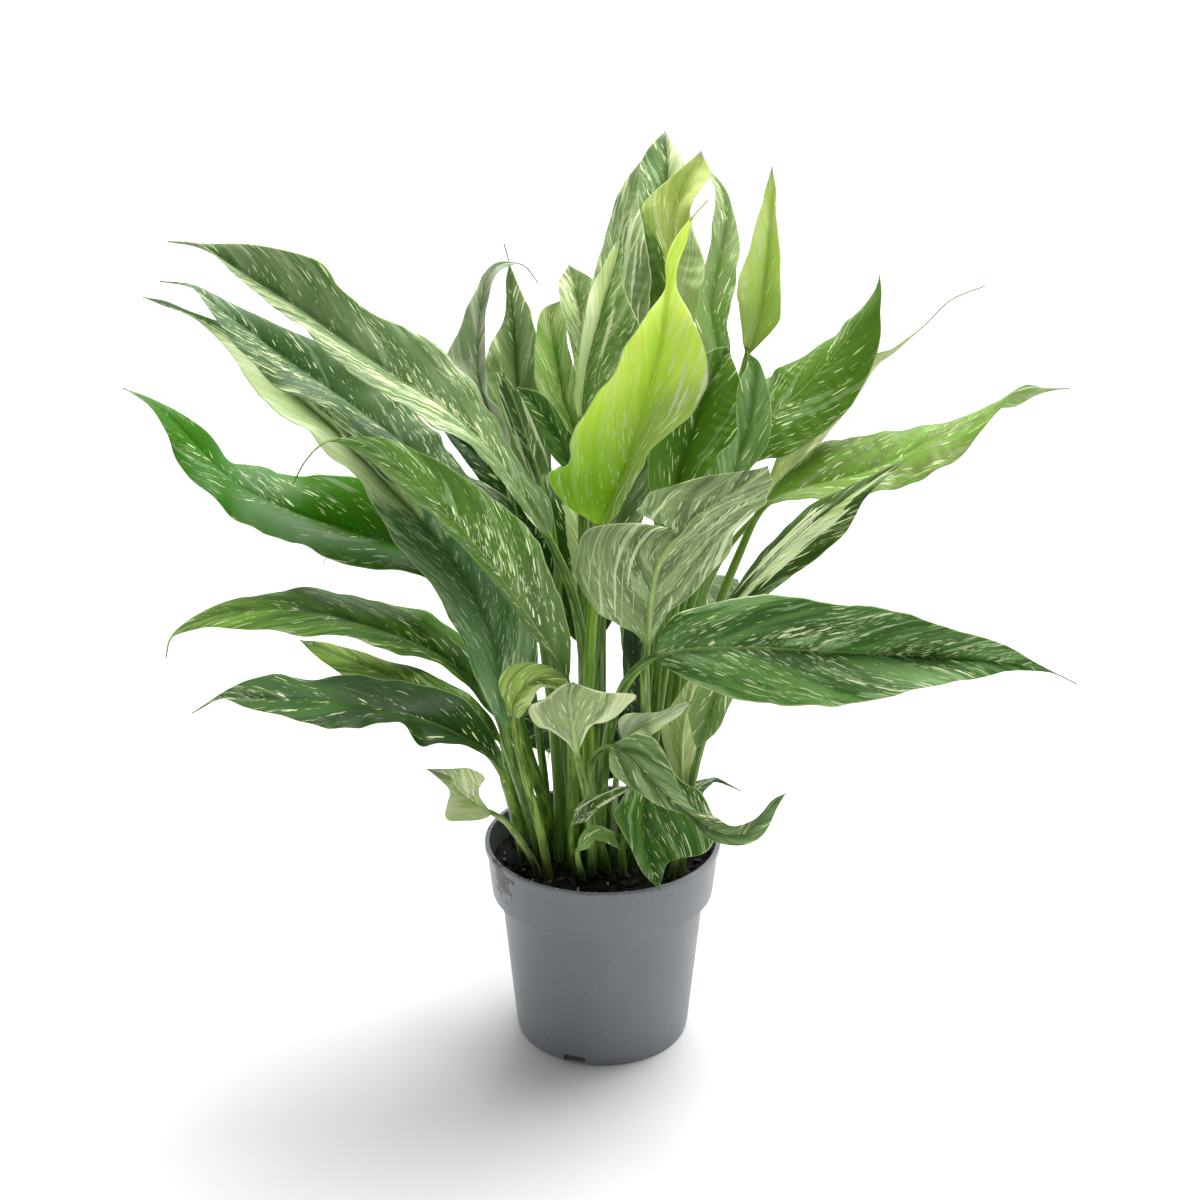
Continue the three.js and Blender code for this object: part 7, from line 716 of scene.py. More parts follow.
    "leaf_27": ("leaf_mid", 6, 14, [
        (400, -338, 910, 0, 0, 0, 0, 0, 0, 28, 96, 4, 209),
        (408, -348, 1058, 0, 0, 0, 0, 0, 0, 32, 88, 35, 201),
        (448, -572, 1458, 0, 0, 0, 0, 0, 0, 31, 91, 27, 193),
        (494, -566, 1693, 0, 0, 0, 0, 0, 0, 26, 96, -8, 185),
        (541, -558, 1918, 0, 0, 0, 0, 0, 0, 26, 96, -7, 177),
        (605, -562, 2138, 0, 0, 0, 0, 0, 0, 27, 96, -5, 169),
        (666, -567, 2359, 1, 0, 0, -1, 0, 0, 33, 92, 22, 137),
        (648, -631, 2361, 63, 19, 14, -82, 4, 5, -4, -27, 96, 115),
        (627, -674, 2328, 90, -47, 19, -89, 2, 31, -14, -69, 71, 94),
        (609, -701, 2285, 78, -58, 6, -120, -41, 29, -2, -89, 46, 74),
        (591, -720, 2239, 75, -59, 7, -127, -57, 25, 2, -93, 36, 57),
        (573, -737, 2194, 71, -56, 3, -117, -52, 27, 3, -94, 34, 41),
        (554, -753, 2148, 67, -48, -4, -94, -35, 29, 0, -94, 35, 30),
        (534, -770, 2104, 54, -37, -7, -63, -15, 25, -7, -92, 37, 30),
        (515, -786, 2059, 28, -15, -5, -32, -4, 14, -6, -93, 36, 30),
        (504, -800, 2021, 0, 0, 0, 0, 0, 0, -6, -93, 36, 30),
    ]),
    "leaf_28": ("leaf_pale", 6, 14, [
        (463, -280, 904, 0, 0, 0, 0, 0, 0, 31, 95, 0, 220),
        (463, -280, 1054, 0, 0, 0, 0, 0, 0, 31, 95, -2, 212),
        (465, -275, 1135, 0, 0, 0, 0, 0, 0, 31, 95, -7, 203),
        (467, -270, 1215, 0, 0, 0, 0, 0, 0, 31, 95, -6, 195),
        (470, -266, 1297, 0, 0, 0, 0, 0, 0, 31, 95, -3, 187),
        (474, -267, 1381, 0, 0, 0, 0, 0, 0, 31, 95, 3, 178),
        (478, -275, 1470, 0, 0, 0, 0, 0, 0, 31, 94, 14, 144),
        (465, -291, 1563, 21, 4, 2, -33, 22, 2, 30, 93, 23, 121),
        (456, -314, 1654, 40, 13, 5, -56, 34, 5, 21, 95, 25, 99),
        (452, -336, 1745, 65, 29, 6, -81, 46, 9, 12, 96, 24, 78),
        (451, -357, 1833, 85, 48, -4, -106, 60, 11, 8, 98, 20, 60),
        (455, -371, 1917, 98, 61, -19, -120, 59, 12, 1, 99, 15, 43),
        (465, -382, 1998, 95, 65, -22, -103, 45, 9, -8, 99, 13, 30),
        (480, -391, 2078, 84, 55, -18, -77, 29, 8, -14, 98, 13, 30),
        (495, -399, 2156, 67, 33, -14, -51, 14, 8, -16, 99, 0, 30),
        (519, -386, 2285, 0, 0, 0, 0, 0, 0, -17, 98, -7, 30),
    ]),
    "leaf_29": ("leaf_pale", 6, 14, [
        (91, -134, 905, 0, 0, 0, 0, 0, 0, -89, -46, -7, 198),
        (91, -157, 1051, 0, 0, 0, 0, 0, 0, -89, -43, -16, 191),
        (91, -270, 1273, 0, 0, 0, 0, 0, 0, -89, -39, -22, 183),
        (94, -403, 1479, 0, 0, 0, 0, 0, 0, -89, -39, -23, 176),
        (98, -530, 1675, 0, 0, 0, 0, 0, 0, -89, -40, -21, 168),
        (109, -636, 1848, 0, 0, 0, 0, 0, 0, -89, -44, -14, 161),
        (130, -698, 2001, -1, 2, 1, 1, -2, -1, -87, -50, -2, 130),
        (160, -733, 2058, -53, 51, 48, 10, -44, -16, -70, -66, 27, 109),
        (193, -731, 2083, -57, 38, 73, 22, -63, -25, -25, -77, 59, 89),
        (227, -721, 2102, -45, 22, 68, 16, -68, -39, -31, -81, 50, 71),
        (262, -730, 2127, -37, 15, 49, 3, -55, -51, -77, -63, 13, 54),
        (295, -789, 2174, -26, 10, 34, 1, -45, -49, -86, -50, 6, 38),
        (329, -835, 2214, -15, 5, 21, 4, -42, -39, -82, -54, 16, 30),
        (363, -871, 2248, -13, 4, 20, 8, -34, -30, -73, -66, 19, 30),
        (397, -893, 2276, -10, 8, 17, 11, -24, -24, -47, -80, 37, 30),
        (475, -900, 2327, 0, 0, 0, 0, 0, 0, -36, -82, 44, 30),
    ]),
    "leaf_30": ("leaf_pale", 6, 14, [
        (-29, -286, 906, 0, 0, 0, 0, 0, 0, -48, 87, 14, 275),
        (-29, -309, 1052, 0, 0, 0, 0, 0, 0, -50, 78, 38, 265),
        (-26, -480, 1307, 0, 0, 0, 0, 0, 0, -50, 72, 47, 254),
        (-34, -613, 1512, 0, 0, 0, 0, 0, 0, -50, 76, 42, 244),
        (-48, -707, 1686, 0, 0, 0, 0, 0, 0, -50, 78, 39, 233),
        (-70, -805, 1853, 0, 0, 0, 0, 0, 0, -50, 77, 41, 223),
        (-94, -914, 2019, 0, 0, 0, 0, 0, 0, -51, 69, 51, 180),
        (-100, -1022, 2121, 30, 24, 22, -20, 2, 0, -52, 61, 60, 151),
        (-104, -1096, 2196, 61, 42, 33, -47, 10, 1, -38, 71, 59, 123),
        (-109, -1141, 2257, 95, 70, 19, -115, 59, -8, -11, 84, 53, 98),
        (-113, -1171, 2312, 146, 100, -29, -172, 111, -56, 0, 91, 42, 75),
        (-120, -1189, 2363, 207, 83, -32, -207, 118, -52, 7, 95, 31, 53),
        (-124, -1203, 2413, 267, 48, -6, -201, 110, -35, 11, 96, 26, 35),
        (-126, -1216, 2464, 317, 12, 16, -125, 82, -29, 13, 96, 23, 30),
        (-120, -1228, 2516, 163, -7, -13, -53, 45, 6, 25, 95, 18, 30),
        (-110, -1240, 2567, 0, 0, 0, 0, 0, 0, 25, 95, 17, 30),
    ]),
    "leaf_31": ("leaf_pale", 6, 14, [
        (-258, -319, 905, 0, 0, 0, 0, 0, 0, -33, -94, -7, 264),
        (-263, -329, 1054, 0, 0, 0, 0, 0, 0, -32, -92, -21, 254),
        (-291, -392, 1285, 0, 0, 0, 0, 0, 0, -30, -88, -37, 244),
        (-327, -501, 1521, 0, 0, 0, 0, 0, 0, -29, -85, -44, 234),
        (-363, -605, 1748, 0, 0, 0, 0, 0, 0, -30, -86, -41, 224),
        (-397, -686, 1956, 0, 0, 0, 0, 0, 0, -31, -90, -32, 214),
        (-417, -727, 2143, -27, 4, -1, 28, -15, -3, -31, -90, -30, 173),
        (-420, -767, 2218, -29, -1, 0, 48, -43, -14, -49, -79, -37, 145),
        (-411, -792, 2272, -49, -5, 8, 57, -57, -29, -49, -84, -25, 119),
        (-392, -813, 2321, -87, -26, 28, 56, -57, -39, -33, -90, -29, 94),
        (-362, -841, 2365, -115, -48, 75, 48, -56, -34, -31, -87, -39, 72),
        (-323, -878, 2410, -99, -60, 117, 28, -45, -33, -37, -84, -40, 51),
        (-275, -915, 2442, -55, -51, 121, 8, -26, -32, -46, -83, -33, 33),
        (-221, -950, 2449, -16, -30, 99, -5, -16, -28, -48, -87, -14, 30),
        (-168, -973, 2438, 7, -8, 51, -9, -12, -22, -29, -95, 12, 30),
        (-114, -987, 2413, 0, 0, 0, 0, 0, 0, -21, -97, 9, 30),
    ]),
    "leaf_32": ("leaf_mid", 6, 14, [
        (63, -268, 905, 0, 0, 0, 0, 0, 0, -94, 33, -1, 231),
        (57, -284, 1053, 0, 0, 0, 0, 0, 0, -94, 34, -2, 222),
        (16, -373, 1284, 0, 0, 0, 0, 0, 0, -95, 33, 0, 214),
        (-8, -476, 1494, 0, 0, 0, 0, 0, 0, -95, 30, 6, 205),
        (-23, -589, 1701, 0, 0, 0, 0, 0, 0, -96, 27, 11, 196),
        (-24, -701, 1898, 0, 0, 0, 0, 0, 0, -94, 15, 32, 187),
        (55, -790, 2023, 0, 0, 0, 0, 0, 0, -61, -29, 74, 151),
        (167, -854, 1997, 71, 41, 118, -94, -65, -49, -4, -83, 56, 127),
        (261, -884, 1898, 83, -5, 128, -76, -57, -40, 4, -96, 26, 104),
        (359, -901, 1797, 49, -24, 76, -41, -37, -30, -6, -98, 18, 82),
        (466, -929, 1718, 19, -19, 40, -10, -9, -10, -32, -95, -1, 63),
        (575, -971, 1655, 7, -1, 78, -14, -30, -39, -24, -93, 28, 45),
        (701, -1013, 1638, -22, 7, 52, 7, -43, -33, -29, -87, 41, 30),
        (806, -1017, 1718, -13, 4, 21, 18, -56, -42, -46, -75, 48, 30),
        (885, -1011, 1819, -13, 13, 12, 13, -16, -12, -52, -74, 41, 30),
        (937, -1020, 1879, 0, 0, 0, 0, 0, 0, -56, -74, 37, 30),
    ]),
    "leaf_33": ("leaf_dark", 6, 14, [
        (141, -319, 905, 0, 0, 0, 0, 0, 0, -18, 98, 3, 242),
        (140, -325, 1055, 0, 0, 0, 0, 0, 0, -18, 98, 9, 233),
        (136, -350, 1211, 0, 0, 0, 0, 0, 0, -17, 96, 20, 224),
        (154, -385, 1356, 0, 0, 0, 0, 0, 0, -16, 95, 27, 215),
        (175, -423, 1494, 0, 0, 0, 0, 0, 0, -16, 94, 31, 205),
        (210, -462, 1617, 0, 0, 0, 0, 0, 0, -14, 93, 35, 196),
        (262, -495, 1717, 0, 0, 0, 0, 0, 0, 2, 72, 69, 158),
        (260, -547, 1704, 87, -9, 103, -73, -30, 15, -37, -50, 78, 133),
        (252, -589, 1653, 202, -37, 89, -126, -136, 42, 19, -86, 48, 109),
        (243, -617, 1585, 293, -4, 106, -143, -203, 81, 38, -88, 28, 86),
        (239, -640, 1512, 346, 20, 77, -119, -228, 89, 46, -85, 26, 66),
        (249, -660, 1437, 378, 33, 37, -96, -202, 78, 44, -83, 35, 47),
        (267, -686, 1369, 303, 12, 0, -76, -148, 55, 40, -81, 44, 30),
        (288, -713, 1303, 93, -2, 33, -56, -76, 15, 35, -82, 46, 30),
        (312, -740, 1239, 27, -3, 12, -27, -11, -5, 0, -91, 41, 30),
        (329, -760, 1198, 0, 0, 0, 0, 0, 0, -1, -90, 43, 30),
    ]),
    "leaf_34": ("leaf_dark", 5, 13, [
        (347, -303, 902, 0, 0, 0, 0, 0, 0, 33, -94, 4, 176),
        (353, -295, 1050, 0, 0, 0, 0, 0, 0, 33, -94, 4, 168),
        (368, -287, 1109, 0, 0, 0, 0, 0, 0, 32, -95, 2, 160),
        (382, -282, 1175, 0, 0, 0, 0, 0, 0, 31, -95, -6, 152),
        (394, -287, 1251, 0, 0, 0, 0, 0, 0, 30, -94, -15, 144),
        (404, -300, 1335, 0, 0, 0, 0, 0, 0, 28, -92, -29, 115),
        (418, -326, 1399, -26, -11, 4, 36, 12, -6, 25, -88, -40, 97),
        (436, -345, 1453, -44, -18, 14, 59, 19, -20, 22, -92, -33, 79),
        (459, -350, 1496, -53, -26, 28, 65, 24, -36, 29, -94, -21, 63),
        (487, -347, 1531, -52, -33, 48, 59, 29, -55, 37, -92, -15, 48),
        (520, -337, 1560, -33, -39, 62, 38, 36, -71, 41, -87, -27, 34),
        (557, -331, 1584, -14, -46, 53, 15, 42, -58, 37, -77, -52, 30),
        (601, -328, 1605, -5, -42, 39, 5, 40, -42, 25, -69, -68, 30),
        (646, -329, 1616, 0, -28, 24, 0, 27, -25, -28, -64, -72, 30),
        (768, -354, 1563, 0, 0, 0, 0, 0, 0, -41, -61, -68, 30),
    ]),
    "leaf_35": ("leaf_pale", 6, 14, [
        (-78, -349, 906, 0, 0, 0, 0, 0, 0, -94, -33, -7, 187),
        (-79, -375, 1048, 0, 0, 0, 0, 0, 0, -94, -30, -14, 180),
        (-83, -435, 1122, 0, 0, 0, 0, 0, 0, -95, -20, -25, 173),
        (-89, -502, 1184, 0, 0, 0, 0, 0, 0, -94, -18, -28, 166),
        (-94, -567, 1242, 0, 0, 0, 0, 0, 0, -95, -18, -27, 159),
        (-98, -625, 1300, 0, 0, 0, 0, 0, 0, -95, -21, -23, 152),
        (-101, -666, 1363, 0, 0, 0, 0, 0, 0, -95, -28, -14, 122),
        (-92, -698, 1407, -6, 15, 12, 6, -15, -12, -92, -38, 0, 103),
        (-79, -719, 1440, -12, 28, 20, 11, -27, -20, -87, -47, 14, 84),
        (-63, -734, 1467, -12, 39, 26, 12, -39, -26, -82, -47, 33, 67),
        (-43, -747, 1492, -7, 47, 31, 7, -48, -31, -75, -44, 49, 51),
        (-19, -759, 1512, 11, 45, 32, -12, -47, -32, -62, -34, 71, 36),
        (6, -771, 1523, 24, 42, 23, -24, -42, -19, -34, -25, 91, 30),
        (35, -786, 1524, 26, 38, 16, -24, -37, -10, -9, -28, 96, 30),
        (63, -806, 1518, 25, 30, 13, -21, -28, -8, 22, -47, 85, 30),
        (119, -840, 1473, 0, 0, 0, 0, 0, 0, 31, -53, 79, 30),
    ]),
    "leaf_36": ("leaf_pale", 6, 14, [
        (-118, -293, 906, 0, 0, 0, 0, 0, 0, -93, -37, -6, 176),
        (-120, -315, 1050, 0, 0, 0, 0, 0, 0, -93, -34, -15, 169),
        (-125, -383, 1158, 0, 0, 0, 0, 0, 0, -93, -28, -24, 163),
        (-131, -455, 1257, 0, 0, 0, 0, 0, 0, -93, -27, -25, 156),
        (-135, -526, 1352, 0, 0, 0, 0, 0, 0, -93, -29, -23, 149),
        (-134, -594, 1440, 0, 0, 0, 0, 0, 0, -93, -32, -19, 143),
        (-125, -659, 1526, 0, 0, 0, 0, 0, 0, -92, -37, -13, 115),
        (-100, -731, 1591, -13, 20, 25, 8, -17, -19, -90, -42, -9, 97),
        (-73, -798, 1650, -18, 33, 39, 9, -26, -28, -91, -42, 1, 79),
        (-46, -844, 1697, -13, 39, 39, 6, -35, -32, -88, -43, 22, 63),
        (-20, -865, 1730, -9, 46, 25, 6, -47, -22, -61, -43, 66, 48),
        (7, -848, 1743, 4, 40, 23, -6, -44, -24, -71, -28, 65, 34),
        (36, -888, 1782, 10, 27, 25, -11, -31, -28, -88, -10, 47, 30),
        (66, -951, 1830, 11, 25, 23, -11, -27, -25, -89, -5, 45, 30),
        (96, -1030, 1884, 10, 23, 19, -9, -23, -20, -81, -15, 57, 30),
        (183, -1099, 1956, 0, 0, 0, 0, 0, 0, -73, -24, 64, 30),
    ]),
    "leaf_37": ("leaf_dark", 9, 21, [
        (252, -40, 908, 0, 0, 0, 0, 0, 0, 27, -96, -2, 283),
        (253, -43, 1058, 0, 0, 0, 0, 0, 0, 27, -94, -20, 274),
        (262, -128, 1349, 0, 0, 0, 0, 0, 0, 27, -95, -16, 265),
        (279, -123, 1591, 0, 0, 0, 0, 0, 0, 31, -94, 13, 256),
        (302, -56, 1792, 0, 0, 0, 0, 0, 0, 31, -93, 17, 247),
        (320, -32, 2017, 0, 0, 0, 0, 0, 0, 31, -95, -2, 238),
        (331, -55, 2261, 0, 0, 0, 0, 0, 0, 30, -95, -11, 229),
        (343, -80, 2504, 0, 0, 0, 0, 0, 0, 30, -95, -10, 220),
        (355, -97, 2739, 0, 0, 0, 0, 0, 0, 31, -95, -4, 211),
        (371, -91, 2965, -2, -1, 0, 2, 1, 0, 31, -95, -4, 173),
        (386, -100, 3069, -88, -56, 23, 38, -14, -1, 30, -95, -6, 153),
        (403, -93, 3149, -134, -91, 55, 81, -50, 17, 21, -97, 11, 134),
        (422, -75, 3222, -155, -121, 75, 126, -98, 34, 11, -96, 24, 117),
        (443, -52, 3292, -170, -143, 88, 164, -139, 32, 6, -95, 30, 100),
        (467, -29, 3361, -186, -156, 98, 195, -159, 18, 6, -95, 31, 83),
        (490, -5, 3429, -182, -162, 96, 216, -157, 10, 8, -95, 30, 68),
        (514, 18, 3496, -172, -159, 88, 213, -143, 8, 10, -95, 29, 54),
        (538, 42, 3563, -161, -146, 81, 200, -125, 8, 11, -95, 29, 41),
        (563, 65, 3630, -152, -124, 77, 181, -104, 7, 12, -95, 29, 30),
        (591, 88, 3695, -135, -95, 70, 150, -80, 3, 12, -95, 29, 30),
        (623, 112, 3758, -98, -59, 57, 100, -53, -8, 12, -95, 29, 30),
        (656, 135, 3820, -49, -25, 33, 37, -16, -8, 21, -95, 23, 30),
        (687, 150, 3858, 0, 0, 0, 0, 0, 0, 20, -96, 21, 30),
    ]),
    "leaf_38": ("leaf_grey", 9, 21, [
        (385, -61, 905, 0, 0, 0, 0, 0, 0, 25, -97, -2, 260),
        (388, -64, 1055, 0, 0, 0, 0, 0, 0, 25, -97, -6, 251),
        (405, -82, 1320, 0, 0, 0, 0, 0, 0, 25, -96, -9, 243),
        (433, -101, 1582, 0, 0, 0, 0, 0, 0, 25, -96, -9, 235),
        (463, -118, 1840, 0, 0, 0, 0, 0, 0, 25, -96, -10, 226),
        (492, -139, 2099, 0, 0, 0, 0, 0, 0, 25, -96, -11, 218),
        (520, -164, 2357, 0, 0, 0, 0, 0, 0, 25, -96, -12, 210),
        (550, -186, 2612, 0, 0, 0, 0, 0, 0, 25, -96, -11, 201),
        (594, -199, 2857, 0, 0, 0, 0, 0, 0, 25, -96, -8, 193),
        (662, -195, 3088, 0, 0, 0, 0, 0, 0, 25, -96, -11, 158),
        (678, -214, 3181, -36, -22, 8, 17, -7, -4, 23, -95, -18, 140),
        (691, -219, 3249, -64, -42, 18, 36, -12, -7, 27, -96, -5, 123),
        (704, -213, 3311, -89, -60, 22, 68, -33, -4, 19, -98, 9, 107),
        (719, -202, 3370, -106, -56, 22, 100, -59, 3, 0, -98, 18, 91),
        (739, -191, 3428, -60, -33, 15, 114, -87, 10, -28, -92, 27, 76),
        (756, -179, 3485, -46, -20, 13, 112, -100, 17, -44, -85, 29, 63),
        (770, -168, 3543, -69, -32, 17, 106, -83, 15, -26, -94, 23, 50),
        (779, -157, 3602, -82, -45, 19, 97, -65, 10, -10, -97, 20, 38),
        (786, -145, 3661, -88, -50, 17, 86, -48, 7, 3, -98, 19, 30),
        (793, -134, 3720, -85, -49, 10, 68, -30, 8, 12, -98, 18, 30),
        (798, -122, 3778, -68, -38, 0, 44, -15, 9, 18, -96, 21, 30),
        (787, -109, 3836, -25, -6, -7, 26, -4, 9, -3, -98, 19, 30),
        (756, -100, 3885, 0, 0, 0, 0, 0, 0, -2, -98, 18, 30),
    ]),
    "leaf_39": ("leaf_grey", 9, 21, [
        (-170, -24, 905, 0, 0, 0, 0, 0, 0, 20, 98, -1, 236),
        (-167, -23, 1055, 0, 0, 0, 0, 0, 0, 20, 98, -1, 228),
        (-152, -23, 1304, 0, 0, 0, 0, 0, 0, 20, 98, -2, 221),
        (-163, -14, 1548, 0, 0, 0, 0, 0, 0, 21, 98, -3, 213),
        (-190, 2, 1789, 0, 0, 0, 0, 0, 0, 21, 98, -4, 206),
        (-201, 15, 2032, 0, 0, 0, 0, 0, 0, 21, 98, -3, 198),
        (-200, 18, 2279, 0, 0, 0, 0, 0, 0, 21, 98, -1, 191),
        (-202, 22, 2524, 0, 0, 0, 0, 0, 0, 21, 98, -2, 183),
        (-216, 31, 2762, 0, 0, 0, 0, 0, 0, 21, 98, -5, 176),
        (-245, 54, 2991, 0, 0, 0, 0, 0, 0, 20, 98, 0, 144),
        (-266, 43, 3075, 24, 2, 5, -30, 12, -6, 16, 97, 15, 128),
        (-284, 38, 3137, 31, 14, 6, -39, 19, -10, 6, 100, 5, 112),
        (-299, 39, 3194, 46, 26, 11, -45, 17, -14, -9, 99, -6, 97),
        (-316, 41, 3250, 60, 35, 16, -51, 17, -17, -14, 99, -9, 83),
        (-334, 44, 3305, 61, 36, 16, -54, 19, -20, -10, 99, -12, 70),
        (-352, 51, 3358, 59, 32, 13, -58, 23, -23, -2, 99, -17, 57),
        (-369, 62, 3411, 57, 29, 11, -63, 27, -27, 5, 98, -20, 45),
        (-386, 74, 3462, 54, 27, 11, -67, 31, -30, 10, 98, -19, 34),
        (-403, 86, 3514, 48, 24, 12, -70, 34, -33, 14, 98, -15, 30),
        (-422, 95, 3566, 42, 20, 12, -68, 32, -32, 16, 98, -11, 30),
        (-442, 104, 3617, 33, 15, 9, -62, 25, -27, 14, 99, -10, 30),
        (-464, 111, 3667, 19, 9, 5, -42, 12, -16, 9, 99, -12, 30),
        (-479, 120, 3723, 0, 0, 0, 0, 0, 0, 10, 99, -13, 30),
    ]),
    "leaf_40": ("leaf_grey", 9, 21, [
        (-59, 20, 905, 0, 0, 0, 0, 0, 0, 14, -99, 1, 236),
        (-63, 21, 1055, 0, 0, 0, 0, 0, 0, 14, -99, 3, 228),
        (-81, 28, 1320, 0, 0, 0, 0, 0, 0, 14, -99, 4, 221),
        (-83, 38, 1585, 0, 0, 0, 0, 0, 0, 14, -99, 4, 213),
        (-81, 49, 1851, 0, 0, 0, 0, 0, 0, 14, -99, 4, 206),
        (-83, 61, 2116, 0, 0, 0, 0, 0, 0, 14, -99, 5, 198),
        (-87, 76, 2379, 0, 0, 0, 0, 0, 0, 14, -99, 6, 191),
        (-87, 94, 2639, 0, 0, 0, 0, 0, 0, 14, -99, 8, 183),
        (-81, 121, 2891, 0, 0, 0, 0, 0, 0, 14, -98, 14, 176),
        (-105, 164, 3134, 0, 0, 0, 0, 0, 0, 14, -98, 16, 144),
        (-123, 164, 3200, -34, -18, -4, 26, -7, 6, 16, -98, 10, 128),
        (-141, 169, 3240, -56, -30, -9, 49, -14, 18, 10, -97, 21, 112),
        (-159, 177, 3277, -67, -39, -14, 61, -16, 33, 8, -96, 26, 97),
        (-177, 185, 3312, -68, -45, -16, 61, -16, 38, 11, -96, 26, 83),
        (-196, 192, 3348, -65, -48, -19, 58, -15, 36, 15, -96, 23, 70),
        (-216, 196, 3383, -59, -46, -24, 54, -15, 33, 16, -97, 20, 57),
        (-236, 199, 3418, -52, -37, -27, 55, -18, 36, 9, -99, 14, 45),
        (-258, 202, 3451, -46, -32, -28, 57, -21, 42, 2, -99, 13, 34),
        (-282, 207, 3483, -40, -31, -27, 56, -21, 49, -3, -99, 17, 30),
        (-307, 214, 3513, -36, -30, -27, 52, -17, 53, -5, -98, 21, 30),
        (-333, 222, 3541, -32, -28, -26, 43, -11, 49, -4, -97, 25, 30),
        (-361, 230, 3568, -26, -21, -24, 31, -2, 37, -2, -95, 30, 30),
        (-434, 250, 3622, 0, 0, 0, 0, 0, 0, -3, -95, 31, 30),
    ]),
    "leaf_41": ("leaf_mid", 7, 18, [
        (-269, 140, 905, 0, 0, 0, 0, 0, 0, 59, -81, 3, 271),
        (-271, 144, 1055, 0, 0, 0, 0, 0, 0, 59, -81, 9, 260),
        (-283, 165, 1226, 0, 0, 0, 0, 0, 0, 58, -80, 16, 249),
        (-298, 190, 1397, 0, 0, 0, 0, 0, 0, 58, -79, 20, 238),
        (-318, 223, 1565, 0, 0, 0, 0, 0, 0, 57, -79, 23, 227),
        (-340, 259, 1733, 0, 0, 0, 0, 0, 0, 57, -78, 26, 216),
        (-365, 301, 1898, 0, 0, 0, 0, 0, 0, 56, -77, 30, 204),
        (-395, 348, 2061, 0, 0, 0, 0, 0, 0, 55, -75, 35, 166),
        (-429, 407, 2226, -85, -99, 11, 118, 55, 16, 54, -73, 43, 145),
        (-481, 476, 2385, -111, -156, 27, 168, 92, 30, 55, -63, 54, 126),
        (-559, 552, 2528, -119, -196, 46, 190, 130, 44, 54, -51, 66, 108),
        (-661, 628, 2650, -131, -211, 63, 192, 158, 62, 42, -37, 83, 90),
        (-784, 735, 2724, -148, -204, 74, 179, 177, 74, 20, -17, 96, 74),
        (-920, 851, 2744, -152, -190, 74, 150, 191, 74, -1, 1, 100, 59),
        (-1063, 957, 2718, -142, -173, 66, 117, 190, 66, -18, 13, 98, 45),
        (-1205, 1055, 2665, -124, -146, 53, 87, 172, 53, -31, 21, 93, 32),
        (-1340, 1138, 2587, -98, -113, 36, 58, 138, 35, -43, 27, 86, 30),
        (-1466, 1209, 2487, -60, -71, 19, 33, 86, 20, -54, 32, 78, 30),
        (-1580, 1266, 2368, 0, 0, 0, 0, 0, 0, -63, 37, 69, 30),
        (-1649, 1321, 2260, 0, 0, 0, 0, 0, 0, -67, 39, 63, 30),
    ]),
    "leaf_42": ("leaf_dark", 7, 18, [
        (-47, 266, 906, 0, 0, 0, 0, 0, 0, 11, -99, 2, 271),
        (-48, 269, 1056, 0, 0, 0, 0, 0, 0, 11, -99, 1, 260),
        (-48, 271, 1227, 0, 0, 0, 0, 0, 0, 11, -97, 20, 249),
        (-49, 335, 1374, 0, 0, 0, 0, 0, 0, 12, -79, 60, 238),
        (-50, 466, 1487, 0, 0, 0, 0, 0, 0, 12, -74, 67, 227),
        (-51, 559, 1621, 0, 0, 0, 0, 0, 0, 13, -93, 34, 216),
        (-53, 575, 1791, 0, 0, 0, 0, 0, 0, 15, -99, -2, 204),
        (-56, 549, 1979, 0, 0, 0, 0, 0, 0, 15, -98, -10, 166),
        (-61, 534, 2169, -126, -50, 2, 136, -11, 6, 15, -99, 1, 145),
        (-68, 551, 2346, -185, -79, 13, 199, -23, 15, 14, -97, 19, 126),
        (-75, 597, 2512, -219, -103, 24, 241, -23, 24, 16, -94, 31, 108),
        (-89, 655, 2673, -228, -131, 38, 263, 2, 38, 23, -86, 46, 90),
        (-120, 747, 2814, -225, -144, 56, 264, 38, 56, 25, -68, 69, 74),
        (-172, 869, 2917, -223, -121, 73, 243, 72, 73, 14, -33, 93, 59),
        (-237, 1019, 2928, -218, -79, 69, 206, 106, 69, -8, 19, 98, 45),
        (-299, 1154, 2849, -195, -51, 48, 165, 114, 49, -24, 52, 82, 32),
        (-354, 1260, 2741, -153, -33, 29, 126, 94, 29, -31, 68, 67, 30),
        (-397, 1348, 2610, -95, -18, 16, 78, 57, 14, -33, 78, 53, 30),
        (-429, 1417, 2464, 0, 0, 0, 0, 0, 0, -35, 81, 47, 30),
        (-449, 1483, 2340, 0, 0, 0, 0, 0, 0, -35, 81, 48, 30),
    ]),
    "leaf_43": ("leaf_mid", 7, 18, [
        (171, 277, 905, 0, 0, 0, 0, 0, 0, -43, -90, 3, 271),
        (173, 281, 1055, 0, 0, 0, 0, 0, 0, -43, -90, 7, 260),
        (180, 293, 1187, 0, 0, 0, 0, 0, 0, -43, -90, 8, 249),
        (191, 298, 1327, 0, 0, 0, 0, 0, 0, -42, -90, 12, 238),
        (204, 320, 1460, 0, 0, 0, 0, 0, 0, -41, -88, 24, 227),
        (219, 355, 1585, 0, 0, 0, 0, 0, 0, -40, -84, 36, 216),
        (237, 407, 1703, 0, 0, 0, 0, 0, 0, -39, -80, 45, 204),
        (258, 468, 1818, 0, 0, 0, 0, 0, 0, -38, -78, 51, 166),
        (285, 537, 1939, -126, 32, 15, 103, -78, 18, -37, -75, 55, 145),
        (317, 614, 2057, -186, 45, 32, 150, -118, 31, -34, -71, 62, 126),
        (359, 699, 2164, -220, 62, 49, 181, -140, 50, -32, -63, 71, 108),
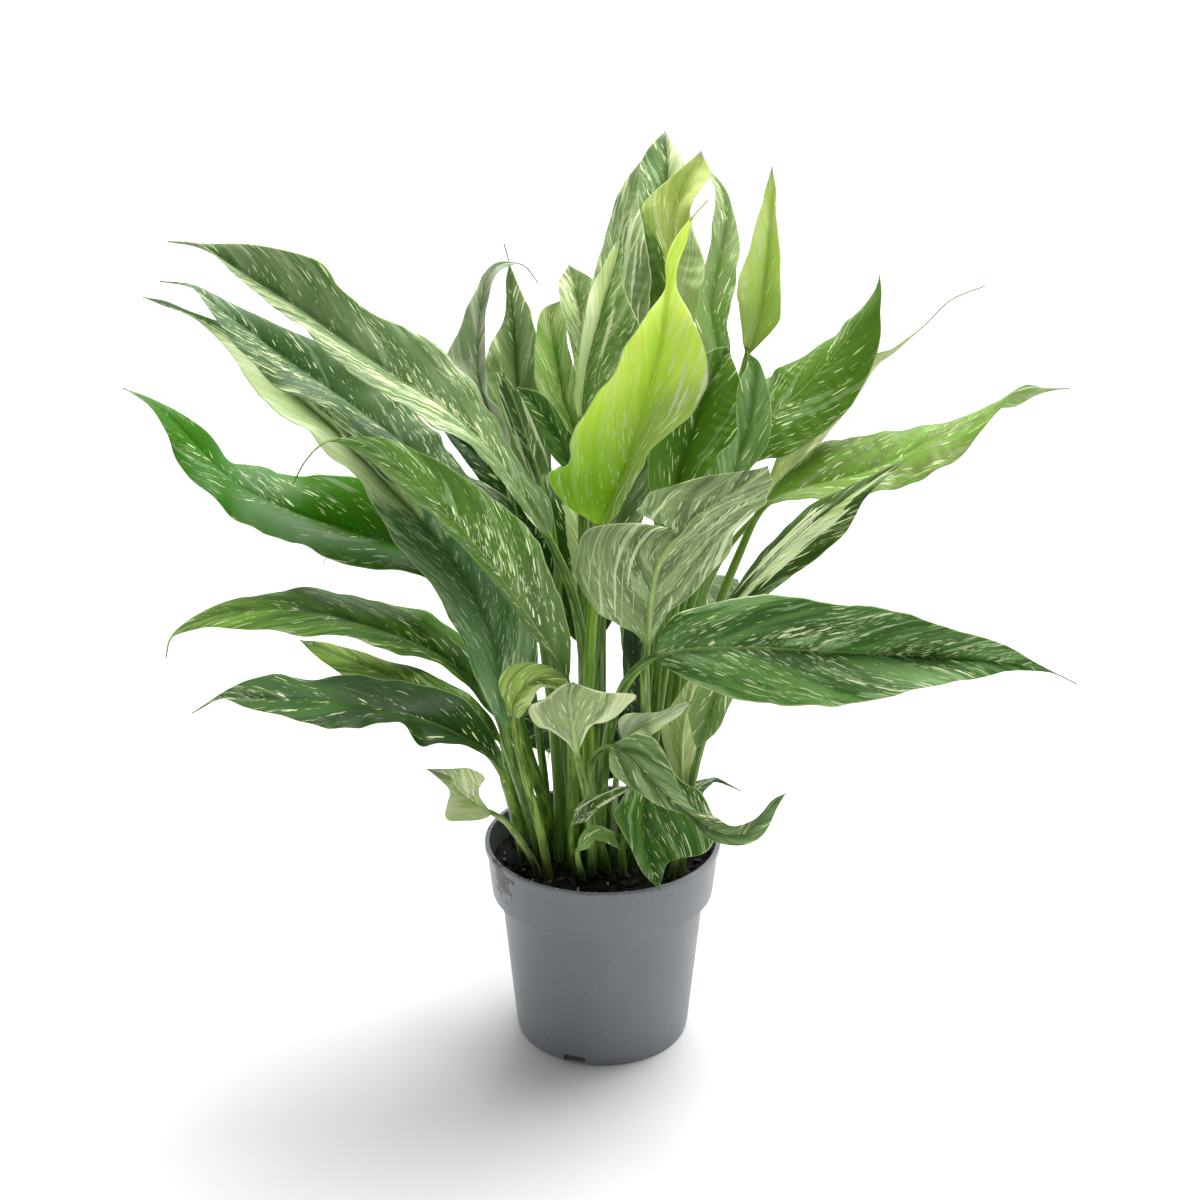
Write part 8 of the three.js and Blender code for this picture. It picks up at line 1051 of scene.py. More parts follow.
        (413, 784, 2249, -231, 88, 67, 202, -143, 67, -22, -41, 89, 90),
        (479, 904, 2287, -219, 122, 76, 216, -129, 76, -2, -4, 100, 74),
        (551, 1024, 2263, -198, 143, 70, 222, -102, 70, 16, 28, 95, 59),
        (613, 1133, 2196, -178, 139, 57, 214, -74, 57, 26, 48, 84, 45),
        (664, 1233, 2109, -151, 123, 42, 187, -54, 43, 31, 59, 74, 32),
        (711, 1314, 2012, -114, 99, 26, 145, -41, 28, 36, 67, 65, 30),
        (753, 1384, 1903, -69, 63, 14, 89, -28, 14, 42, 73, 54, 30),
        (790, 1438, 1784, 0, 0, 0, 0, 0, 0, 44, 76, 48, 30),
        (811, 1490, 1680, 0, 0, 0, 0, 0, 0, 44, 76, 47, 30),
    ]),
    "leaf_44": ("leaf_bright", 7, 18, [
        (338, 263, 904, 0, 0, 0, 0, 0, 0, -20, -98, 2, 271),
        (341, 266, 1054, 0, 0, 0, 0, 0, 0, -19, -98, 11, 260),
        (366, 310, 1375, 0, 0, 0, 0, 0, 0, -19, -97, 12, 249),
        (394, 337, 1709, 0, 0, 0, 0, 0, 0, -19, -97, 15, 238),
        (435, 397, 2032, 0, 0, 0, 0, 0, 0, -18, -96, 23, 227),
        (485, 475, 2346, 0, 0, 0, 0, 0, 0, -17, -94, 30, 216),
        (541, 575, 2649, 0, 0, 0, 0, 0, 0, -15, -91, 38, 204),
        (606, 697, 2935, 0, 0, 0, 0, 0, 0, -12, -87, 48, 166),
        (657, 770, 3031, -95, 6, 44, 95, -46, -14, 1, -73, 68, 145),
        (718, 843, 3089, -126, 22, 90, 134, -79, -29, 10, -63, 77, 126),
        (784, 919, 3136, -137, 39, 126, 154, -104, -41, 16, -59, 79, 108),
        (853, 995, 3177, -138, 52, 148, 162, -121, -51, 20, -57, 80, 90),
        (927, 1074, 3211, -130, 61, 158, 159, -130, -59, 23, -55, 80, 74),
        (1004, 1151, 3241, -119, 63, 158, 150, -129, -61, 26, -55, 80, 59),
        (1082, 1227, 3267, -102, 61, 148, 133, -121, -60, 28, -54, 79, 45),
        (1164, 1303, 3289, -74, 61, 131, 105, -110, -57, 31, -54, 78, 32),
        (1249, 1376, 3302, -44, 54, 104, 72, -89, -51, 37, -53, 76, 30),
        (1337, 1445, 3303, -21, 34, 65, 41, -55, -36, 44, -52, 73, 30),
        (1424, 1507, 3290, 0, 0, 0, 0, 0, 0, 57, -42, 71, 30),
        (1481, 1560, 3256, 0, 0, 0, 0, 0, 0, 68, -32, 66, 30),
    ]),
    "leaf_45": ("leaf_dark", 7, 18, [
        (-350, 56, 904, 0, 0, 0, 0, 0, 0, 11, -99, 4, 271),
        (-361, 60, 1052, 0, 0, 0, 0, 0, 0, 9, -99, 12, 260),
        (-412, 84, 1176, 0, 0, 0, 0, 0, 0, 4, -97, 24, 249),
        (-463, 117, 1299, 0, 0, 0, 0, 0, 0, -2, -92, 39, 238),
        (-512, 184, 1405, 0, 0, 0, 0, 0, 0, -10, -83, 55, 227),
        (-562, 264, 1504, 0, 0, 0, 0, 0, 0, -16, -75, 65, 216),
        (-630, 354, 1572, 0, 0, 0, 0, 0, 0, -29, -61, 73, 204),
        (-717, 447, 1596, 0, 0, 0, 0, 0, 0, -41, -51, 76, 166),
        (-820, 544, 1598, -37, -37, -26, 24, 24, 47, -46, -46, 76, 145),
        (-928, 643, 1589, -50, -58, -39, 27, 37, 73, -50, -46, 74, 126),
        (-1040, 740, 1572, -57, -73, -48, 26, 45, 90, -52, -47, 71, 108),
        (-1155, 835, 1550, -58, -82, -54, 23, 50, 100, -53, -49, 70, 90),
        (-1272, 926, 1527, -54, -87, -56, 19, 52, 103, -52, -51, 69, 74),
        (-1390, 1013, 1502, -49, -86, -55, 14, 51, 100, -53, -52, 67, 59),
        (-1510, 1097, 1472, -41, -80, -52, 8, 47, 92, -53, -54, 65, 45),
        (-1632, 1177, 1439, -30, -70, -45, 2, 42, 78, -52, -56, 64, 32),
        (-1754, 1249, 1406, -19, -55, -36, -2, 33, 60, -51, -59, 63, 30),
        (-1879, 1316, 1369, -9, -34, -23, -3, 20, 37, -50, -62, 60, 30),
        (-2005, 1372, 1323, 0, 0, 0, 0, 0, 0, -56, -59, 58, 30),
        (-2094, 1420, 1267, 0, 0, 0, 0, 0, 0, -63, -55, 54, 30),
    ]),
    "leaf_46": ("leaf_mid", 7, 18, [
        (427, 148, 904, 0, 0, 0, 0, 0, 0, -16, -99, 3, 271),
        (429, 153, 1053, 0, 0, 0, 0, 0, 0, -16, -98, 11, 260),
        (439, 179, 1183, 0, 0, 0, 0, 0, 0, -15, -97, 21, 249),
        (453, 206, 1314, 0, 0, 0, 0, 0, 0, -15, -96, 24, 238),
        (471, 240, 1447, 0, 0, 0, 0, 0, 0, -14, -95, 29, 227),
        (492, 282, 1577, 0, 0, 0, 0, 0, 0, -12, -92, 38, 216),
        (520, 338, 1698, 0, 0, 0, 0, 0, 0, -9, -85, 51, 204),
        (562, 412, 1807, 0, 0, 0, 0, 0, 0, -1, -76, 64, 166),
        (641, 501, 1893, -62, 22, 57, 68, -48, -25, 13, -65, 75, 145),
        (746, 591, 1929, -69, 41, 101, 91, -79, -47, 31, -54, 78, 126),
        (854, 683, 1934, -60, 58, 131, 98, -102, -65, 44, -48, 75, 108),
        (964, 776, 1920, -46, 72, 148, 96, -118, -77, 52, -47, 72, 90),
        (1076, 873, 1897, -34, 79, 152, 90, -126, -81, 55, -46, 70, 74),
        (1188, 968, 1870, -24, 78, 149, 81, -124, -82, 58, -46, 67, 59),
        (1300, 1060, 1835, -11, 73, 137, 66, -117, -79, 61, -48, 63, 45),
        (1412, 1149, 1791, 2, 65, 116, 47, -103, -70, 63, -50, 60, 32),
        (1525, 1230, 1742, 9, 51, 88, 28, -81, -56, 63, -53, 57, 30),
        (1635, 1305, 1685, 9, 31, 54, 13, -49, -37, 64, -56, 52, 30),
        (1745, 1370, 1621, 0, 0, 0, 0, 0, 0, 68, -54, 50, 30),
        (1827, 1431, 1560, 0, 0, 0, 0, 0, 0, 73, -51, 46, 30),
    ]),
    "leaf_47": ("leaf_light", 7, 18, [
        (11, 368, 905, 0, 0, 0, 0, 0, 0, 38, -93, 6, 271),
        (8, 377, 1053, 0, 0, 0, 0, 0, 0, 37, -92, 16, 260),
        (0, 400, 1115, 0, 0, 0, 0, 0, 0, 35, -85, 40, 249),
        (-10, 426, 1174, 0, 0, 0, 0, 0, 0, 33, -81, 48, 238),
        (-24, 458, 1230, 0, 0, 0, 0, 0, 0, 32, -77, 55, 227),
        (-39, 493, 1284, 0, 0, 0, 0, 0, 0, 30, -73, 62, 216),
        (-57, 534, 1334, 0, 0, 0, 0, 0, 0, 26, -64, 73, 204),
        (-77, 583, 1377, 0, 0, 0, 0, 0, 0, 22, -55, 81, 166),
        (-103, 646, 1424, -75, -40, 19, 82, 24, 19, 18, -45, 87, 145),
        (-132, 717, 1457, -112, -54, 33, 119, 39, 33, 11, -26, 96, 126),
        (-163, 789, 1469, -138, -58, 44, 140, 52, 44, 0, 0, 100, 108),
        (-192, 857, 1457, -157, -45, 48, 150, 66, 48, -10, 27, 96, 90),
        (-216, 930, 1423, -167, -28, 45, 152, 75, 45, -15, 45, 88, 74),
        (-237, 997, 1377, -164, -18, 39, 146, 77, 39, -18, 59, 78, 59),
        (-255, 1055, 1320, -152, -13, 31, 132, 77, 31, -22, 70, 68, 45),
        (-271, 1106, 1255, -131, -8, 22, 112, 68, 23, -24, 77, 59, 32),
        (-285, 1147, 1188, -101, -1, 15, 89, 49, 14, -22, 84, 50, 30),
        (-293, 1183, 1118, -62, 1, 9, 56, 29, 6, -20, 89, 42, 30),
        (-301, 1211, 1043, 0, 0, 0, 0, 0, 0, -20, 90, 39, 30),
        (-309, 1238, 980, 0, 0, 0, 0, 0, 0, -20, 89, 41, 30),
    ]),
    "leaf_48": ("leaf_mid", 7, 18, [
        (120, 32, 902, 0, 0, 0, 0, 0, 0, -21, -98, 0, 271),
        (115, 33, 1051, 0, 0, 0, 0, 0, 0, -20, -98, -2, 260),
        (44, 41, 1289, 0, 0, 0, 0, 0, 0, -17, -96, -22, 249),
        (-7, -72, 1609, 0, 0, 0, 0, 0, 0, -17, -97, -18, 238),
        (1, -59, 1877, 0, 0, 0, 0, 0, 0, -16, -98, 10, 227),
        (12, -23, 2134, 0, 0, 0, 0, 0, 0, -16, -98, 13, 216),
        (26, 6, 2391, 0, 0, 0, 0, 0, 0, -16, -98, 13, 204),
        (61, 36, 2646, 0, 0, 0, 0, 0, 0, -17, -98, 9, 166),
        (82, 30, 2761, -62, -4, 11, 57, -26, -8, -18, -98, 3, 145),
        (105, 34, 2854, -91, -6, 21, 82, -42, -13, -17, -97, 15, 126),
        (129, 50, 2942, -109, -9, 30, 99, -52, -16, -15, -96, 25, 108),
        (153, 73, 3029, -118, -10, 35, 108, -58, -17, -13, -94, 31, 90),
        (179, 99, 3114, -121, -10, 37, 110, -61, -20, -15, -96, 25, 74),
        (204, 112, 3204, -118, -10, 34, 105, -60, -24, -19, -98, 12, 59),
        (230, 111, 3298, -108, -9, 29, 95, -54, -25, -21, -98, 3, 45),
        (254, 106, 3393, -93, -9, 22, 83, -45, -19, -20, -98, 3, 32),
        (277, 107, 3486, -72, -8, 14, 66, -32, -11, -16, -98, 6, 30),
        (295, 112, 3579, -44, -7, 8, 42, -17, -6, -11, -99, 8, 30),
        (305, 120, 3673, 0, 0, 0, 0, 0, 0, -11, -99, 6, 30),
        (311, 120, 3739, 0, 0, 0, 0, 0, 0, -12, -99, 1, 30),
    ]),
    "leaf_49": ("leaf_dark", 7, 18, [
        (91, 210, 905, 0, 0, 0, 0, 0, 0, 10, -99, 4, 271),
        (86, 216, 1053, 0, 0, 0, 0, 0, 0, 10, -99, 7, 260),
        (76, 223, 1099, 0, 0, 0, 0, 0, 0, 7, -98, 17, 249),
        (65, 230, 1145, 0, 0, 0, 0, 0, 0, 7, -98, 19, 238),
        (56, 240, 1192, 0, 0, 0, 0, 0, 0, 7, -98, 21, 227),
        (49, 249, 1239, 0, 0, 0, 0, 0, 0, 7, -97, 22, 216),
        (45, 260, 1287, 0, 0, 0, 0, 0, 0, 6, -97, 25, 204),
        (42, 274, 1334, 0, 0, 0, 0, 0, 0, 5, -93, 36, 166),
        (36, 301, 1397, -85, -34, -13, 85, -3, 33, 3, -87, 50, 145),
        (16, 341, 1455, -116, -66, -25, 121, 9, 63, -1, -76, 66, 126),
        (-23, 390, 1499, -121, -97, -42, 132, 27, 97, -8, -66, 74, 108),
        (-80, 437, 1529, -99, -130, -73, 102, 54, 140, -11, -70, 71, 90),
        (-147, 459, 1549, -58, -150, -92, 53, 73, 163, 8, -77, 64, 74),
        (-218, 455, 1567, -29, -148, -94, 24, 73, 163, 20, -76, 62, 59),
        (-288, 445, 1576, -9, -136, -87, -1, 69, 150, 10, -75, 65, 45),
        (-356, 441, 1572, 8, -118, -72, -28, 62, 122, -16, -74, 66, 32),
        (-421, 451, 1551, 16, -91, -55, -41, 48, 87, -36, -73, 58, 30),
        (-481, 460, 1518, 16, -53, -37, -32, 26, 52, -44, -77, 46, 30),
        (-532, 469, 1473, 0, 0, 0, 0, 0, 0, -59, -73, 34, 30),
        (-559, 480, 1428, 0, 0, 0, 0, 0, 0, -68, -70, 23, 30),
    ]),
    "leaf_50": ("leaf_dark", 7, 18, [
        (250, -121, 905, 0, 0, 0, 0, 0, 0, 1, -100, 3, 271),
        (250, -117, 1054, 0, 0, 0, 0, 0, 0, 1, -100, -1, 260),
        (248, -124, 1100, 0, 0, 0, 0, 0, 0, 1, -98, -21, 249),
        (246, -137, 1149, 0, 0, 0, 0, 0, 0, 2, -96, -29, 238),
        (244, -157, 1205, 0, 0, 0, 0, 0, 0, 2, -96, -29, 227),
        (242, -172, 1263, 0, 0, 0, 0, 0, 0, 1, -97, -22, 216),
        (239, -184, 1323, 0, 0, 0, 0, 0, 0, 1, -98, -20, 204),
        (237, -196, 1383, 0, 0, 0, 0, 0, 0, 1, -100, -1, 166),
        (234, -186, 1502, -35, -7, 0, 35, -7, 1, 1, -99, 12, 145),
        (235, -167, 1625, -51, -14, 1, 51, -14, 4, 0, -98, 19, 126),
        (234, -139, 1743, -61, -20, 2, 62, -16, 5, 2, -97, 24, 108),
        (225, -109, 1858, -66, -24, 0, 68, -16, 6, 5, -98, 19, 90),
        (216, -93, 1979, -68, -25, -2, 70, -17, 7, 5, -99, 14, 74),
        (207, -75, 2100, -66, -24, -1, 68, -16, 8, 5, -98, 18, 59),
        (198, -49, 2217, -61, -21, 1, 62, -16, 6, 3, -98, 21, 45),
        (196, -24, 2336, -53, -15, 6, 52, -17, -2, -1, -99, 14, 32),
        (202, -15, 2461, -41, -8, 7, 39, -16, -6, -9, -99, 6, 30),
        (224, -11, 2586, -25, 3, 6, 24, -7, -6, -19, -98, 6, 30),
        (265, -11, 2708, 0, 0, 0, 0, 0, 0, -20, -98, 2, 30),
        (301, -23, 2795, 0, 0, 0, 0, 0, 0, -22, -97, -4, 30),
    ]),
    "leaf_51": ("leaf_dark", 7, 18, [
        (-55, 186, 907, 0, 0, 0, 0, 0, 0, 10, -99, -1, 271),
        (-63, 184, 1056, 0, 0, 0, 0, 0, 0, 12, -99, -5, 260),
        (-143, 156, 1284, 0, 0, 0, 0, 0, 0, 10, -100, 0, 249),
        (-205, 170, 1496, 0, 0, 0, 0, 0, 0, 9, -99, 5, 238),
        (-217, 172, 1733, 0, 0, 0, 0, 0, 0, 9, -100, 4, 227),
        (-229, 188, 1963, 0, 0, 0, 0, 0, 0, 9, -99, 13, 216),
        (-241, 228, 2181, 0, 0, 0, 0, 0, 0, 8, -97, 23, 204),
        (-256, 287, 2392, 0, 0, 0, 0, 0, 0, 8, -96, 28, 166),
        (-269, 322, 2506, -55, -20, -3, 57, -7, 12, 7, -95, 31, 145),
        (-290, 355, 2608, -78, -37, -9, 83, -6, 24, 11, -93, 34, 126),
        (-326, 387, 2705, -89, -52, -14, 98, -2, 35, 15, -92, 36, 108),
        (-372, 416, 2797, -92, -63, -24, 103, 3, 49, 17, -91, 37, 90),
        (-424, 443, 2886, -88, -69, -32, 100, 9, 60, 19, -90, 39, 74),
        (-481, 468, 2972, -81, -71, -35, 92, 14, 64, 19, -89, 42, 59),
        (-545, 496, 3049, -71, -67, -33, 79, 17, 65, 14, -84, 52, 45),
        (-616, 536, 3117, -61, -58, -27, 61, 20, 61, 1, -76, 65, 32),
        (-692, 599, 3171, -47, -44, -22, 43, 18, 49, -9, -69, 72, 30),
        (-772, 661, 3218, -29, -27, -14, 26, 12, 31, -12, -67, 73, 30),
        (-856, 720, 3256, 0, 0, 0, 0, 0, 0, -17, -63, 75, 30),
        (-917, 769, 3275, 0, 0, 0, 0, 0, 0, -23, -59, 78, 30),
    ]),
    "leaf_52": ("leaf_dark", 7, 18, [
        (51, 282, 904, 0, 0, 0, 0, 0, 0, -8, -100, 6, 271),
        (42, 291, 1051, 0, 0, 0, 0, 0, 0, -9, -98, 16, 260),
        (24, 314, 1084, 0, 0, 0, 0, 0, 0, -22, -88, 42, 249),
        (9, 332, 1117, 0, 0, 0, 0, 0, 0, -18, -95, 23, 238),
        (10, 335, 1157, 0, 0, 0, 0, 0, 0, -20, -98, 9, 227),
        (15, 338, 1199, 0, 0, 0, 0, 0, 0, -18, -97, 17, 216),
        (25, 347, 1240, 0, 0, 0, 0, 0, 0, -13, -92, 37, 204),
        (38, 366, 1275, 0, 0, 0, 0, 0, 0, -4, -81, 58, 166),
        (63, 404, 1322, -72, 9, 40, 70, -39, -18, 0, -76, 65, 145),
        (94, 445, 1368, -103, 15, 66, 97, -68, -31, -3, -79, 62, 126),
        (132, 474, 1415, -119, 24, 85, 106, -94, -43, -14, -84, 52, 108),
        (178, 489, 1462, -114, 38, 109, 96, -115, -62, -28, -86, 42, 90),
        (231, 488, 1508, -94, 49, 129, 76, -125, -76, -34, -84, 43, 74),
        (289, 488, 1546, -72, 55, 134, 61, -125, -77, -26, -81, 52, 59),
        (349, 491, 1572, -45, 56, 129, 43, -118, -73, -13, -78, 62, 45),
        (411, 498, 1584, -6, 56, 112, 19, -106, -63, 9, -73, 68, 32),
        (475, 513, 1579, 18, 46, 83, 2, -82, -50, 29, -71, 65, 30),
        (535, 526, 1558, 18, 26, 50, -4, -48, -34, 43, -73, 53, 30),
        (587, 537, 1522, 0, 0, 0, 0, 0, 0, 61, -67, 42, 30),
        (613, 550, 1485, 0, 0, 0, 0, 0, 0, 73, -62, 29, 30),
    ]),
}


# ---------------------------------------------------------------- small tools
def smooth(a, b, x):
    t = np.clip((np.asarray(x, float) - a) / (b - a), 0, 1)
    return t * t * (3 - 2 * t)


def unit(v):
    return v / np.maximum(np.linalg.norm(v, axis=-1, keepdims=True), 1e-12)


def spline(V, u):
    """Catmull-Rom through rows of V at u = 0, 1, 2 ..."""
    n = len(V)
    i = np.clip(u.astype(int), 0, n - 2)
    f = (u - i)[:, None]
    p0, p1, p2, p3 = V[np.maximum(i - 1, 0)], V[i], V[i + 1], V[np.minimum(i + 2, n - 1)]
    return 0.5 * (2 * p1 + (p2 - p0) * f + (2 * p0 - 5 * p1 + 4 * p2 - p3) * f ** 2 + (3 * p1 - p0 - 3 * p2 + p3) * f ** 3)


def waves(rng, x, spans, amps):
    """A smooth seeded wander along x."""
    out = np.zeros_like(x, float)
    for lam, amp in zip(spans, amps):
        for _ in range(2):
            out += amp * 0.6 * np.sin(2 * np.pi * x / (lam * rng.uniform(0.75, 1.3)) + rng.uniform(0, 6.28))
    return out


def new_object(name, verts_mm, faces, material, smooth_faces=True, attrs=None, uv=None):
    me = bpy.data.meshes.new(name)
    v = np.asarray(verts_mm, np.float32) / 1000.0
    sizes = np.array([len(f) for f in faces], np.int32)
    flat = np.concatenate([np.asarray(f, np.int32) for f in faces]) if len(faces) else np.zeros(0, np.int32)
    me.vertices.add(len(v))
    me.vertices.foreach_set("co", v.ravel())
    me.loops.add(len(flat))
    me.loops.foreach_set("vertex_index", flat)
    me.polygons.add(len(sizes))
    me.polygons.foreach_set("loop_start", np.concatenate([[0], np.cumsum(sizes)[:-1]]).astype(np.int32))
    me.polygons.foreach_set("loop_total", sizes)
    me.polygons.foreach_set("use_smooth", np.full(len(sizes), smooth_faces))
    me.update(calc_edges=True)
    for key, (kind, data) in (attrs or {}).items():
        a = me.attributes.new(key, kind, "POINT")
        data = np.asarray(data, np.float32)
        a.data.foreach_set({"FLOAT": "value", "FLOAT_VECTOR": "vector", "FLOAT_COLOR": "color"}[kind], data.ravel())
    if uv is not None:
        layer = me.uv_layers.new(name="OFBake")
        layer.data.foreach_set("uv", np.asarray(uv, np.float32).ravel())
    me.validate()
    ob = bpy.data.objects.new(name, me)
    scene.collection.objects.link(ob)
    me.materials.append(material)
    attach(ob, "root")
    return ob


# ---------------------------------------------------------------- node helpers
class Nodes:
    def __init__(self, name):
        self.mat = bpy.data.materials.new(name)
        self.mat.use_nodes = True
        self.t = self.mat.node_tree
        self.t.nodes.clear()
        self.out = self.t.nodes.new("ShaderNodeOutputMaterial")
        self.bsdf = self.t.nodes.new("ShaderNodeBsdfPrincipled")
        self.t.links.new(self.bsdf.outputs["BSDF"], self.out.inputs["Surface"])

    def put(self, sock, v):
        if hasattr(v, "is_output") or isinstance(v, bpy.types.NodeSocket):
            self.t.links.new(v, sock)
        else:
            try:
                sock.default_value = v
            except (TypeError, ValueError):
                sock.default_value = (v, v, v)

    def attr(self, name):
        n = self.t.nodes.new("ShaderNodeAttribute")
        n.attribute_name = name
        return n

    def sep(self, v):
        n = self.t.nodes.new("ShaderNodeSeparateXYZ")
        self.put(n.inputs[0], v)
        return n.outputs

    def comb(self, x, y, z):
        n = self.t.nodes.new("ShaderNodeCombineXYZ")
        for s, v in zip(n.inputs, (x, y, z)):
            self.put(s, v)
        return n.outputs[0]

    def math(self, op, a, b=0.0, c=0.0, clamp=False):
        n = self.t.nodes.new("ShaderNodeMath")
        n.operation = op
        n.use_clamp = clamp
        self.put(n.inputs[0], a)
        self.put(n.inputs[1], b)
        self.put(n.inputs[2], c)
        return n.outputs[0]

    def ramp(self, x, a, b, lo=0.0, hi=1.0):
        n = self.t.nodes.new("ShaderNodeMapRange")
        n.interpolation_type = "SMOOTHSTEP"
        for s, v in zip(n.inputs[:5], (x, a, b, lo, hi)):
            self.put(s, v)
        return n.outputs[0]

    def noise(self, co, scale, detail=2.0, rough=0.5, dist=0.0):
        n = self.t.nodes.new("ShaderNodeTexNoise")
        n.noise_dimensions = "3D"
        self.put(n.inputs["Vector"], co)
        self.put(n.inputs["Scale"], scale)
        self.put(n.inputs["Detail"], detail)
        self.put(n.inputs["Roughness"], rough)
        self.put(n.inputs["Distortion"], dist)
        return n.outputs["Fac"]

    def voronoi(self, co, scale, feature="F1", rand=1.0):
        n = self.t.nodes.new("ShaderNodeTexVoronoi")
        n.feature = feature
        self.put(n.inputs["Vector"], co)
        self.put(n.inputs["Scale"], scale)
        self.put(n.inputs["Randomness"], rand)
        return n

    def mix(self, f, a, b, mode="MIX"):
        n = self.t.nodes.new("ShaderNodeMix")
        n.data_type = "RGBA"
        n.blend_type = mode
        n.clamp_factor = True
        self.put(n.inputs[0], f)
        for s, v in ((n.inputs[6], a), (n.inputs[7], b)):
            if isinstance(v, tuple) and len(v) == 3:
                v = v + (1.0,)
            self.put(s, v)
        return n.outputs[2]

    def scale_col(self, col, k):
        n = self.t.nodes.new("ShaderNodeVectorMath")
        n.operation = "SCALE"
        self.put(n.inputs[0], col)
        self.put(n.inputs["Scale"], k)
        return n.outputs[0]

    def bump(self, h, strength, dist, normal=None):
        n = self.t.nodes.new("ShaderNodeBump")
        self.put(n.inputs["Height"], h)
        n.inputs["Strength"].default_value = strength
        n.inputs["Distance"].default_value = dist
        if normal is not None:
            self.t.links.new(normal, n.inputs["Normal"])
        return n.outputs[0]

    def set(self, **kw):
        for k, v in kw.items():
            self.put(self.bsdf.inputs[k.replace("_", " ")], v)


# ---------------------------------------------------------------- leaf material
def leaf_material(name, rough):
    n = Nodes(name)
    vein = n.sep(n.attr("veinco").outputs["Vector"])      # foot of the lateral vein, distance from the midrib, seed (mm)
    flat = n.sep(n.attr("flatco").outputs["Vector"])      # v from -1 to 1, s from 0 to 1, stalk 0 .. blade 1
    mark = n.sep(n.attr("mark").outputs["Vector"])        # streaks, cream sector, painted shade sector
    tone = n.attr("tone").outputs["Color"]
    deep = n.attr("deep").outputs["Color"]
    under = n.attr("under").outputs["Fac"]
    q, d, seed = vein[0], vein[1], vein[2]
    v, s, blade = flat[0], flat[1], flat[2]
    ad = n.math("ABSOLUTE", d)
    av = n.math("ABSOLUTE", v)

    def field(kq, kd, shift, detail=2.0, rough_=0.55, dist=0.0):
        co = n.comb(n.math("MULTIPLY", q, kq), n.math("MULTIPLY", d, kd), n.math("ADD", seed, shift))
        return n.noise(co, 1.0, detail, rough_, dist)

    def add(a_, b_):
        return n.math("ADD", a_, b_)

    def mul(a_, b_):
        return n.math("MULTIPLY", a_, b_)

    band = field(0.045, 0.022, 11.0, 2.0, 0.5)
    mid = field(0.13, 0.075, 23.0, 2.0, 0.5)
    silver = field(0.095, 0.058, 31.0, 2.0, 0.5, 0.15)
    run = field(0.30, 0.150, 47.0, 1.6, 0.5, 0.3)
    fleck = field(0.78, 0.34, 57.0, 1.0, 0.5, 0.15)
    dust = field(1.30, 0.72, 67.0, 1.0, 0.5, 0.1)
    fine = field(1.15, 0.11, 41.0, 2.0, 0.5)
    crowd = field(0.040, 0.045, 83.0, 2.0, 0.5)

    def dashes(kq, kd, shift, keep, wide_):
        """one slim dash in some cells, longer along the vein than across it"""
        sway = mul(n.math("SUBTRACT", n.noise(n.comb(mul(q, 0.10), mul(d, 0.07), add(seed, shift)), 1.0, 1.0, 0.5), 0.5), 2.4)
        cell = n.voronoi(n.comb(add(mul(q, kq), sway), mul(d, kd), add(seed, shift)), 1.0)
        pick = n.ramp(add(n.sep(cell.outputs["Color"])[0], add(mul(lift, 1.6), mul(crowded, 1.5))), keep, keep + 0.03)
        size = add(wide_, mul(n.math("SUBTRACT", n.sep(cell.outputs["Color"])[1], 0.5), wide_ * 0.9))
        return mul(pick, n.math("SUBTRACT", 1.0, n.ramp(n.math("DIVIDE", cell.outputs["Distance"], size), 0.80, 1.0)))


    # greens: deep and lighter bands along the veins
    g = n.mix(add(0.18, mul(n.ramp(add(mul(band, 0.55), mul(mid, 0.45)), 0.37, 0.64), 0.58)), deep, tone)
    g = n.mix(mul(n.ramp(fine, 0.46, 0.70), 0.08), g, tone)
    # painted shade: the dark sectors darken this part of the blade towards the deep green, and below they thin out its
    # flecks
    g = n.mix(mul(n.ramp(mark[2], 0.05, 0.9), 0.9), g, n.scale_col(deep, 0.8))
    lift = add(mul(n.math("SUBTRACT", mark[0], 0.5), 0.11), mul(mark[1], 0.10))
    lift = n.math("SUBTRACT", lift, mul(mark[2], 0.12))
    crowded = mul(n.math("SUBTRACT", crowd, 0.5), 0.38)
    # silvery stripes with sharp edges, then ragged cream runs, flecks and dust
    wash = n.mix(0.55, n.scale_col(tone, 1.45), (0.27, 0.345, 0.225))
    stripe_at = n.ramp(add(silver, lift), 0.600, 0.640)
    g = n.mix(mul(stripe_at, 0.72), g, wash)
    cream = n.mix(n.ramp(crowd, 0.4, 0.6), (0.64, 0.76, 0.32), (0.80, 0.88, 0.52))
    creamy = add(add(run, mul(lift, 1.1)), add(mul(crowded, 0.6), mul(stripe_at, 0.035)))
    g = n.mix(mul(n.ramp(creamy, 0.726, 0.742), 0.80), g, cream)
    g = n.mix(mul(n.ramp(add(add(fleck, lift), crowded), 0.700, 0.716), 0.75), g, cream)
    bright = n.mix(0.7, cream, (0.86, 0.92, 0.56))
    g = n.mix(mul(dashes(0.27, 0.165, 131.0, 0.775, 0.27), 0.94), g, bright)
    g = n.mix(mul(dashes(0.46, 0.270, 157.0, 0.80, 0.27), 0.90), g, bright)
    g = n.mix(mul(n.ramp(add(add(dust, mul(lift, 0.7)), crowded), 0.710, 0.740), 0.50), g, cream)
    # solid sectors
    rag = add(mul(n.math("SUBTRACT", run, 0.5), 0.9), mul(n.math("SUBTRACT", mid, 0.5), 1.2))
    sect = n.ramp(add(mark[1], rag), 0.56, 0.70)
    sectc = n.mix(n.ramp(fine, 0.36, 0.62), n.mix(0.55, cream, tone), cream)
    g = n.mix(mul(sect, 0.86), g, sectc)

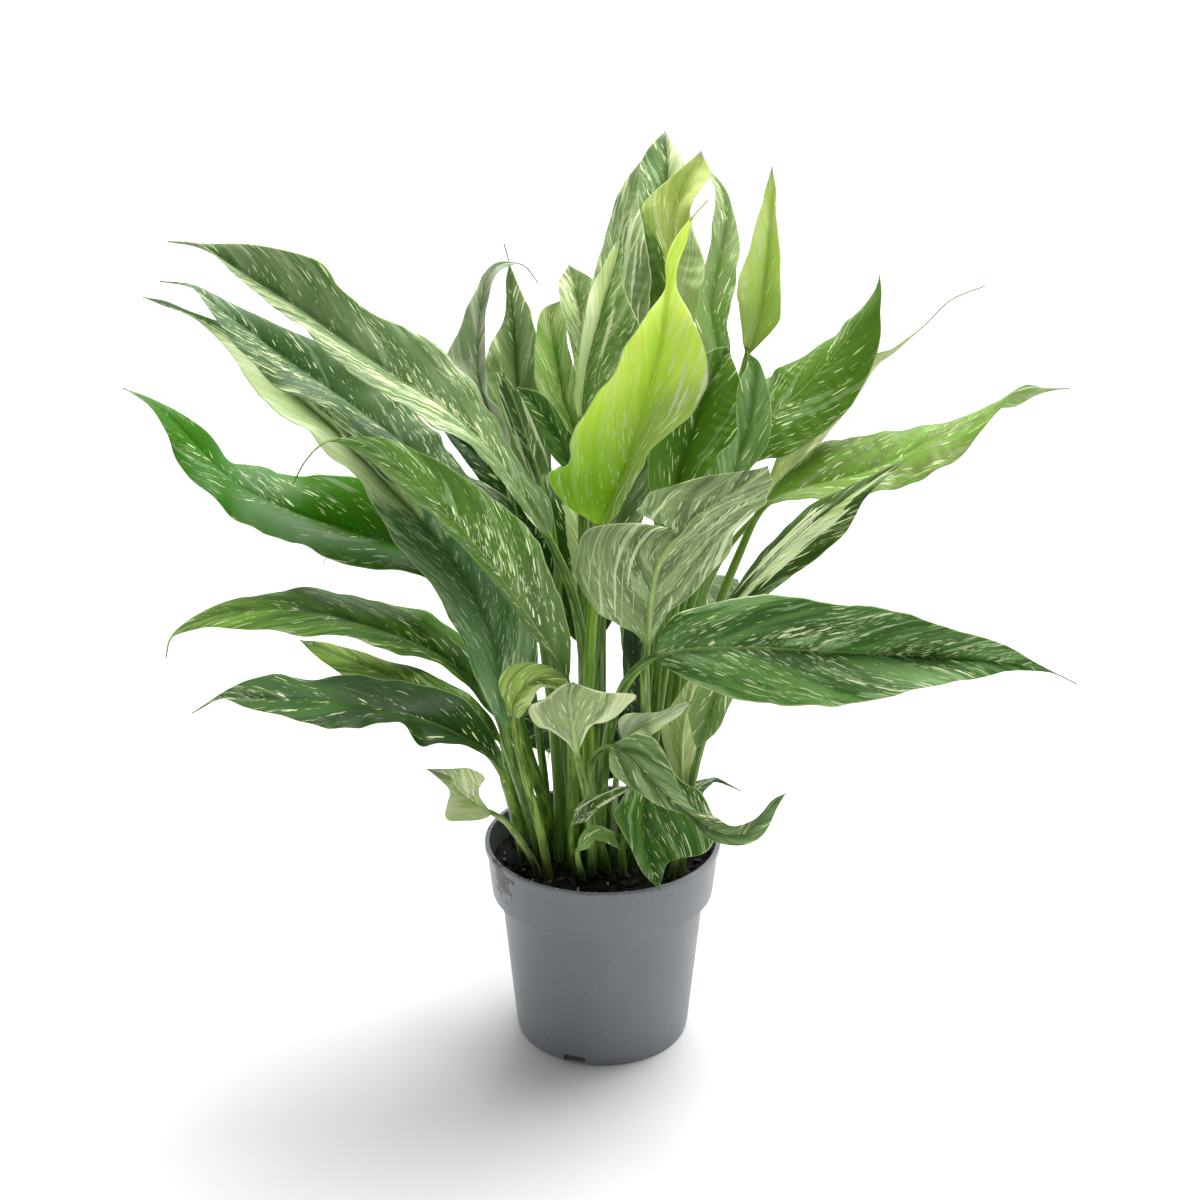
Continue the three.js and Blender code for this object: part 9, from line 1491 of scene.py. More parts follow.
    # long pale lines side by side with the midrib
    body = n.sep(n.attr("body").outputs["Vector"])        # along (mm), midrib radius, pale rib
    lco = n.comb(mul(body[0], 0.016), mul(d, 0.42), add(seed, 97.0))
    lines = n.noise(lco, 1.0, 2.5, 0.6, 0.1)
    amount = n.attr("lines").outputs["Fac"]
    lmask = n.ramp(add(lines, mul(amount, 0.22)), 0.665, 0.70)
    g = n.mix(mul(lmask, mul(n.ramp(amount, 0.0, 0.15), 0.9)), g, n.mix(n.ramp(fine, 0.3, 0.7), (0.60, 0.70, 0.36), (0.82, 0.86, 0.64)))

    # midrib, lateral veins and the pale margin, with painted shade in the midrib groove and in a band beside the midrib
    line = n.ramp(n.math("ABSOLUTE", n.math("SUBTRACT", n.math("FRACT", n.math("DIVIDE", q, 7.0)), 0.5)), 0.43, 0.5)
    g = n.mix(mul(line, 0.10), g, n.scale_col(deep, 0.8))
    wide = mul(body[1], add(0.55, mul(under, 0.55)))
    rib = n.math("SUBTRACT", 1.0, n.ramp(n.math("DIVIDE", ad, wide), 0.75, 1.15))
    # painted shade in the midrib groove on the upper face, less on pale-ribbed leaves
    midrib_groove_shade = mul(mul(n.math("SUBTRACT", 1.0, n.ramp(ad, 0.10, 0.42)), n.math("SUBTRACT", 1.0, under)), n.math("SUBTRACT", 1.0, n.ramp(body[2], 0.4, 0.8)))
    ribcol = n.mix(n.math("MAXIMUM", body[2], mul(under, 0.8)), n.scale_col(deep, 0.85), n.mix(0.65, n.scale_col(tone, 1.35), (0.34, 0.50, 0.12)))
    g = n.mix(mul(rib, mul(blade, 0.75)), g, ribcol)
    g = n.mix(mul(mul(midrib_groove_shade, blade), 0.65), g, n.scale_col(deep, 0.55))
    # painted shade in a band on each side of the midrib
    side_ = n.math("SUBTRACT", n.ramp(ad, 0.7, 1.4), n.ramp(ad, 1.4, 3.0))
    g = n.mix(mul(mul(side_, blade), 0.35), g, n.scale_col(deep, 0.7))
    edge = n.ramp(av, 0.968, 0.988)
    g = n.mix(mul(mul(edge, blade), 0.70), g, (0.52, 0.60, 0.32))
    # the underside is greyer and paler
    low = n.mix(0.26, n.scale_col(g, 1.1), (0.22, 0.25, 0.155))
    g = n.mix(mul(mul(under, 0.9), n.math("SUBTRACT", 1.0, mul(rib, 0.8))), g, low)
    # the drip tip dries to grey
    dry = n.ramp(s, 0.965, 1.0)
    g = n.mix(mul(dry, 0.75), g, (0.30, 0.31, 0.26))

    # stalk: long stripes, paler at the sheath
    sco = n.comb(mul(d, 0.9), mul(s, 6.0), add(seed, 5.0))
    stripe = n.noise(sco, 1.0, 3.0, 0.6)
    stalk = n.mix(n.ramp(stripe, 0.38, 0.64), n.mix(0.7, deep, (0.075, 0.155, 0.020)), n.mix(0.7, tone, (0.19, 0.32, 0.055)))
    stalk = n.mix(mul(n.ramp(n.noise(sco, 2.3, 2.0), 0.60, 0.68), 0.5), stalk, (0.42, 0.54, 0.20))
    foot = n.ramp(s, -0.5, -1.0)
    stalk = n.mix(mul(foot, 0.40), stalk, (0.17, 0.27, 0.045))
    g = n.mix(n.ramp(blade, 0.25, 0.95), stalk, g)

    n.set(Base_Color=g)
    gloss = add(rough, mul(n.math("SUBTRACT", mid, 0.5), 0.16))
    gloss = add(gloss, mul(under, 0.16))
    n.set(Roughness=gloss)
    n.bsdf.inputs["Specular IOR Level"].default_value = 0.13
    n.bsdf.inputs["Subsurface Weight"].default_value = 0.12
    n.bsdf.inputs["Subsurface Radius"].default_value = (0.5, 1.0, 0.25)
    n.bsdf.inputs["Subsurface Scale"].default_value = 0.0012
    ridge = mul(n.math("SINE", mul(q, 2 * math.pi / 1.6)), n.ramp(blade, 0.5, 1.0))
    h = add(mul(ridge, 0.15), mul(n.noise(n.comb(mul(q, 0.9), mul(d, 0.5), seed), 1.6, 3.0), 0.8))
    h = add(h, mul(line, -0.5))
    n.put(n.bsdf.inputs["Normal"], n.bump(h, 0.35, 0.00022))
    return n.mat


LEAF_MATS = {
    "leaf_dark": leaf_material("leaf_dark", 0.36), "leaf_mid": leaf_material("leaf_mid", 0.37),
    "leaf_bright": leaf_material("leaf_bright", 0.34), "leaf_light": leaf_material("leaf_light", 0.40),
    "leaf_grey": leaf_material("leaf_grey", 0.46), "leaf_pale": leaf_material("leaf_pale", 0.44),
}

# ---------------------------------------------------------------- leaf meshes
T_BLADE = np.array([0, .028, .07, .125, .19, .265, .35, .44, .535, .63, .725, .815, .90, .962, 1.0])
NH = len(T_BLADE) - 1
T_STALK = np.sin(np.pi / 2 * np.arange(NH + 1) / NH)


def build_leaf(name, kind, k, last, rows, look, seed):
    rng = np.random.default_rng(1000 + seed)
    D = np.array(rows, float)
    C0, A0, B0 = D[:, 0:3] / 10, D[:, 3:6] / 10, D[:, 6:9] / 10
    N0, r0 = D[:, 9:12] / 100, D[:, 12] / 100
    n = len(D)
    u = np.concatenate([np.arange(0, k * 4) / 4.0, k + np.arange(0, (last - k) * 6) / 6.0, last + np.arange(0, (n - 1 - last) * 5 + 1) / 5.0])
    u = u[u <= n - 1]
    C, A, B, N = spline(C0, u), spline(A0, u), spline(B0, u), unit(spline(N0, u))
    r = np.maximum(spline(r0[:, None], u)[:, 0], 0.22)
    tip = smooth(last, n - 1, u)
    r = np.maximum(r * (1 - 0.40 * tip), 0.34)
    T = unit(np.gradient(C, axis=0))
    side = unit(np.cross(T, N))
    up = unit(np.cross(side, T))
    step = np.linalg.norm(np.diff(C, axis=0), axis=1)
    s = np.concatenate([[0], np.cumsum(step)])
    s0 = s[np.searchsorted(u, k)]
    s1 = s[min(np.searchsorted(u, last), len(s) - 1)]
    sb = s - s0
    wl, wr = np.linalg.norm(A, axis=1), np.linalg.norm(B, axis=1)
    isblade = smooth(k - 0.3, k + 0.35, u)
    wl, wr = wl * isblade, wr * isblade
    wmax = np.maximum(wl, wr)
    m = smooth(1.15, 3.4, wmax / r)
    m = np.where(u < k, 0, m)
    fl, fr = smooth(0.8, 2.2, wl / r)[:, None], smooth(0.8, 2.2, wr / r)[:, None]
    al = unit(unit(A) * fl - side * (1 - fl))
    ar = unit(unit(B) * fr + side * (1 - fr))
    wl, wr = np.maximum(wl, r), np.maximum(wr, r)

    def half_normal(e):
        h = unit(np.cross(T, e))
        flip = np.sign((h * up).sum(1, keepdims=True))
        return h * np.where(flip == 0, 1, flip)

    nl, nr = half_normal(al), half_normal(ar)
    nm = unit(nl + nr)
    wave = [waves(rng, sb, (60, 31, 16), (0.045, 0.036, 0.016)) for _ in range(2)]
    cup = look.get("cup", 0.062)

    tops, bots, ts, ds = [], [], [], []
    for sgn, e, w, nh, wv in ((-1, al, wl, nl, wave[0]), (1, ar, wr, nr, wave[1])):
        t = (1 - m)[:, None] * T_STALK[None] + m[:, None] * T_BLADE[None]
        w = w * (1 + waves(rng, sb, (41, 19, 9), (0.010, 0.008, 0.004)) * m)
        d = t * w[:, None]
        rr = r[:, None]
        circ = np.sqrt(np.clip(rr ** 2 - np.minimum(d, rr) ** 2, 0, None))
        hb = 0.23 * np.sqrt(np.clip(1 - t ** 5, 0, 1))
        keel = rr * np.exp(-(d / (1.05 * rr)) ** 2) * 0.95
        groove = 0.30 * np.exp(-(d / 1.1) ** 2) * smooth(4, 14, w)[:, None]
        M = m[:, None]
        ztop = (1 - M) * circ + M * (hb - groove * 0.6)
        zbot = -((1 - M) * circ + M * (hb + keel))
        q = sb[:, None] - 1.6 * d - 1.0 * d ** 2 / np.maximum(w, 4)[:, None]
        lam = 7.0
        quilt = 0.26 * np.sin(2 * np.pi * q / lam) * smooth(0.03, 0.2, t) * (1 - smooth(0.75, 1.0, t)) * smooth(10, 22, w)[:, None]
        body = (cup * 4 * t * (1 - t) * 0.9 + wv[:, None] * t ** 2.2) * w[:, None]
        blend = smooth(0.0, 1.0, d / (2.2 * rr))[..., None]
        nn = unit(nm[:, None, :] * (1 - blend) + nh[:, None, :] * blend)
        mid = C[:, None, :] + e[:, None, :] * d[..., None] + nh[:, None, :] * (M * (body + quilt))[..., None]
        tops.append(mid + nn * ztop[..., None])
        bots.append(mid + nn * zbot[..., None])
        ts.append(sgn * t)
        ds.append(sgn * d)
    # ring: left margin over the top to the right margin, then back underneath
    def ring(L, R):
        return np.concatenate([L[:, ::-1], R[:, 1:]], axis=1)
    Pt, Pb = ring(tops[0], tops[1]), ring(bots[0], bots[1])
    edge = (Pt[:, [0, -1]] + Pb[:, [0, -1]]) / 2
    Pt[:, [0, -1]] = edge
    tv, dv = ring(ts[0], ts[1]), ring(ds[0], ds[1])
    P = np.concatenate([Pt, Pb[:, -2:0:-1]], axis=1)
    V = np.concatenate([tv, tv[:, -2:0:-1]], axis=1)
    Dd = np.concatenate([dv, dv[:, -2:0:-1]], axis=1)
    nt = tv.shape[1]
    under = np.zeros(P.shape[:2])
    under[:, nt:] = 1.0
    under[:, [0, nt - 1]] = 0.5
    W = np.where(V < 0, wl[:, None], wr[:, None])
    Q = sb[:, None] - (1.6 * np.abs(Dd) + 1.0 * Dd ** 2 / np.maximum(W, 4)) * m[:, None]
    frac = np.where(sb < 0, sb / max(s0, 1), sb / max(s1 - s0, 1) * 0.95)
    over = sb > (s1 - s0)
    frac = np.where(over, 0.95 + 0.05 * (sb - (s1 - s0)) / max(s[-1] - s1, 1), frac)
    S = np.repeat(frac[:, None], P.shape[1], 1)
    under = under * m[:, None]
    R_, K = P.shape[:2]
    verts = np.concatenate([P.reshape(-1, 3), [C[0] - T[0] * 0.3], [C[-1] + T[-1] * 0.4]])
    i, j = np.meshgrid(np.arange(R_ - 1), np.arange(K), indexing="ij")
    jn = (j + 1) % K
    quads = np.stack([i * K + j, i * K + jn, (i + 1) * K + jn, (i + 1) * K + j], -1).reshape(-1, 4)
    a, b = R_ * K, R_ * K + 1
    caps = [(a, (jj + 1) % K, jj) for jj in range(K)] + [(b, (R_ - 1) * K + jj, (R_ - 1) * K + (jj + 1) % K) for jj in range(K)]
    faces = list(quads) + caps

    def ext(x):
        x = x.reshape(R_ * K, -1)
        return np.concatenate([x, x[:1], x[-1:]])

    # marks of this leaf: streak strength, cream sectors, dark sectors of painted shade
    cream = np.zeros(P.shape[:2])
    dark = np.zeros(P.shape[:2])
    other = np.zeros(P.shape[:2])
    lines = np.full(P.shape[:2], look.get("lines", 0.0))
    Q01 = S - 0.0
    for what, sa, sz, va, vz, amp in look.get("sectors", ()):
        slope = np.abs(V) * look.get("slant", 0.10)
        f = smooth(sa - 0.05, sa + 0.07, Q01 - slope * 0.5) * (1 - smooth(sz - 0.07, sz + 0.05, Q01 - slope * 0.5))
        f = f * smooth(va - 0.10, va + 0.10, V) * (1 - smooth(vz - 0.10, vz + 0.10, V)) * amp
        if what == "c":
            cream = np.maximum(cream, f)
        elif what == "a":
            other = np.maximum(other, f)
        elif what == "l":
            lines = np.maximum(lines, f)
        else:
            dark = np.maximum(dark, f)
    vari = np.full(P.shape[:2], look.get("vari", 0.4)) + waves(rng, sb, (90, 45), (0.08, 0.05))[:, None]
    tone0, tone1 = np.array(look["tone"]), np.array(look.get("tip", look["tone"]))
    deep0 = np.array(look.get("deep", [c * 0.5 for c in look["tone"]]))
    deep1 = np.array(look.get("deeptip", look.get("deep", [c * 0.5 for c in look.get("tip", look["tone"])])))
    g = smooth(look.get("turn", 0.5) - 0.25, look.get("turn", 0.5) + 0.25, np.clip(S, 0, 1))[..., None]
    tone = tone0 * (1 - g) + tone1 * g
    deep = deep0 * (1 - g) + deep1 * g
    alt = np.array(look.get("alt", look["tone"]))
    tone = tone * (1 - other[..., None]) + alt * other[..., None]
    deep = deep * (1 - other[..., None]) + alt * 0.62 * other[..., None]
    one = np.ones(P.shape[:2] + (1,))
    attrs = {
        "veinco": ("FLOAT_VECTOR", ext(np.stack([Q, Dd, np.full_like(Q, seed * 7.31)], -1))),
        "flatco": ("FLOAT_VECTOR", ext(np.stack([V, S, np.repeat(m[:, None], K, 1)], -1))),
        "mark": ("FLOAT_VECTOR", ext(np.stack([vari, cream, dark], -1))),
        "tone": ("FLOAT_COLOR", ext(np.concatenate([tone, one], -1))),
        "deep": ("FLOAT_COLOR", ext(np.concatenate([deep, one], -1))),
        "under": ("FLOAT", ext(under)),
        "lines": ("FLOAT", ext(lines)),
        "body": ("FLOAT_VECTOR", ext(np.stack([np.repeat(sb[:, None], K, 1), np.repeat(np.maximum(r, 0.5)[:, None], K, 1), np.full(P.shape[:2], look.get("rib", 0.35))], -1))),
    }
    # a plain unwrap: along the leaf by round the ring
    uu = np.concatenate([np.arange(K), [K]]) / K * 0.98 + 0.01
    ll = 0.01 + 0.98 * s / s[-1]
    uv = np.stack([
        np.stack([uu[j], ll[i]], -1), np.stack([uu[j + 1], ll[i]], -1),
        np.stack([uu[j + 1], ll[i + 1]], -1), np.stack([uu[j], ll[i + 1]], -1)], 2).reshape(-1, 2)
    cap_uv = []
    for jj in range(K):
        cap_uv += [((uu[jj] + uu[jj + 1]) / 2, 0.003), (uu[jj + 1], 0.0095), (uu[jj], 0.0095)]
    for jj in range(K):
        cap_uv += [((uu[jj] + uu[jj + 1]) / 2, 0.997), (uu[jj], 0.9905), (uu[jj + 1], 0.9905)]
    uv = np.concatenate([uv, np.array(cap_uv)])
    ob = new_object("peace_lily_" + name, verts, faces, LEAF_MATS[kind], attrs=attrs, uv=uv)
    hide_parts(name)
    return ob


# per-leaf looks: tone and deep greens (linear), variegation, cream (c) sectors and dark (d) sectors of painted shade,
# as s0, s1, v0, v1, amount
def rgb(r, g, b):
    f = lambda x: (x / 255 / 12.92) if x <= 10 else ((x / 255 + 0.055) / 1.055) ** 2.4
    return (f(r), f(g), f(b))


LOOKS = {
    "leaf_01": dict(tone=rgb(140, 159, 115), deep=rgb(59, 101, 36), vari=0.46, rib=0.5, sectors=[("c", 0.28, 0.85, -1.1, -0.35, 0.55), ("c", 0.08, 0.5, -0.3, 0.15, 0.55), ("l", 0.0, 0.5, -1.2, 1.2, 0.15)]),
    "leaf_02": dict(tone=rgb(68, 95, 43), deep=rgb(64, 99, 60), vari=0.55, sectors=[("c", 0.2, 0.9, -1.1, -0.62, 0.4)]),
    "leaf_03": dict(tone=rgb(136, 164, 122), deep=rgb(47, 110, 37), vari=0.62, sectors=[("c", 0.42, 0.97, -1.2, 0.25, 1.0)]),
    "leaf_04": dict(tone=rgb(64, 103, 11), deep=rgb(49, 120, 5), vari=0.22),
    "leaf_05": dict(tone=rgb(103, 144, 45), deep=rgb(54, 94, 23), vari=0.34, rib=0.7, alt=rgb(104, 130, 78), sectors=[("a", 0.0, 0.42, -1.2, 1.2, 0.65), ("c", 0.30, 0.62, 0.0, 0.55, 0.45)]),
    "leaf_06": dict(tone=rgb(115, 169, 44), deep=rgb(28, 71, 6), tip=rgb(174, 225, 75), turn=0.75, vari=0.4),
    "leaf_07": dict(tone=rgb(103, 145, 44), deep=rgb(25, 61, 5), tip=rgb(215, 242, 100), deeptip=rgb(69, 113, 20), turn=0.6, vari=0.5, sectors=[("c", 0.1, 0.8, -1.2, -0.55, 0.6)]),
    "leaf_08": dict(tone=rgb(56, 104, 17), deep=rgb(14, 45, 2), vari=0.4, sectors=[("d", 0.0, 0.6, -1.1, 1.1, 0.5)]),
    "leaf_09": dict(tone=rgb(208, 214, 169), deep=rgb(151, 177, 95), vari=0.7, sectors=[("c", 0.0, 1.0, 0.1, 1.2, 0.5)]),
    "leaf_10": dict(tone=rgb(211, 211, 193), deep=rgb(69, 109, 41), vari=0.5),
    "leaf_11": dict(tone=rgb(155, 171, 113), deep=rgb(86, 116, 65), vari=0.35),
    "leaf_12": dict(tone=rgb(205, 215, 152), deep=rgb(114, 166, 57), vari=0.75, sectors=[("c", 0.0, 0.45, -1.1, 1.1, 0.4)]),
    "leaf_13": dict(tone=rgb(135, 151, 100), deep=rgb(105, 137, 65), vari=0.8, sectors=[("c", 0.0, 1.0, -1.2, 0.1, 0.6)]),
    "leaf_14": dict(tone=rgb(151, 179, 108), deep=rgb(77, 121, 45), vari=0.55, sectors=[("c", 0.0, 1.0, -1.2, -0.02, 1.0), ("l", 0.1, 0.9, 0.1, 0.5, 0.5)]),
    "leaf_15": dict(tone=rgb(177, 197, 129), deep=rgb(87, 112, 76), vari=0.45, rib=0.8, lines=0.35, sectors=[("l", 0.2, 0.95, -0.35, 0.5, 0.7)]),
    "leaf_16": dict(tone=rgb(95, 134, 43), deep=rgb(44, 72, 11), vari=0.6, sectors=[("c", 0.0, 1.0, 0.04, 1.2, 1.0), ("d", 0.1, 0.5, -0.9, -0.1, 0.5)]),
    "leaf_17": dict(tone=rgb(197, 207, 124), deep=rgb(140, 166, 64), vari=0.5, rib=0.85),
    "leaf_18": dict(tone=rgb(137, 147, 103), deep=rgb(107, 149, 71), vari=0.5),
    "leaf_19": dict(tone=rgb(197, 208, 133), deep=rgb(166, 200, 78), vari=0.42, rib=0.9, sectors=[("d", 0.0, 0.4, 0.0, 1.1, 0.6)]),
    "leaf_20": dict(tone=rgb(173, 211, 59), deep=rgb(130, 180, 32), tip=rgb(236, 255, 119), deeptip=rgb(203, 239, 78), turn=0.35, vari=0.50, rib=1.0, alt=rgb(160, 180, 112), sectors=[("a", 0.0, 0.50, 0.15, 1.2, 0.6), ("l", 0.02, 0.6, 0.3, 1.2, 0.4)]),
    "leaf_21": dict(tone=rgb(97, 135, 44), deep=rgb(75, 113, 30), vari=0.42, rib=0.7),
    "leaf_22": dict(tone=rgb(188, 195, 117), deep=rgb(113, 136, 69), vari=0.35),
    "leaf_23": dict(tone=rgb(99, 109, 49), deep=rgb(113, 160, 51), vari=0.55, rib=0.85),
    "leaf_24": dict(tone=rgb(86, 114, 52), deep=rgb(28, 54, 3), vari=0.5, rib=0.3, sectors=[("c", 0.12, 0.97, 0.04, 0.42, 1.25), ("l", 0.05, 0.97, -0.05, 0.55, 0.8), ("l", 0.1, 0.8, -0.5, 0.0, 0.5)]),
    "leaf_25": dict(tone=rgb(120, 168, 89), deep=rgb(27, 62, 11), vari=0.72, rib=0.75),
    "leaf_26": dict(tone=rgb(159, 180, 114), deep=rgb(39, 66, 23), vari=0.75, rib=1.0, lines=0.15, sectors=[("l", 0.15, 0.8, 0.3, 1.2, 0.5), ("l", 0.1, 0.9, -1.2, -0.6, 0.45)]),
    "leaf_27": dict(tone=rgb(124, 146, 88), deep=rgb(93, 130, 61), vari=0.5),
    "leaf_28": dict(tone=rgb(240, 237, 177), deep=rgb(124, 160, 67), vari=0.7, lines=0.3, sectors=[("c", 0.0, 1.0, 0.4, 1.2, 0.6)]),
    "leaf_29": dict(tone=rgb(214, 220, 192), deep=rgb(150, 168, 128), vari=0.6, sectors=[("c", 0.0, 1.0, -0.2, 1.2, 1.5)]),
    "leaf_30": dict(tone=rgb(173, 188, 130), deep=rgb(80, 114, 42), vari=0.5, rib=1.0, alt=rgb(120, 138, 92), sectors=[("a", 0.0, 0.5, 0.5, 1.2, 0.25), ("c", 0.0, 1.0, -1.2, -0.7, 1.2), ("c", 0.0, 1.0, 0.8, 1.2, 1.0)]),
    "leaf_31": dict(tone=rgb(228, 251, 137), deep=rgb(62, 103, 20), vari=0.5, sectors=[("c", 0.3, 1.0, 0.5, 1.2, 0.9)]),
    "leaf_32": dict(tone=rgb(162, 194, 127), deep=rgb(33, 73, 7), vari=0.75),
    "leaf_33": dict(tone=rgb(91, 136, 53), deep=rgb(36, 74, 12), vari=0.65),
    "leaf_34": dict(tone=rgb(72, 104, 46), deep=rgb(36, 68, 22), vari=0.4),
    "leaf_35": dict(tone=rgb(113, 150, 76), deep=rgb(128, 167, 80), vari=0.6),
    "leaf_36": dict(tone=rgb(102, 139, 39), deep=rgb(29, 57, 6), vari=0.6, sectors=[("l", 0.0, 1.0, -1.2, -0.5, 1.0), ("l", 0.0, 1.0, 0.5, 1.2, 1.0)]),
    "leaf_37": dict(tone=rgb(96, 137, 44), deep=rgb(76, 116, 30), vari=0.3),
    "leaf_38": dict(tone=rgb(157, 188, 135), deep=rgb(93, 137, 49), vari=0.4),
    "leaf_39": dict(tone=rgb(80, 119, 57), deep=rgb(24, 52, 6), vari=0.5, sectors=[("l", 0.0, 1.0, -1.2, -0.6, 0.8), ("l", 0.0, 1.0, 0.6, 1.2, 0.8)]),
    "leaf_40": dict(tone=rgb(106, 154, 75), deep=rgb(36, 69, 11), vari=0.45),
    "leaf_41": dict(tone=rgb(104, 136, 70), deep=rgb(56, 90, 38), vari=0.6),
    "leaf_42": dict(tone=rgb(40, 78, 12), deep=rgb(44, 80, 15), vari=0.5, sectors=[("c", 0.1, 0.95, -0.4, 0.0, 0.9)]),
    "leaf_43": dict(tone=rgb(98, 130, 66), deep=rgb(54, 88, 36), vari=0.6),
    "leaf_44": dict(tone=rgb(100, 140, 56), deep=rgb(54, 94, 22), vari=0.35),
    "leaf_45": dict(tone=rgb(82, 116, 56), deep=rgb(44, 76, 26), vari=0.5),
    "leaf_46": dict(tone=rgb(108, 138, 72), deep=rgb(60, 94, 38), vari=0.7, sectors=[("c", 0.0, 0.9, 0.2, 1.2, 0.7)]),
    "leaf_47": dict(tone=rgb(146, 174, 98), deep=rgb(98, 132, 60), vari=0.6),
    "leaf_48": dict(tone=rgb(152, 172, 130), deep=rgb(39, 69, 13), vari=0.5),
    "leaf_49": dict(tone=rgb(46, 70, 30), deep=rgb(20, 40, 14), vari=0.25),
    "leaf_50": dict(tone=rgb(77, 99, 71), deep=rgb(8, 23, 7), vari=0.15),
    "leaf_51": dict(tone=rgb(29, 60, 6), deep=rgb(32, 80, 9), vari=0.4),
    "leaf_52": dict(tone=rgb(44, 68, 30), deep=rgb(20, 40, 14), vari=0.25),
}


for index, (name, (kind, k, last, rows)) in enumerate(LEAVES.items()):
    build_leaf(name, kind, k, last, rows, LOOKS[name], index + 1)


# ---------------------------------------------------------------- pot
def pot_material():
    n = Nodes("pot_plastic")
    co = n.t.nodes.new("ShaderNodeTexCoord").outputs["Object"]
    p = n.sep(co)
    base = n.noise(co, 14.0, 4.0, 0.6)
    cloud = n.noise(co, 55.0, 3.0, 0.6)
    col = n.mix(n.ramp(base, 0.35, 0.7), (0.176, 0.191, 0.211), (0.193, 0.209, 0.231))
    # drip marks and dust running down the wall
    turn = n.math("ARCTAN2", n.math("SUBTRACT", p[1], POT_Y / 1000), n.math("SUBTRACT", p[0], POT_X / 1000))
    run = n.noise(n.comb(n.math("MULTIPLY", turn, 14.0), n.math("MULTIPLY", p[2], 9.0), 0.0), 1.0, 4.0, 0.65)
    col = n.mix(n.math("MULTIPLY", n.ramp(run, 0.56, 0.74), 0.22), col, (0.22, 0.23, 0.24))
    # fine pale scratches round the wall
    scr = n.noise(n.comb(n.math("MULTIPLY", turn, 5.0), n.math("MULTIPLY", p[2], 900.0), 3.0), 1.0, 2.0, 0.5)
    col = n.mix(n.math("MULTIPLY", n.ramp(scr, 0.66, 0.72), 0.12), col, (0.32, 0.33, 0.34))
    # splashed soil below the rim and at the foot
    grit = n.noise(co, 420.0, 3.0, 0.6)
    spots = n.ramp(n.math("ADD", grit, n.math("MULTIPLY", n.ramp(p[2], 0.100, 0.116), 0.05)), 0.66, 0.70)
    low = n.math("ADD", n.ramp(p[2], 0.098, 0.113), n.ramp(p[2], 0.012, 0.0))
    col = n.mix(n.math("MULTIPLY", spots, n.math("MULTIPLY", low, 0.4)), col, (0.05, 0.042, 0.034))
    # one smear of wet peat below the rim, left of the front
    sx = n.math("MULTIPLY", n.math("SUBTRACT", turn, -2.60), 6.5)
    sz = n.math("MULTIPLY", n.math("SUBTRACT", p[2], 0.1085), 75.0)
    far = n.math("SQRT", n.math("ADD", n.math("MULTIPLY", sx, sx), n.math("MULTIPLY", sz, sz)))
    blot = n.math("ADD", n.math("SUBTRACT", 1.0, far), n.math("MULTIPLY", n.math("SUBTRACT", n.noise(co, 210.0, 4.0, 0.65), 0.5), 4.6))
    col = n.mix(n.math("MULTIPLY", n.ramp(blot, 0.05, 0.35), 0.88), col, (0.020, 0.019, 0.018))
    speck = n.voronoi(co, 330.0)
    dot = n.math("MULTIPLY", n.math("SUBTRACT", 1.0, n.ramp(speck.outputs["Distance"], 0.10, 0.16)), n.ramp(n.sep(speck.outputs["Color"])[0], 0.80, 0.86))
    col = n.mix(n.math("MULTIPLY", dot, 0.55), col, (0.42, 0.43, 0.42))
    n.set(Base_Color=col)
    rough = n.math("ADD", 0.40, n.math("MULTIPLY", n.math("SUBTRACT", cloud, 0.5), 0.22))
    rough = n.math("ADD", rough, n.math("MULTIPLY", n.ramp(run, 0.52, 0.74), 0.12))
    n.set(Roughness=rough)
    n.bsdf.inputs["Specular IOR Level"].default_value = 0.45
    h = n.math("ADD", n.math("MULTIPLY", n.noise(co, 1500.0, 2.0), 0.5), n.math("MULTIPLY", n.noise(co, 90.0, 2.0), 1.0))
    n.put(n.bsdf.inputs["Normal"], n.bump(h, 0.18, 0.0002))
    return n.mat


COLLAR_Z = POT_HEIGHT - COLLAR_HEIGHT
FLOOR_IN = FOOT_RING_HEIGHT + WALL


def body_r(z):
    return FOOT_RADIUS + (BODY_TOP_RADIUS - FOOT_RADIUS) * (z / (COLLAR_Z - 3))


def collar_r(z):
    return COLLAR_FOOT_RADIUS + (RIM_RADIUS - RIM_LIP * 0.6 - COLLAR_FOOT_RADIUS) * ((z - COLLAR_Z) / COLLAR_HEIGHT)


def inner_r(z):
    return (collar_r(max(z, COLLAR_Z)) if z > COLLAR_Z - 1 else body_r(z)) - WALL


def rounded(points, max_step=3.0):
    """points: r, z, corner radius. Corners become arcs, long runs are divided."""
    P = [np.array(p[:2], float) for p in points]
    out = []
    for i, (p, spec) in enumerate(zip(P, points)):
        rad = spec[2]
        if rad <= 0 or i in (0, len(P) - 1):
            out.append(p)
            continue
        a, b = P[i - 1] - p, P[i + 1] - p
        la, lb = np.linalg.norm(a), np.linalg.norm(b)
        a, b = a / la, b / lb
        half = math.acos(np.clip(a @ b, -1, 1)) / 2
        cut = min(rad / math.tan(half), la * 0.45, lb * 0.45)
        for t in np.linspace(0, 1, 5):
            out.append((1 - t) ** 2 * (p + a * cut) + 2 * t * (1 - t) * p + t ** 2 * (p + b * cut))
    fine = [out[0]]
    for p in out[1:]:
        k = max(1, int(np.linalg.norm(p - fine[-1]) / max_step))
        q = fine[-1]
        fine += [q + (p - q) * (j + 1) / k for j in range(k)]
    return np.array(fine)


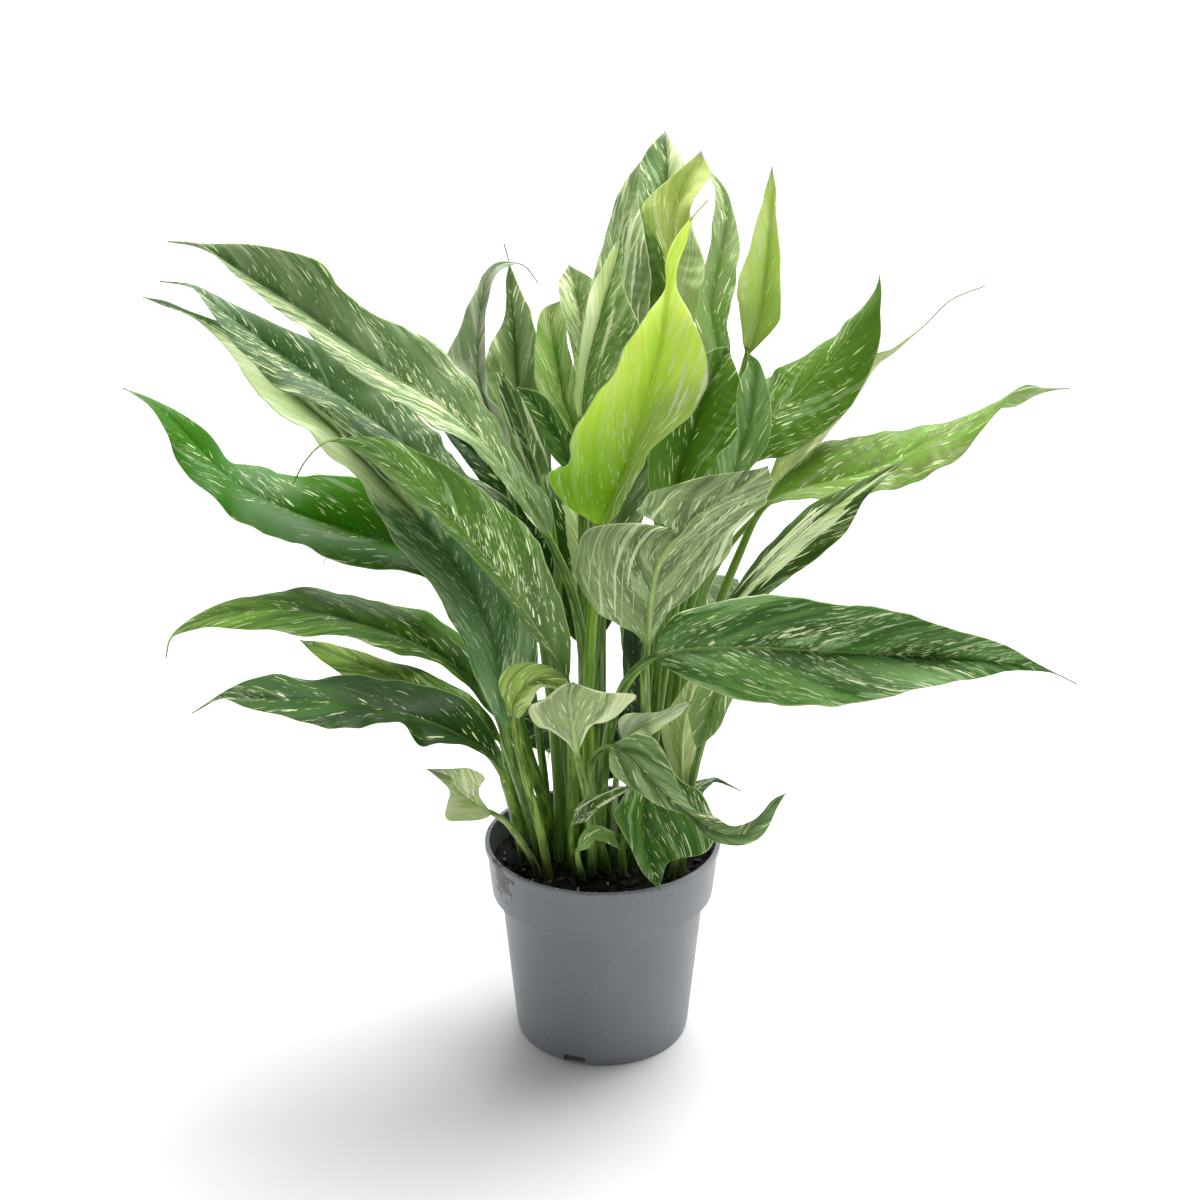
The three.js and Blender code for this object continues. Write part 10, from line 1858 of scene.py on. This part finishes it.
def lathe(profile, seg):
    """profile from the axis round to the axis; returns verts, faces."""
    verts, faces, rows = [], [], []
    for r, z in profile:
        if r < 1e-6:
            rows.append([len(verts)])
            verts.append((POT_X, POT_Y, z))
        else:
            rows.append(list(range(len(verts), len(verts) + seg)))
            verts += [(POT_X + r * math.cos(2 * math.pi * j / seg), POT_Y + r * math.sin(2 * math.pi * j / seg), z) for j in range(seg)]
    for a, b in zip(rows[:-1], rows[1:]):
        for j in range(seg):
            k = (j + 1) % seg
            if len(a) == 1:
                faces.append((a[0], b[k], b[j]))
            elif len(b) == 1:
                faces.append((a[j], a[k], b[0]))
            else:
                faces.append((a[j], a[k], b[k], b[j]))
    return verts, faces


POT_PROFILE = rounded([
    (0, FOOT_RING_HEIGHT, 0), (FOOT_RADIUS - FOOT_RING_WIDTH - 1.6, FOOT_RING_HEIGHT, 1.2), (FOOT_RADIUS - FOOT_RING_WIDTH, 0.0, 0.5),
    (FOOT_RADIUS - 0.4, 0.0, 1.4), (body_r(FOOT_CORNER), FOOT_CORNER, 1.5), (BODY_TOP_RADIUS, COLLAR_Z - 3.6, 0.8),
    (COLLAR_FOOT_RADIUS - 0.35, COLLAR_Z + 0.1, 0.9), (collar_r(COLLAR_Z + 14), COLLAR_Z + 14, 0), (collar_r(POT_HEIGHT - 4.2), POT_HEIGHT - 4.2, 0.5),
    (RIM_RADIUS, POT_HEIGHT - 3.2, 0.5), (RIM_RADIUS, POT_HEIGHT, 0.7), (RIM_RADIUS - WALL - RIM_LIP, POT_HEIGHT, 0.5),
    (inner_r(POT_HEIGHT - 6), POT_HEIGHT - 6, 1.0), (inner_r(COLLAR_Z + 1.6), COLLAR_Z + 1.6, 1.0), (BODY_TOP_RADIUS - WALL, COLLAR_Z - 3.2, 1.0),
    (body_r(FLOOR_IN + 3) - WALL, FLOOR_IN + 3, 2.0), (body_r(FLOOR_IN) - WALL - 2, FLOOR_IN, 1.0), (0, FLOOR_IN, 0)])


def build_pot():
    verts, faces = lathe(POT_PROFILE, 192)
    pot = new_object("nursery_pot", verts, faces, pot_material())
    cutters = []

    def prism(name, outline, low, high):
        k = len(outline)
        v = [(x, y, z) for z in (low, high) for x, y in outline]
        f = [tuple(range(k))[::-1], tuple(range(k, 2 * k))] + [(j, (j + 1) % k, k + (j + 1) % k, k + j) for j in range(k)]
        me = bpy.data.meshes.new(name)
        me.from_pydata([tuple(c / 1000 for c in p) for p in v], [], f)
        ob = bpy.data.objects.new(name, me)
        scene.collection.objects.link(ob)
        cutters.append(ob)

    for i in range(3):                       # notches in the foot, rounded at their top corners
        a = math.radians(-90 - 19 + 120 * i)
        ca, sa = math.cos(a), math.sin(a)
        prof = [(-6.5, -3), (6.5, -3), (6.5, 3.2)] + [(6.5 - 1.7 * (1 - math.cos(t)), 3.2 + 1.7 * math.sin(t)) for t in np.linspace(0.3, math.pi / 2, 4)]
        prof += [(-p[0], p[1]) for p in prof[:1:-1]]
        r0, r1 = FOOT_RADIUS - 8, FOOT_RADIUS + 6
        v, f, k = [], [], len(prof)
        for r in (r0, r1):
            v += [(POT_X + r * ca - w * sa, POT_Y + r * sa + w * ca, z) for w, z in prof]
        f = [tuple(range(k)), tuple(range(k, 2 * k))[::-1]] + [((j + 1) % k, j, k + j, k + (j + 1) % k) for j in range(k)]
        me = bpy.data.meshes.new("notch_cutter")
        me.from_pydata([tuple(c / 1000 for c in p) for p in v], [], f)
        ob = bpy.data.objects.new("notch_cutter", me)
        scene.collection.objects.link(ob)
        cutters.append(ob)
    for i in range(8):                       # drain holes
        a = math.radians((i + 0.5) * 45)
        x, y = POT_X + 30 * math.cos(a), POT_Y + 30 * math.sin(a)
        prism("drain_cutter", [(x + 3.6 * math.cos(t), y + 3.6 * math.sin(t)) for t in np.linspace(0, 2 * math.pi, 25)[:-1]], -2, 12)
    import bmesh
    for c in cutters:
        bm = bmesh.new()
        bm.from_mesh(c.data)
        bmesh.ops.recalc_face_normals(bm, faces=bm.faces[:])
        bm.to_mesh(c.data)
        bm.free()
    for c in cutters:
        mod = pot.modifiers.new("cut", "BOOLEAN")
        mod.operation, mod.solver, mod.object = "DIFFERENCE", "EXACT", c
    dg = bpy.context.evaluated_depsgraph_get()
    me = bpy.data.meshes.new_from_object(pot.evaluated_get(dg))
    pot.modifiers.clear()
    old, pot.data = pot.data, me
    bpy.data.meshes.remove(old)
    for c in cutters:
        m_ = c.data
        bpy.data.objects.remove(c)
        bpy.data.meshes.remove(m_)
    # flat caps stay flat, the wall stays smooth
    bm = bmesh.new()
    bm.from_mesh(me)
    for e in bm.edges:
        if len(e.link_faces) == 2 and e.calc_face_angle(0) > math.radians(38):
            e.smooth = False
    for f in bm.faces:
        f.smooth = True
    bm.to_mesh(me)
    bm.free()
    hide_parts("pot")
    return pot


# ---------------------------------------------------------------- soil
def soil_material():
    n = Nodes("peat")
    co = n.t.nodes.new("ShaderNodeTexCoord").outputs["Object"]
    grain = n.attr("grain").outputs["Vector"]         # kind, tint, 0
    g = n.sep(grain)
    a = n.noise(co, 260.0, 4.0, 0.65)
    b = n.noise(co, 900.0, 3.0, 0.6)
    peat = n.mix(n.ramp(a, 0.35, 0.65), (0.0028, 0.0034, 0.0034), (0.0125, 0.0110, 0.0090))
    peat = n.mix(n.math("MULTIPLY", n.ramp(b, 0.62, 0.72), 0.35), peat, (0.045, 0.034, 0.022))
    peat = n.mix(n.math("MULTIPLY", g[1], 0.4), peat, (0.020, 0.015, 0.011))
    perl = n.mix(n.ramp(b, 0.4, 0.7), (0.60, 0.60, 0.56), (0.30, 0.27, 0.22))
    bark = n.mix(n.ramp(a, 0.4, 0.6), (0.016, 0.012, 0.008), (0.062, 0.045, 0.029))
    col = n.mix(n.ramp(g[0], 0.4, 0.6), peat, perl)
    col = n.mix(n.ramp(g[0], 1.4, 1.6), col, bark)
    n.set(Base_Color=col, Roughness=0.92)
    n.bsdf.inputs["Specular IOR Level"].default_value = 0.25
    n.put(n.bsdf.inputs["Normal"], n.bump(n.math("ADD", a, b), 0.5, 0.0005))
    return n.mat


def icosphere():
    import bmesh
    bm = bmesh.new()
    bmesh.ops.create_icosphere(bm, subdivisions=2, radius=1.0)
    v = np.array([p.co[:] for p in bm.verts])
    f = [[q.index for q in p.verts] for p in bm.faces]
    bm.free()
    return v, f


def lump(rng, v0, size, at, rough=0.28, flat=1.0):
    """One irregular crumb: a sphere pushed in and out by a few seeded waves, squashed and turned."""
    v = v0.copy()
    k = rng.normal(size=(5, 3)) * 1.9
    ph = rng.uniform(0, 6.28, 5)
    bumps = np.sin(v @ k.T + ph).sum(1) / 5
    v *= (1 + rough * 2 * bumps)[:, None]
    v *= np.array([1.0, rng.uniform(0.6, 1.0), rng.uniform(0.45, 0.9) * flat])
    a = rng.normal(size=(3, 3))
    qm, _ = np.linalg.qr(a)
    if flat < 1:
        tilt = rng.normal(0, 0.25, 2)
        c, s_ = math.cos(rng.uniform(0, 6.28)), math.sin(rng.uniform(0, 6.28))
        h = math.hypot(c, s_) or 1
        c, s_ = c / h, s_ / h
        qm = np.array([[c, -s_, tilt[0]], [s_, c, tilt[1]], [-tilt[0], -tilt[1], 1]])
    return v @ qm.T * size + at


def soil_height(x, y, rng_w):
    h = np.zeros_like(x)
    for (kx, ky, ph, amp) in rng_w:
        h += amp * np.sin(kx * x + ky * y + ph)
    return h


def build_soil():
    rng = np.random.default_rng(77)
    rw = []
    for lam, amp, cnt in ((34, 0.55, 5), (15, 0.38, 7), (7, 0.26, 9), (3.4, 0.16, 12)):
        for _ in range(cnt):
            a = rng.uniform(0, 2 * math.pi)
            kk = 2 * math.pi / (lam * rng.uniform(0.8, 1.25))
            rw.append((kk * math.cos(a), kk * math.sin(a), rng.uniform(0, 6.28), amp * 0.5))
    rmax = inner_r(SOIL_TOP) - 0.75
    rings, seg = 64, 200
    verts, rows = [], []
    for i in range(rings + 1):
        r = rmax * i / rings
        if i == 0:
            rows.append([0])
            verts.append((POT_X, POT_Y, SOIL_TOP + 1.6 + soil_height(np.array(0.0), np.array(0.0), rw)))
            continue
        a = 2 * np.pi * np.arange(seg) / seg
        x, y = r * np.cos(a), r * np.sin(a)
        h = soil_height(x, y, rw) * (1 - 0.35 * smooth(0.9, 1.0, r / rmax)) + SOIL_TOP + 1.5 * (1 - (r / rmax) ** 2) - 0.8 * smooth(0.96, 1.0, r / rmax)
        rows.append(list(range(len(verts), len(verts) + seg)))
        verts += list(zip(POT_X + x, POT_Y + y, h))
    for r, z in ((inner_r(96) - 0.75, 96.0), (inner_r(COLLAR_Z + 2) - 0.8, COLLAR_Z + 2.2), (BODY_TOP_RADIUS - WALL - 0.75, COLLAR_Z - 3.6), (body_r(FLOOR_IN + 4) - WALL - 0.8, FLOOR_IN + 4), (body_r(FLOOR_IN) - WALL - 3.4, FLOOR_IN + 0.45)):
        rows.append(list(range(len(verts), len(verts) + seg)))
        verts += [(POT_X + r * math.cos(2 * math.pi * j / seg), POT_Y + r * math.sin(2 * math.pi * j / seg), z) for j in range(seg)]
    rows.append([len(verts)])
    verts.append((POT_X, POT_Y, FLOOR_IN + 0.45))
    faces = []
    for a, b in zip(rows[:-1], rows[1:]):
        for j in range(seg):
            k = (j + 1) % seg
            if len(a) == 1:
                faces.append((a[0], b[j], b[k]))
            elif len(b) == 1:
                faces.append((a[k], a[j], b[0]))
            else:
                faces.append((a[j], b[j], b[k], a[k]))
    verts = [np.array(verts, float)]
    faces = list(faces)
    count = len(verts[0])
    grain = [np.zeros((count, 3))]
    ball, tris = icosphere()

    def add(v, kind, tint):
        nonlocal count
        verts.append(v)
        faces.extend([[q + count for q in t] for t in tris])
        g = np.zeros((len(v), 3))
        g[:, 0], g[:, 1] = kind, tint
        grain.append(g)
        count += len(v)

    def top_at(x, y):
        r = math.hypot(x, y)
        return float(soil_height(np.array(x), np.array(y), rw)) + SOIL_TOP + 1.5 * (1 - (r / rmax) ** 2)

    for _ in range(900):
        r = (rmax - 1.8) * math.sqrt(rng.uniform(0, 1))
        a = rng.uniform(0, 2 * math.pi)
        x, y = r * math.cos(a), r * math.sin(a)
        size = rng.choice([0.7, 1.1, 1.7], p=[0.5, 0.35, 0.15]) * rng.uniform(0.75, 1.25)
        if r > rmax - 2.6:
            size = min(size, 0.9)
        add(lump(rng, ball, size, np.array([POT_X + x, POT_Y + y, top_at(x, y) + size * rng.uniform(0.0, 0.45)])), 0, rng.uniform(0, 1))
    for _ in range(56):                       # perlite
        r = (rmax - 2.5) * math.sqrt(rng.uniform(0.25, 1))
        a = rng.uniform(0, 2 * math.pi)
        x, y = r * math.cos(a), r * math.sin(a)
        size = rng.uniform(0.6, 1.35)
        add(lump(rng, ball, size, np.array([POT_X + x, POT_Y + y, top_at(x, y) + size * 0.3]), 0.18), 1, 0)
    for _ in range(34):                       # bark chips, lying flat
        r = (rmax - 5) * math.sqrt(rng.uniform(0.05, 1))
        a = rng.uniform(0, 2 * math.pi)
        x, y = r * math.cos(a), r * math.sin(a)
        size = rng.uniform(1.6, 3.6)
        add(lump(rng, ball, size, np.array([POT_X + x, POT_Y + y, top_at(x, y) + size * 0.22]), 0.34, 0.42), 2, 0)
    # a few crumbs of perlite and peat left on the rim at the front
    for a, size, kind in ((-112, 0.55, 1), (-108, 0.42, 1), (-101, 0.6, 1), (-97, 0.36, 1), (-93.5, 0.5, 1), (-86, 0.4, 1), (-79, 0.55, 1), (-128, 0.5, 0), (-131, 0.42, 0), (-134, 0.5, 0), (-71, 0.38, 0), (-60, 0.4, 1), (20, 0.45, 1), (75, 0.5, 0), (130, 0.45, 1), (171, 0.5, 0)):
        t = math.radians(a)
        r = RIM_RADIUS - 1.45 + rng.uniform(-0.35, 0.35)
        add(lump(rng, ball, size, np.array([POT_X + r * math.cos(t), POT_Y + r * math.sin(t), POT_HEIGHT + size * 0.32]), 0.16), kind, 0.5)
    ob = new_object("peat_soil", np.concatenate(verts), faces, soil_material(), attrs={"grain": ("FLOAT_VECTOR", np.concatenate(grain))})
    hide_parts("soil")
    return ob


build_pot()
build_soil()

# ---------------------------------------------------------------- floor, light, camera
floor_mat = bpy.data.materials.new("studio_floor")
floor_mat.use_nodes = True
fb = floor_mat.node_tree.nodes["Principled BSDF"]
fb.inputs["Base Color"].default_value = (0.90, 0.90, 0.905, 1)
fb.inputs["Roughness"].default_value = 0.75
fb.inputs["Specular IOR Level"].default_value = 0.15
fb.inputs["Emission Color"].default_value = (1, 1, 1, 1)
fnodes, flinks = floor_mat.node_tree.nodes, floor_mat.node_tree.links
fco, fsep, framp = fnodes.new("ShaderNodeTexCoord"), fnodes.new("ShaderNodeSeparateXYZ"), fnodes.new("ShaderNodeMapRange")
flinks.new(fco.outputs["Object"], fsep.inputs[0])
flinks.new(fsep.outputs["Y"], framp.inputs["Value"])
framp.interpolation_type = "SMOOTHSTEP"
for key, val in (("From Min", 0.3), ("From Max", 2.6), ("To Min", 0.0), ("To Max", 0.6)):
    framp.inputs[key].default_value = val
# far from the plant the floor runs out to white on every side
flen, fout, fmax = fnodes.new("ShaderNodeVectorMath"), fnodes.new("ShaderNodeMapRange"), fnodes.new("ShaderNodeMath")
flen.operation, fmax.operation = "LENGTH", "MAXIMUM"
flinks.new(fco.outputs["Object"], flen.inputs[0])
flinks.new(flen.outputs["Value"], fout.inputs["Value"])
fout.interpolation_type = "SMOOTHSTEP"
for key, val in (("From Min", 0.9), ("From Max", 2.4), ("To Min", 0.0), ("To Max", 0.75)):
    fout.inputs[key].default_value = val
flinks.new(framp.outputs[0], fmax.inputs[0])
flinks.new(fout.outputs[0], fmax.inputs[1])
flinks.new(fmax.outputs[0], fb.inputs["Emission Strength"])
me = bpy.data.meshes.new("studio_floor")
me.from_pydata([(-30, -30, 0), (30, -30, 0), (30, 60, 0), (-30, 60, 0)], [], [(0, 1, 2, 3)])
me.materials.append(floor_mat)
studio = bpy.data.objects.new("studio_floor", me)
scene.collection.objects.link(studio)

world = bpy.data.worlds.new("studio_world")
world.use_nodes = True
bg = world.node_tree.nodes["Background"]
bg.inputs["Color"].default_value = (1.0, 1.0, 1.0, 1)
bg.inputs["Strength"].default_value = 1.0
# the room is darker on the viewer's side, bright at both sides and above
wn, wl = world.node_tree.nodes, world.node_tree.links
wco, wsep = wn.new("ShaderNodeTexCoord"), wn.new("ShaderNodeSeparateXYZ")
wl.new(wco.outputs["Generated"], wsep.inputs[0])


def wmath(op, a, b):
    m_ = wn.new("ShaderNodeMath")
    m_.operation = op
    for sock, val in zip(m_.inputs, (a, b)):
        if isinstance(val, bpy.types.NodeSocket):
            wl.new(val, sock)
        else:
            sock.default_value = val
    return m_.outputs[0]


front = wn.new("ShaderNodeMapRange")
front.interpolation_type = "SMOOTHSTEP"
wl.new(wmath("ADD", wsep.outputs["Y"], wmath("MULTIPLY", wmath("ABSOLUTE", wsep.outputs["X"], 0.0), 0.25)), front.inputs["Value"])
for key, val in (("From Min", -0.5), ("From Max", 0.6), ("To Min", 0.02), ("To Max", 0.74)):
    front.inputs[key].default_value = val
# a bright band round the horizon, low enough to cast no light on the floor
band = wn.new("ShaderNodeMapRange")
band.interpolation_type = "SMOOTHSTEP"
wl.new(wmath("ABSOLUTE", wsep.outputs["Z"], 0.0), band.inputs["Value"])
for key, val in (("From Min", 0.10), ("From Max", 0.24), ("To Min", 1.0), ("To Max", 0.0)):
    band.inputs[key].default_value = val
wl.new(wmath("MAXIMUM", front.outputs[0], band.outputs[0]), bg.inputs["Strength"])
scene.world = world


def area(name, at, look, size, power, colour=(1, 1, 1)):
    from mathutils import Vector
    light = bpy.data.lights.new(name, "AREA")
    light.shape = "RECTANGLE"
    light.size, light.size_y = size
    light.energy = power
    light.color = colour
    ob = bpy.data.objects.new(name, light)
    ob.location = at
    ob.rotation_euler = (Vector(look) - Vector(at)).to_track_quat("-Z", "Y").to_euler()
    scene.collection.objects.link(ob)


area("key_upper_right", (0.40, 0.60, 1.65), (0, -0.05, 0.1), (1.7, 1.7), 62)
area("side_left", (-1.9, 0.1, 1.0), (0, 0, 0.22), (1.2, 1.6), 3.5)
area("side_right", (1.9, -0.2, 1.1), (0, 0, 0.22), (1.0, 1.4), 1)
area("front_low", (-0.5, -2.2, 0.40), (0, 0, 0.25), (1.4, 0.6), 1)
area("top_soft", (0.15, 0.50, 2.0), (0, 0, 0.1), (1.8, 1.8), 7)

cam = bpy.data.cameras.new("photo_camera")
cam.lens, cam.sensor_width, cam.sensor_fit = 57.6, 36.0, "HORIZONTAL"
cam_ob = bpy.data.objects.new("photo_camera", cam)
cam_ob.location = (0.0017, -0.958, 0.609)
cam_ob.rotation_euler = (math.radians(90 - 20.45), 0, 0)
scene.collection.objects.link(cam_ob)
scene.camera = cam_ob
scene.view_settings.view_transform = "Standard"
scene.view_settings.look = "None"
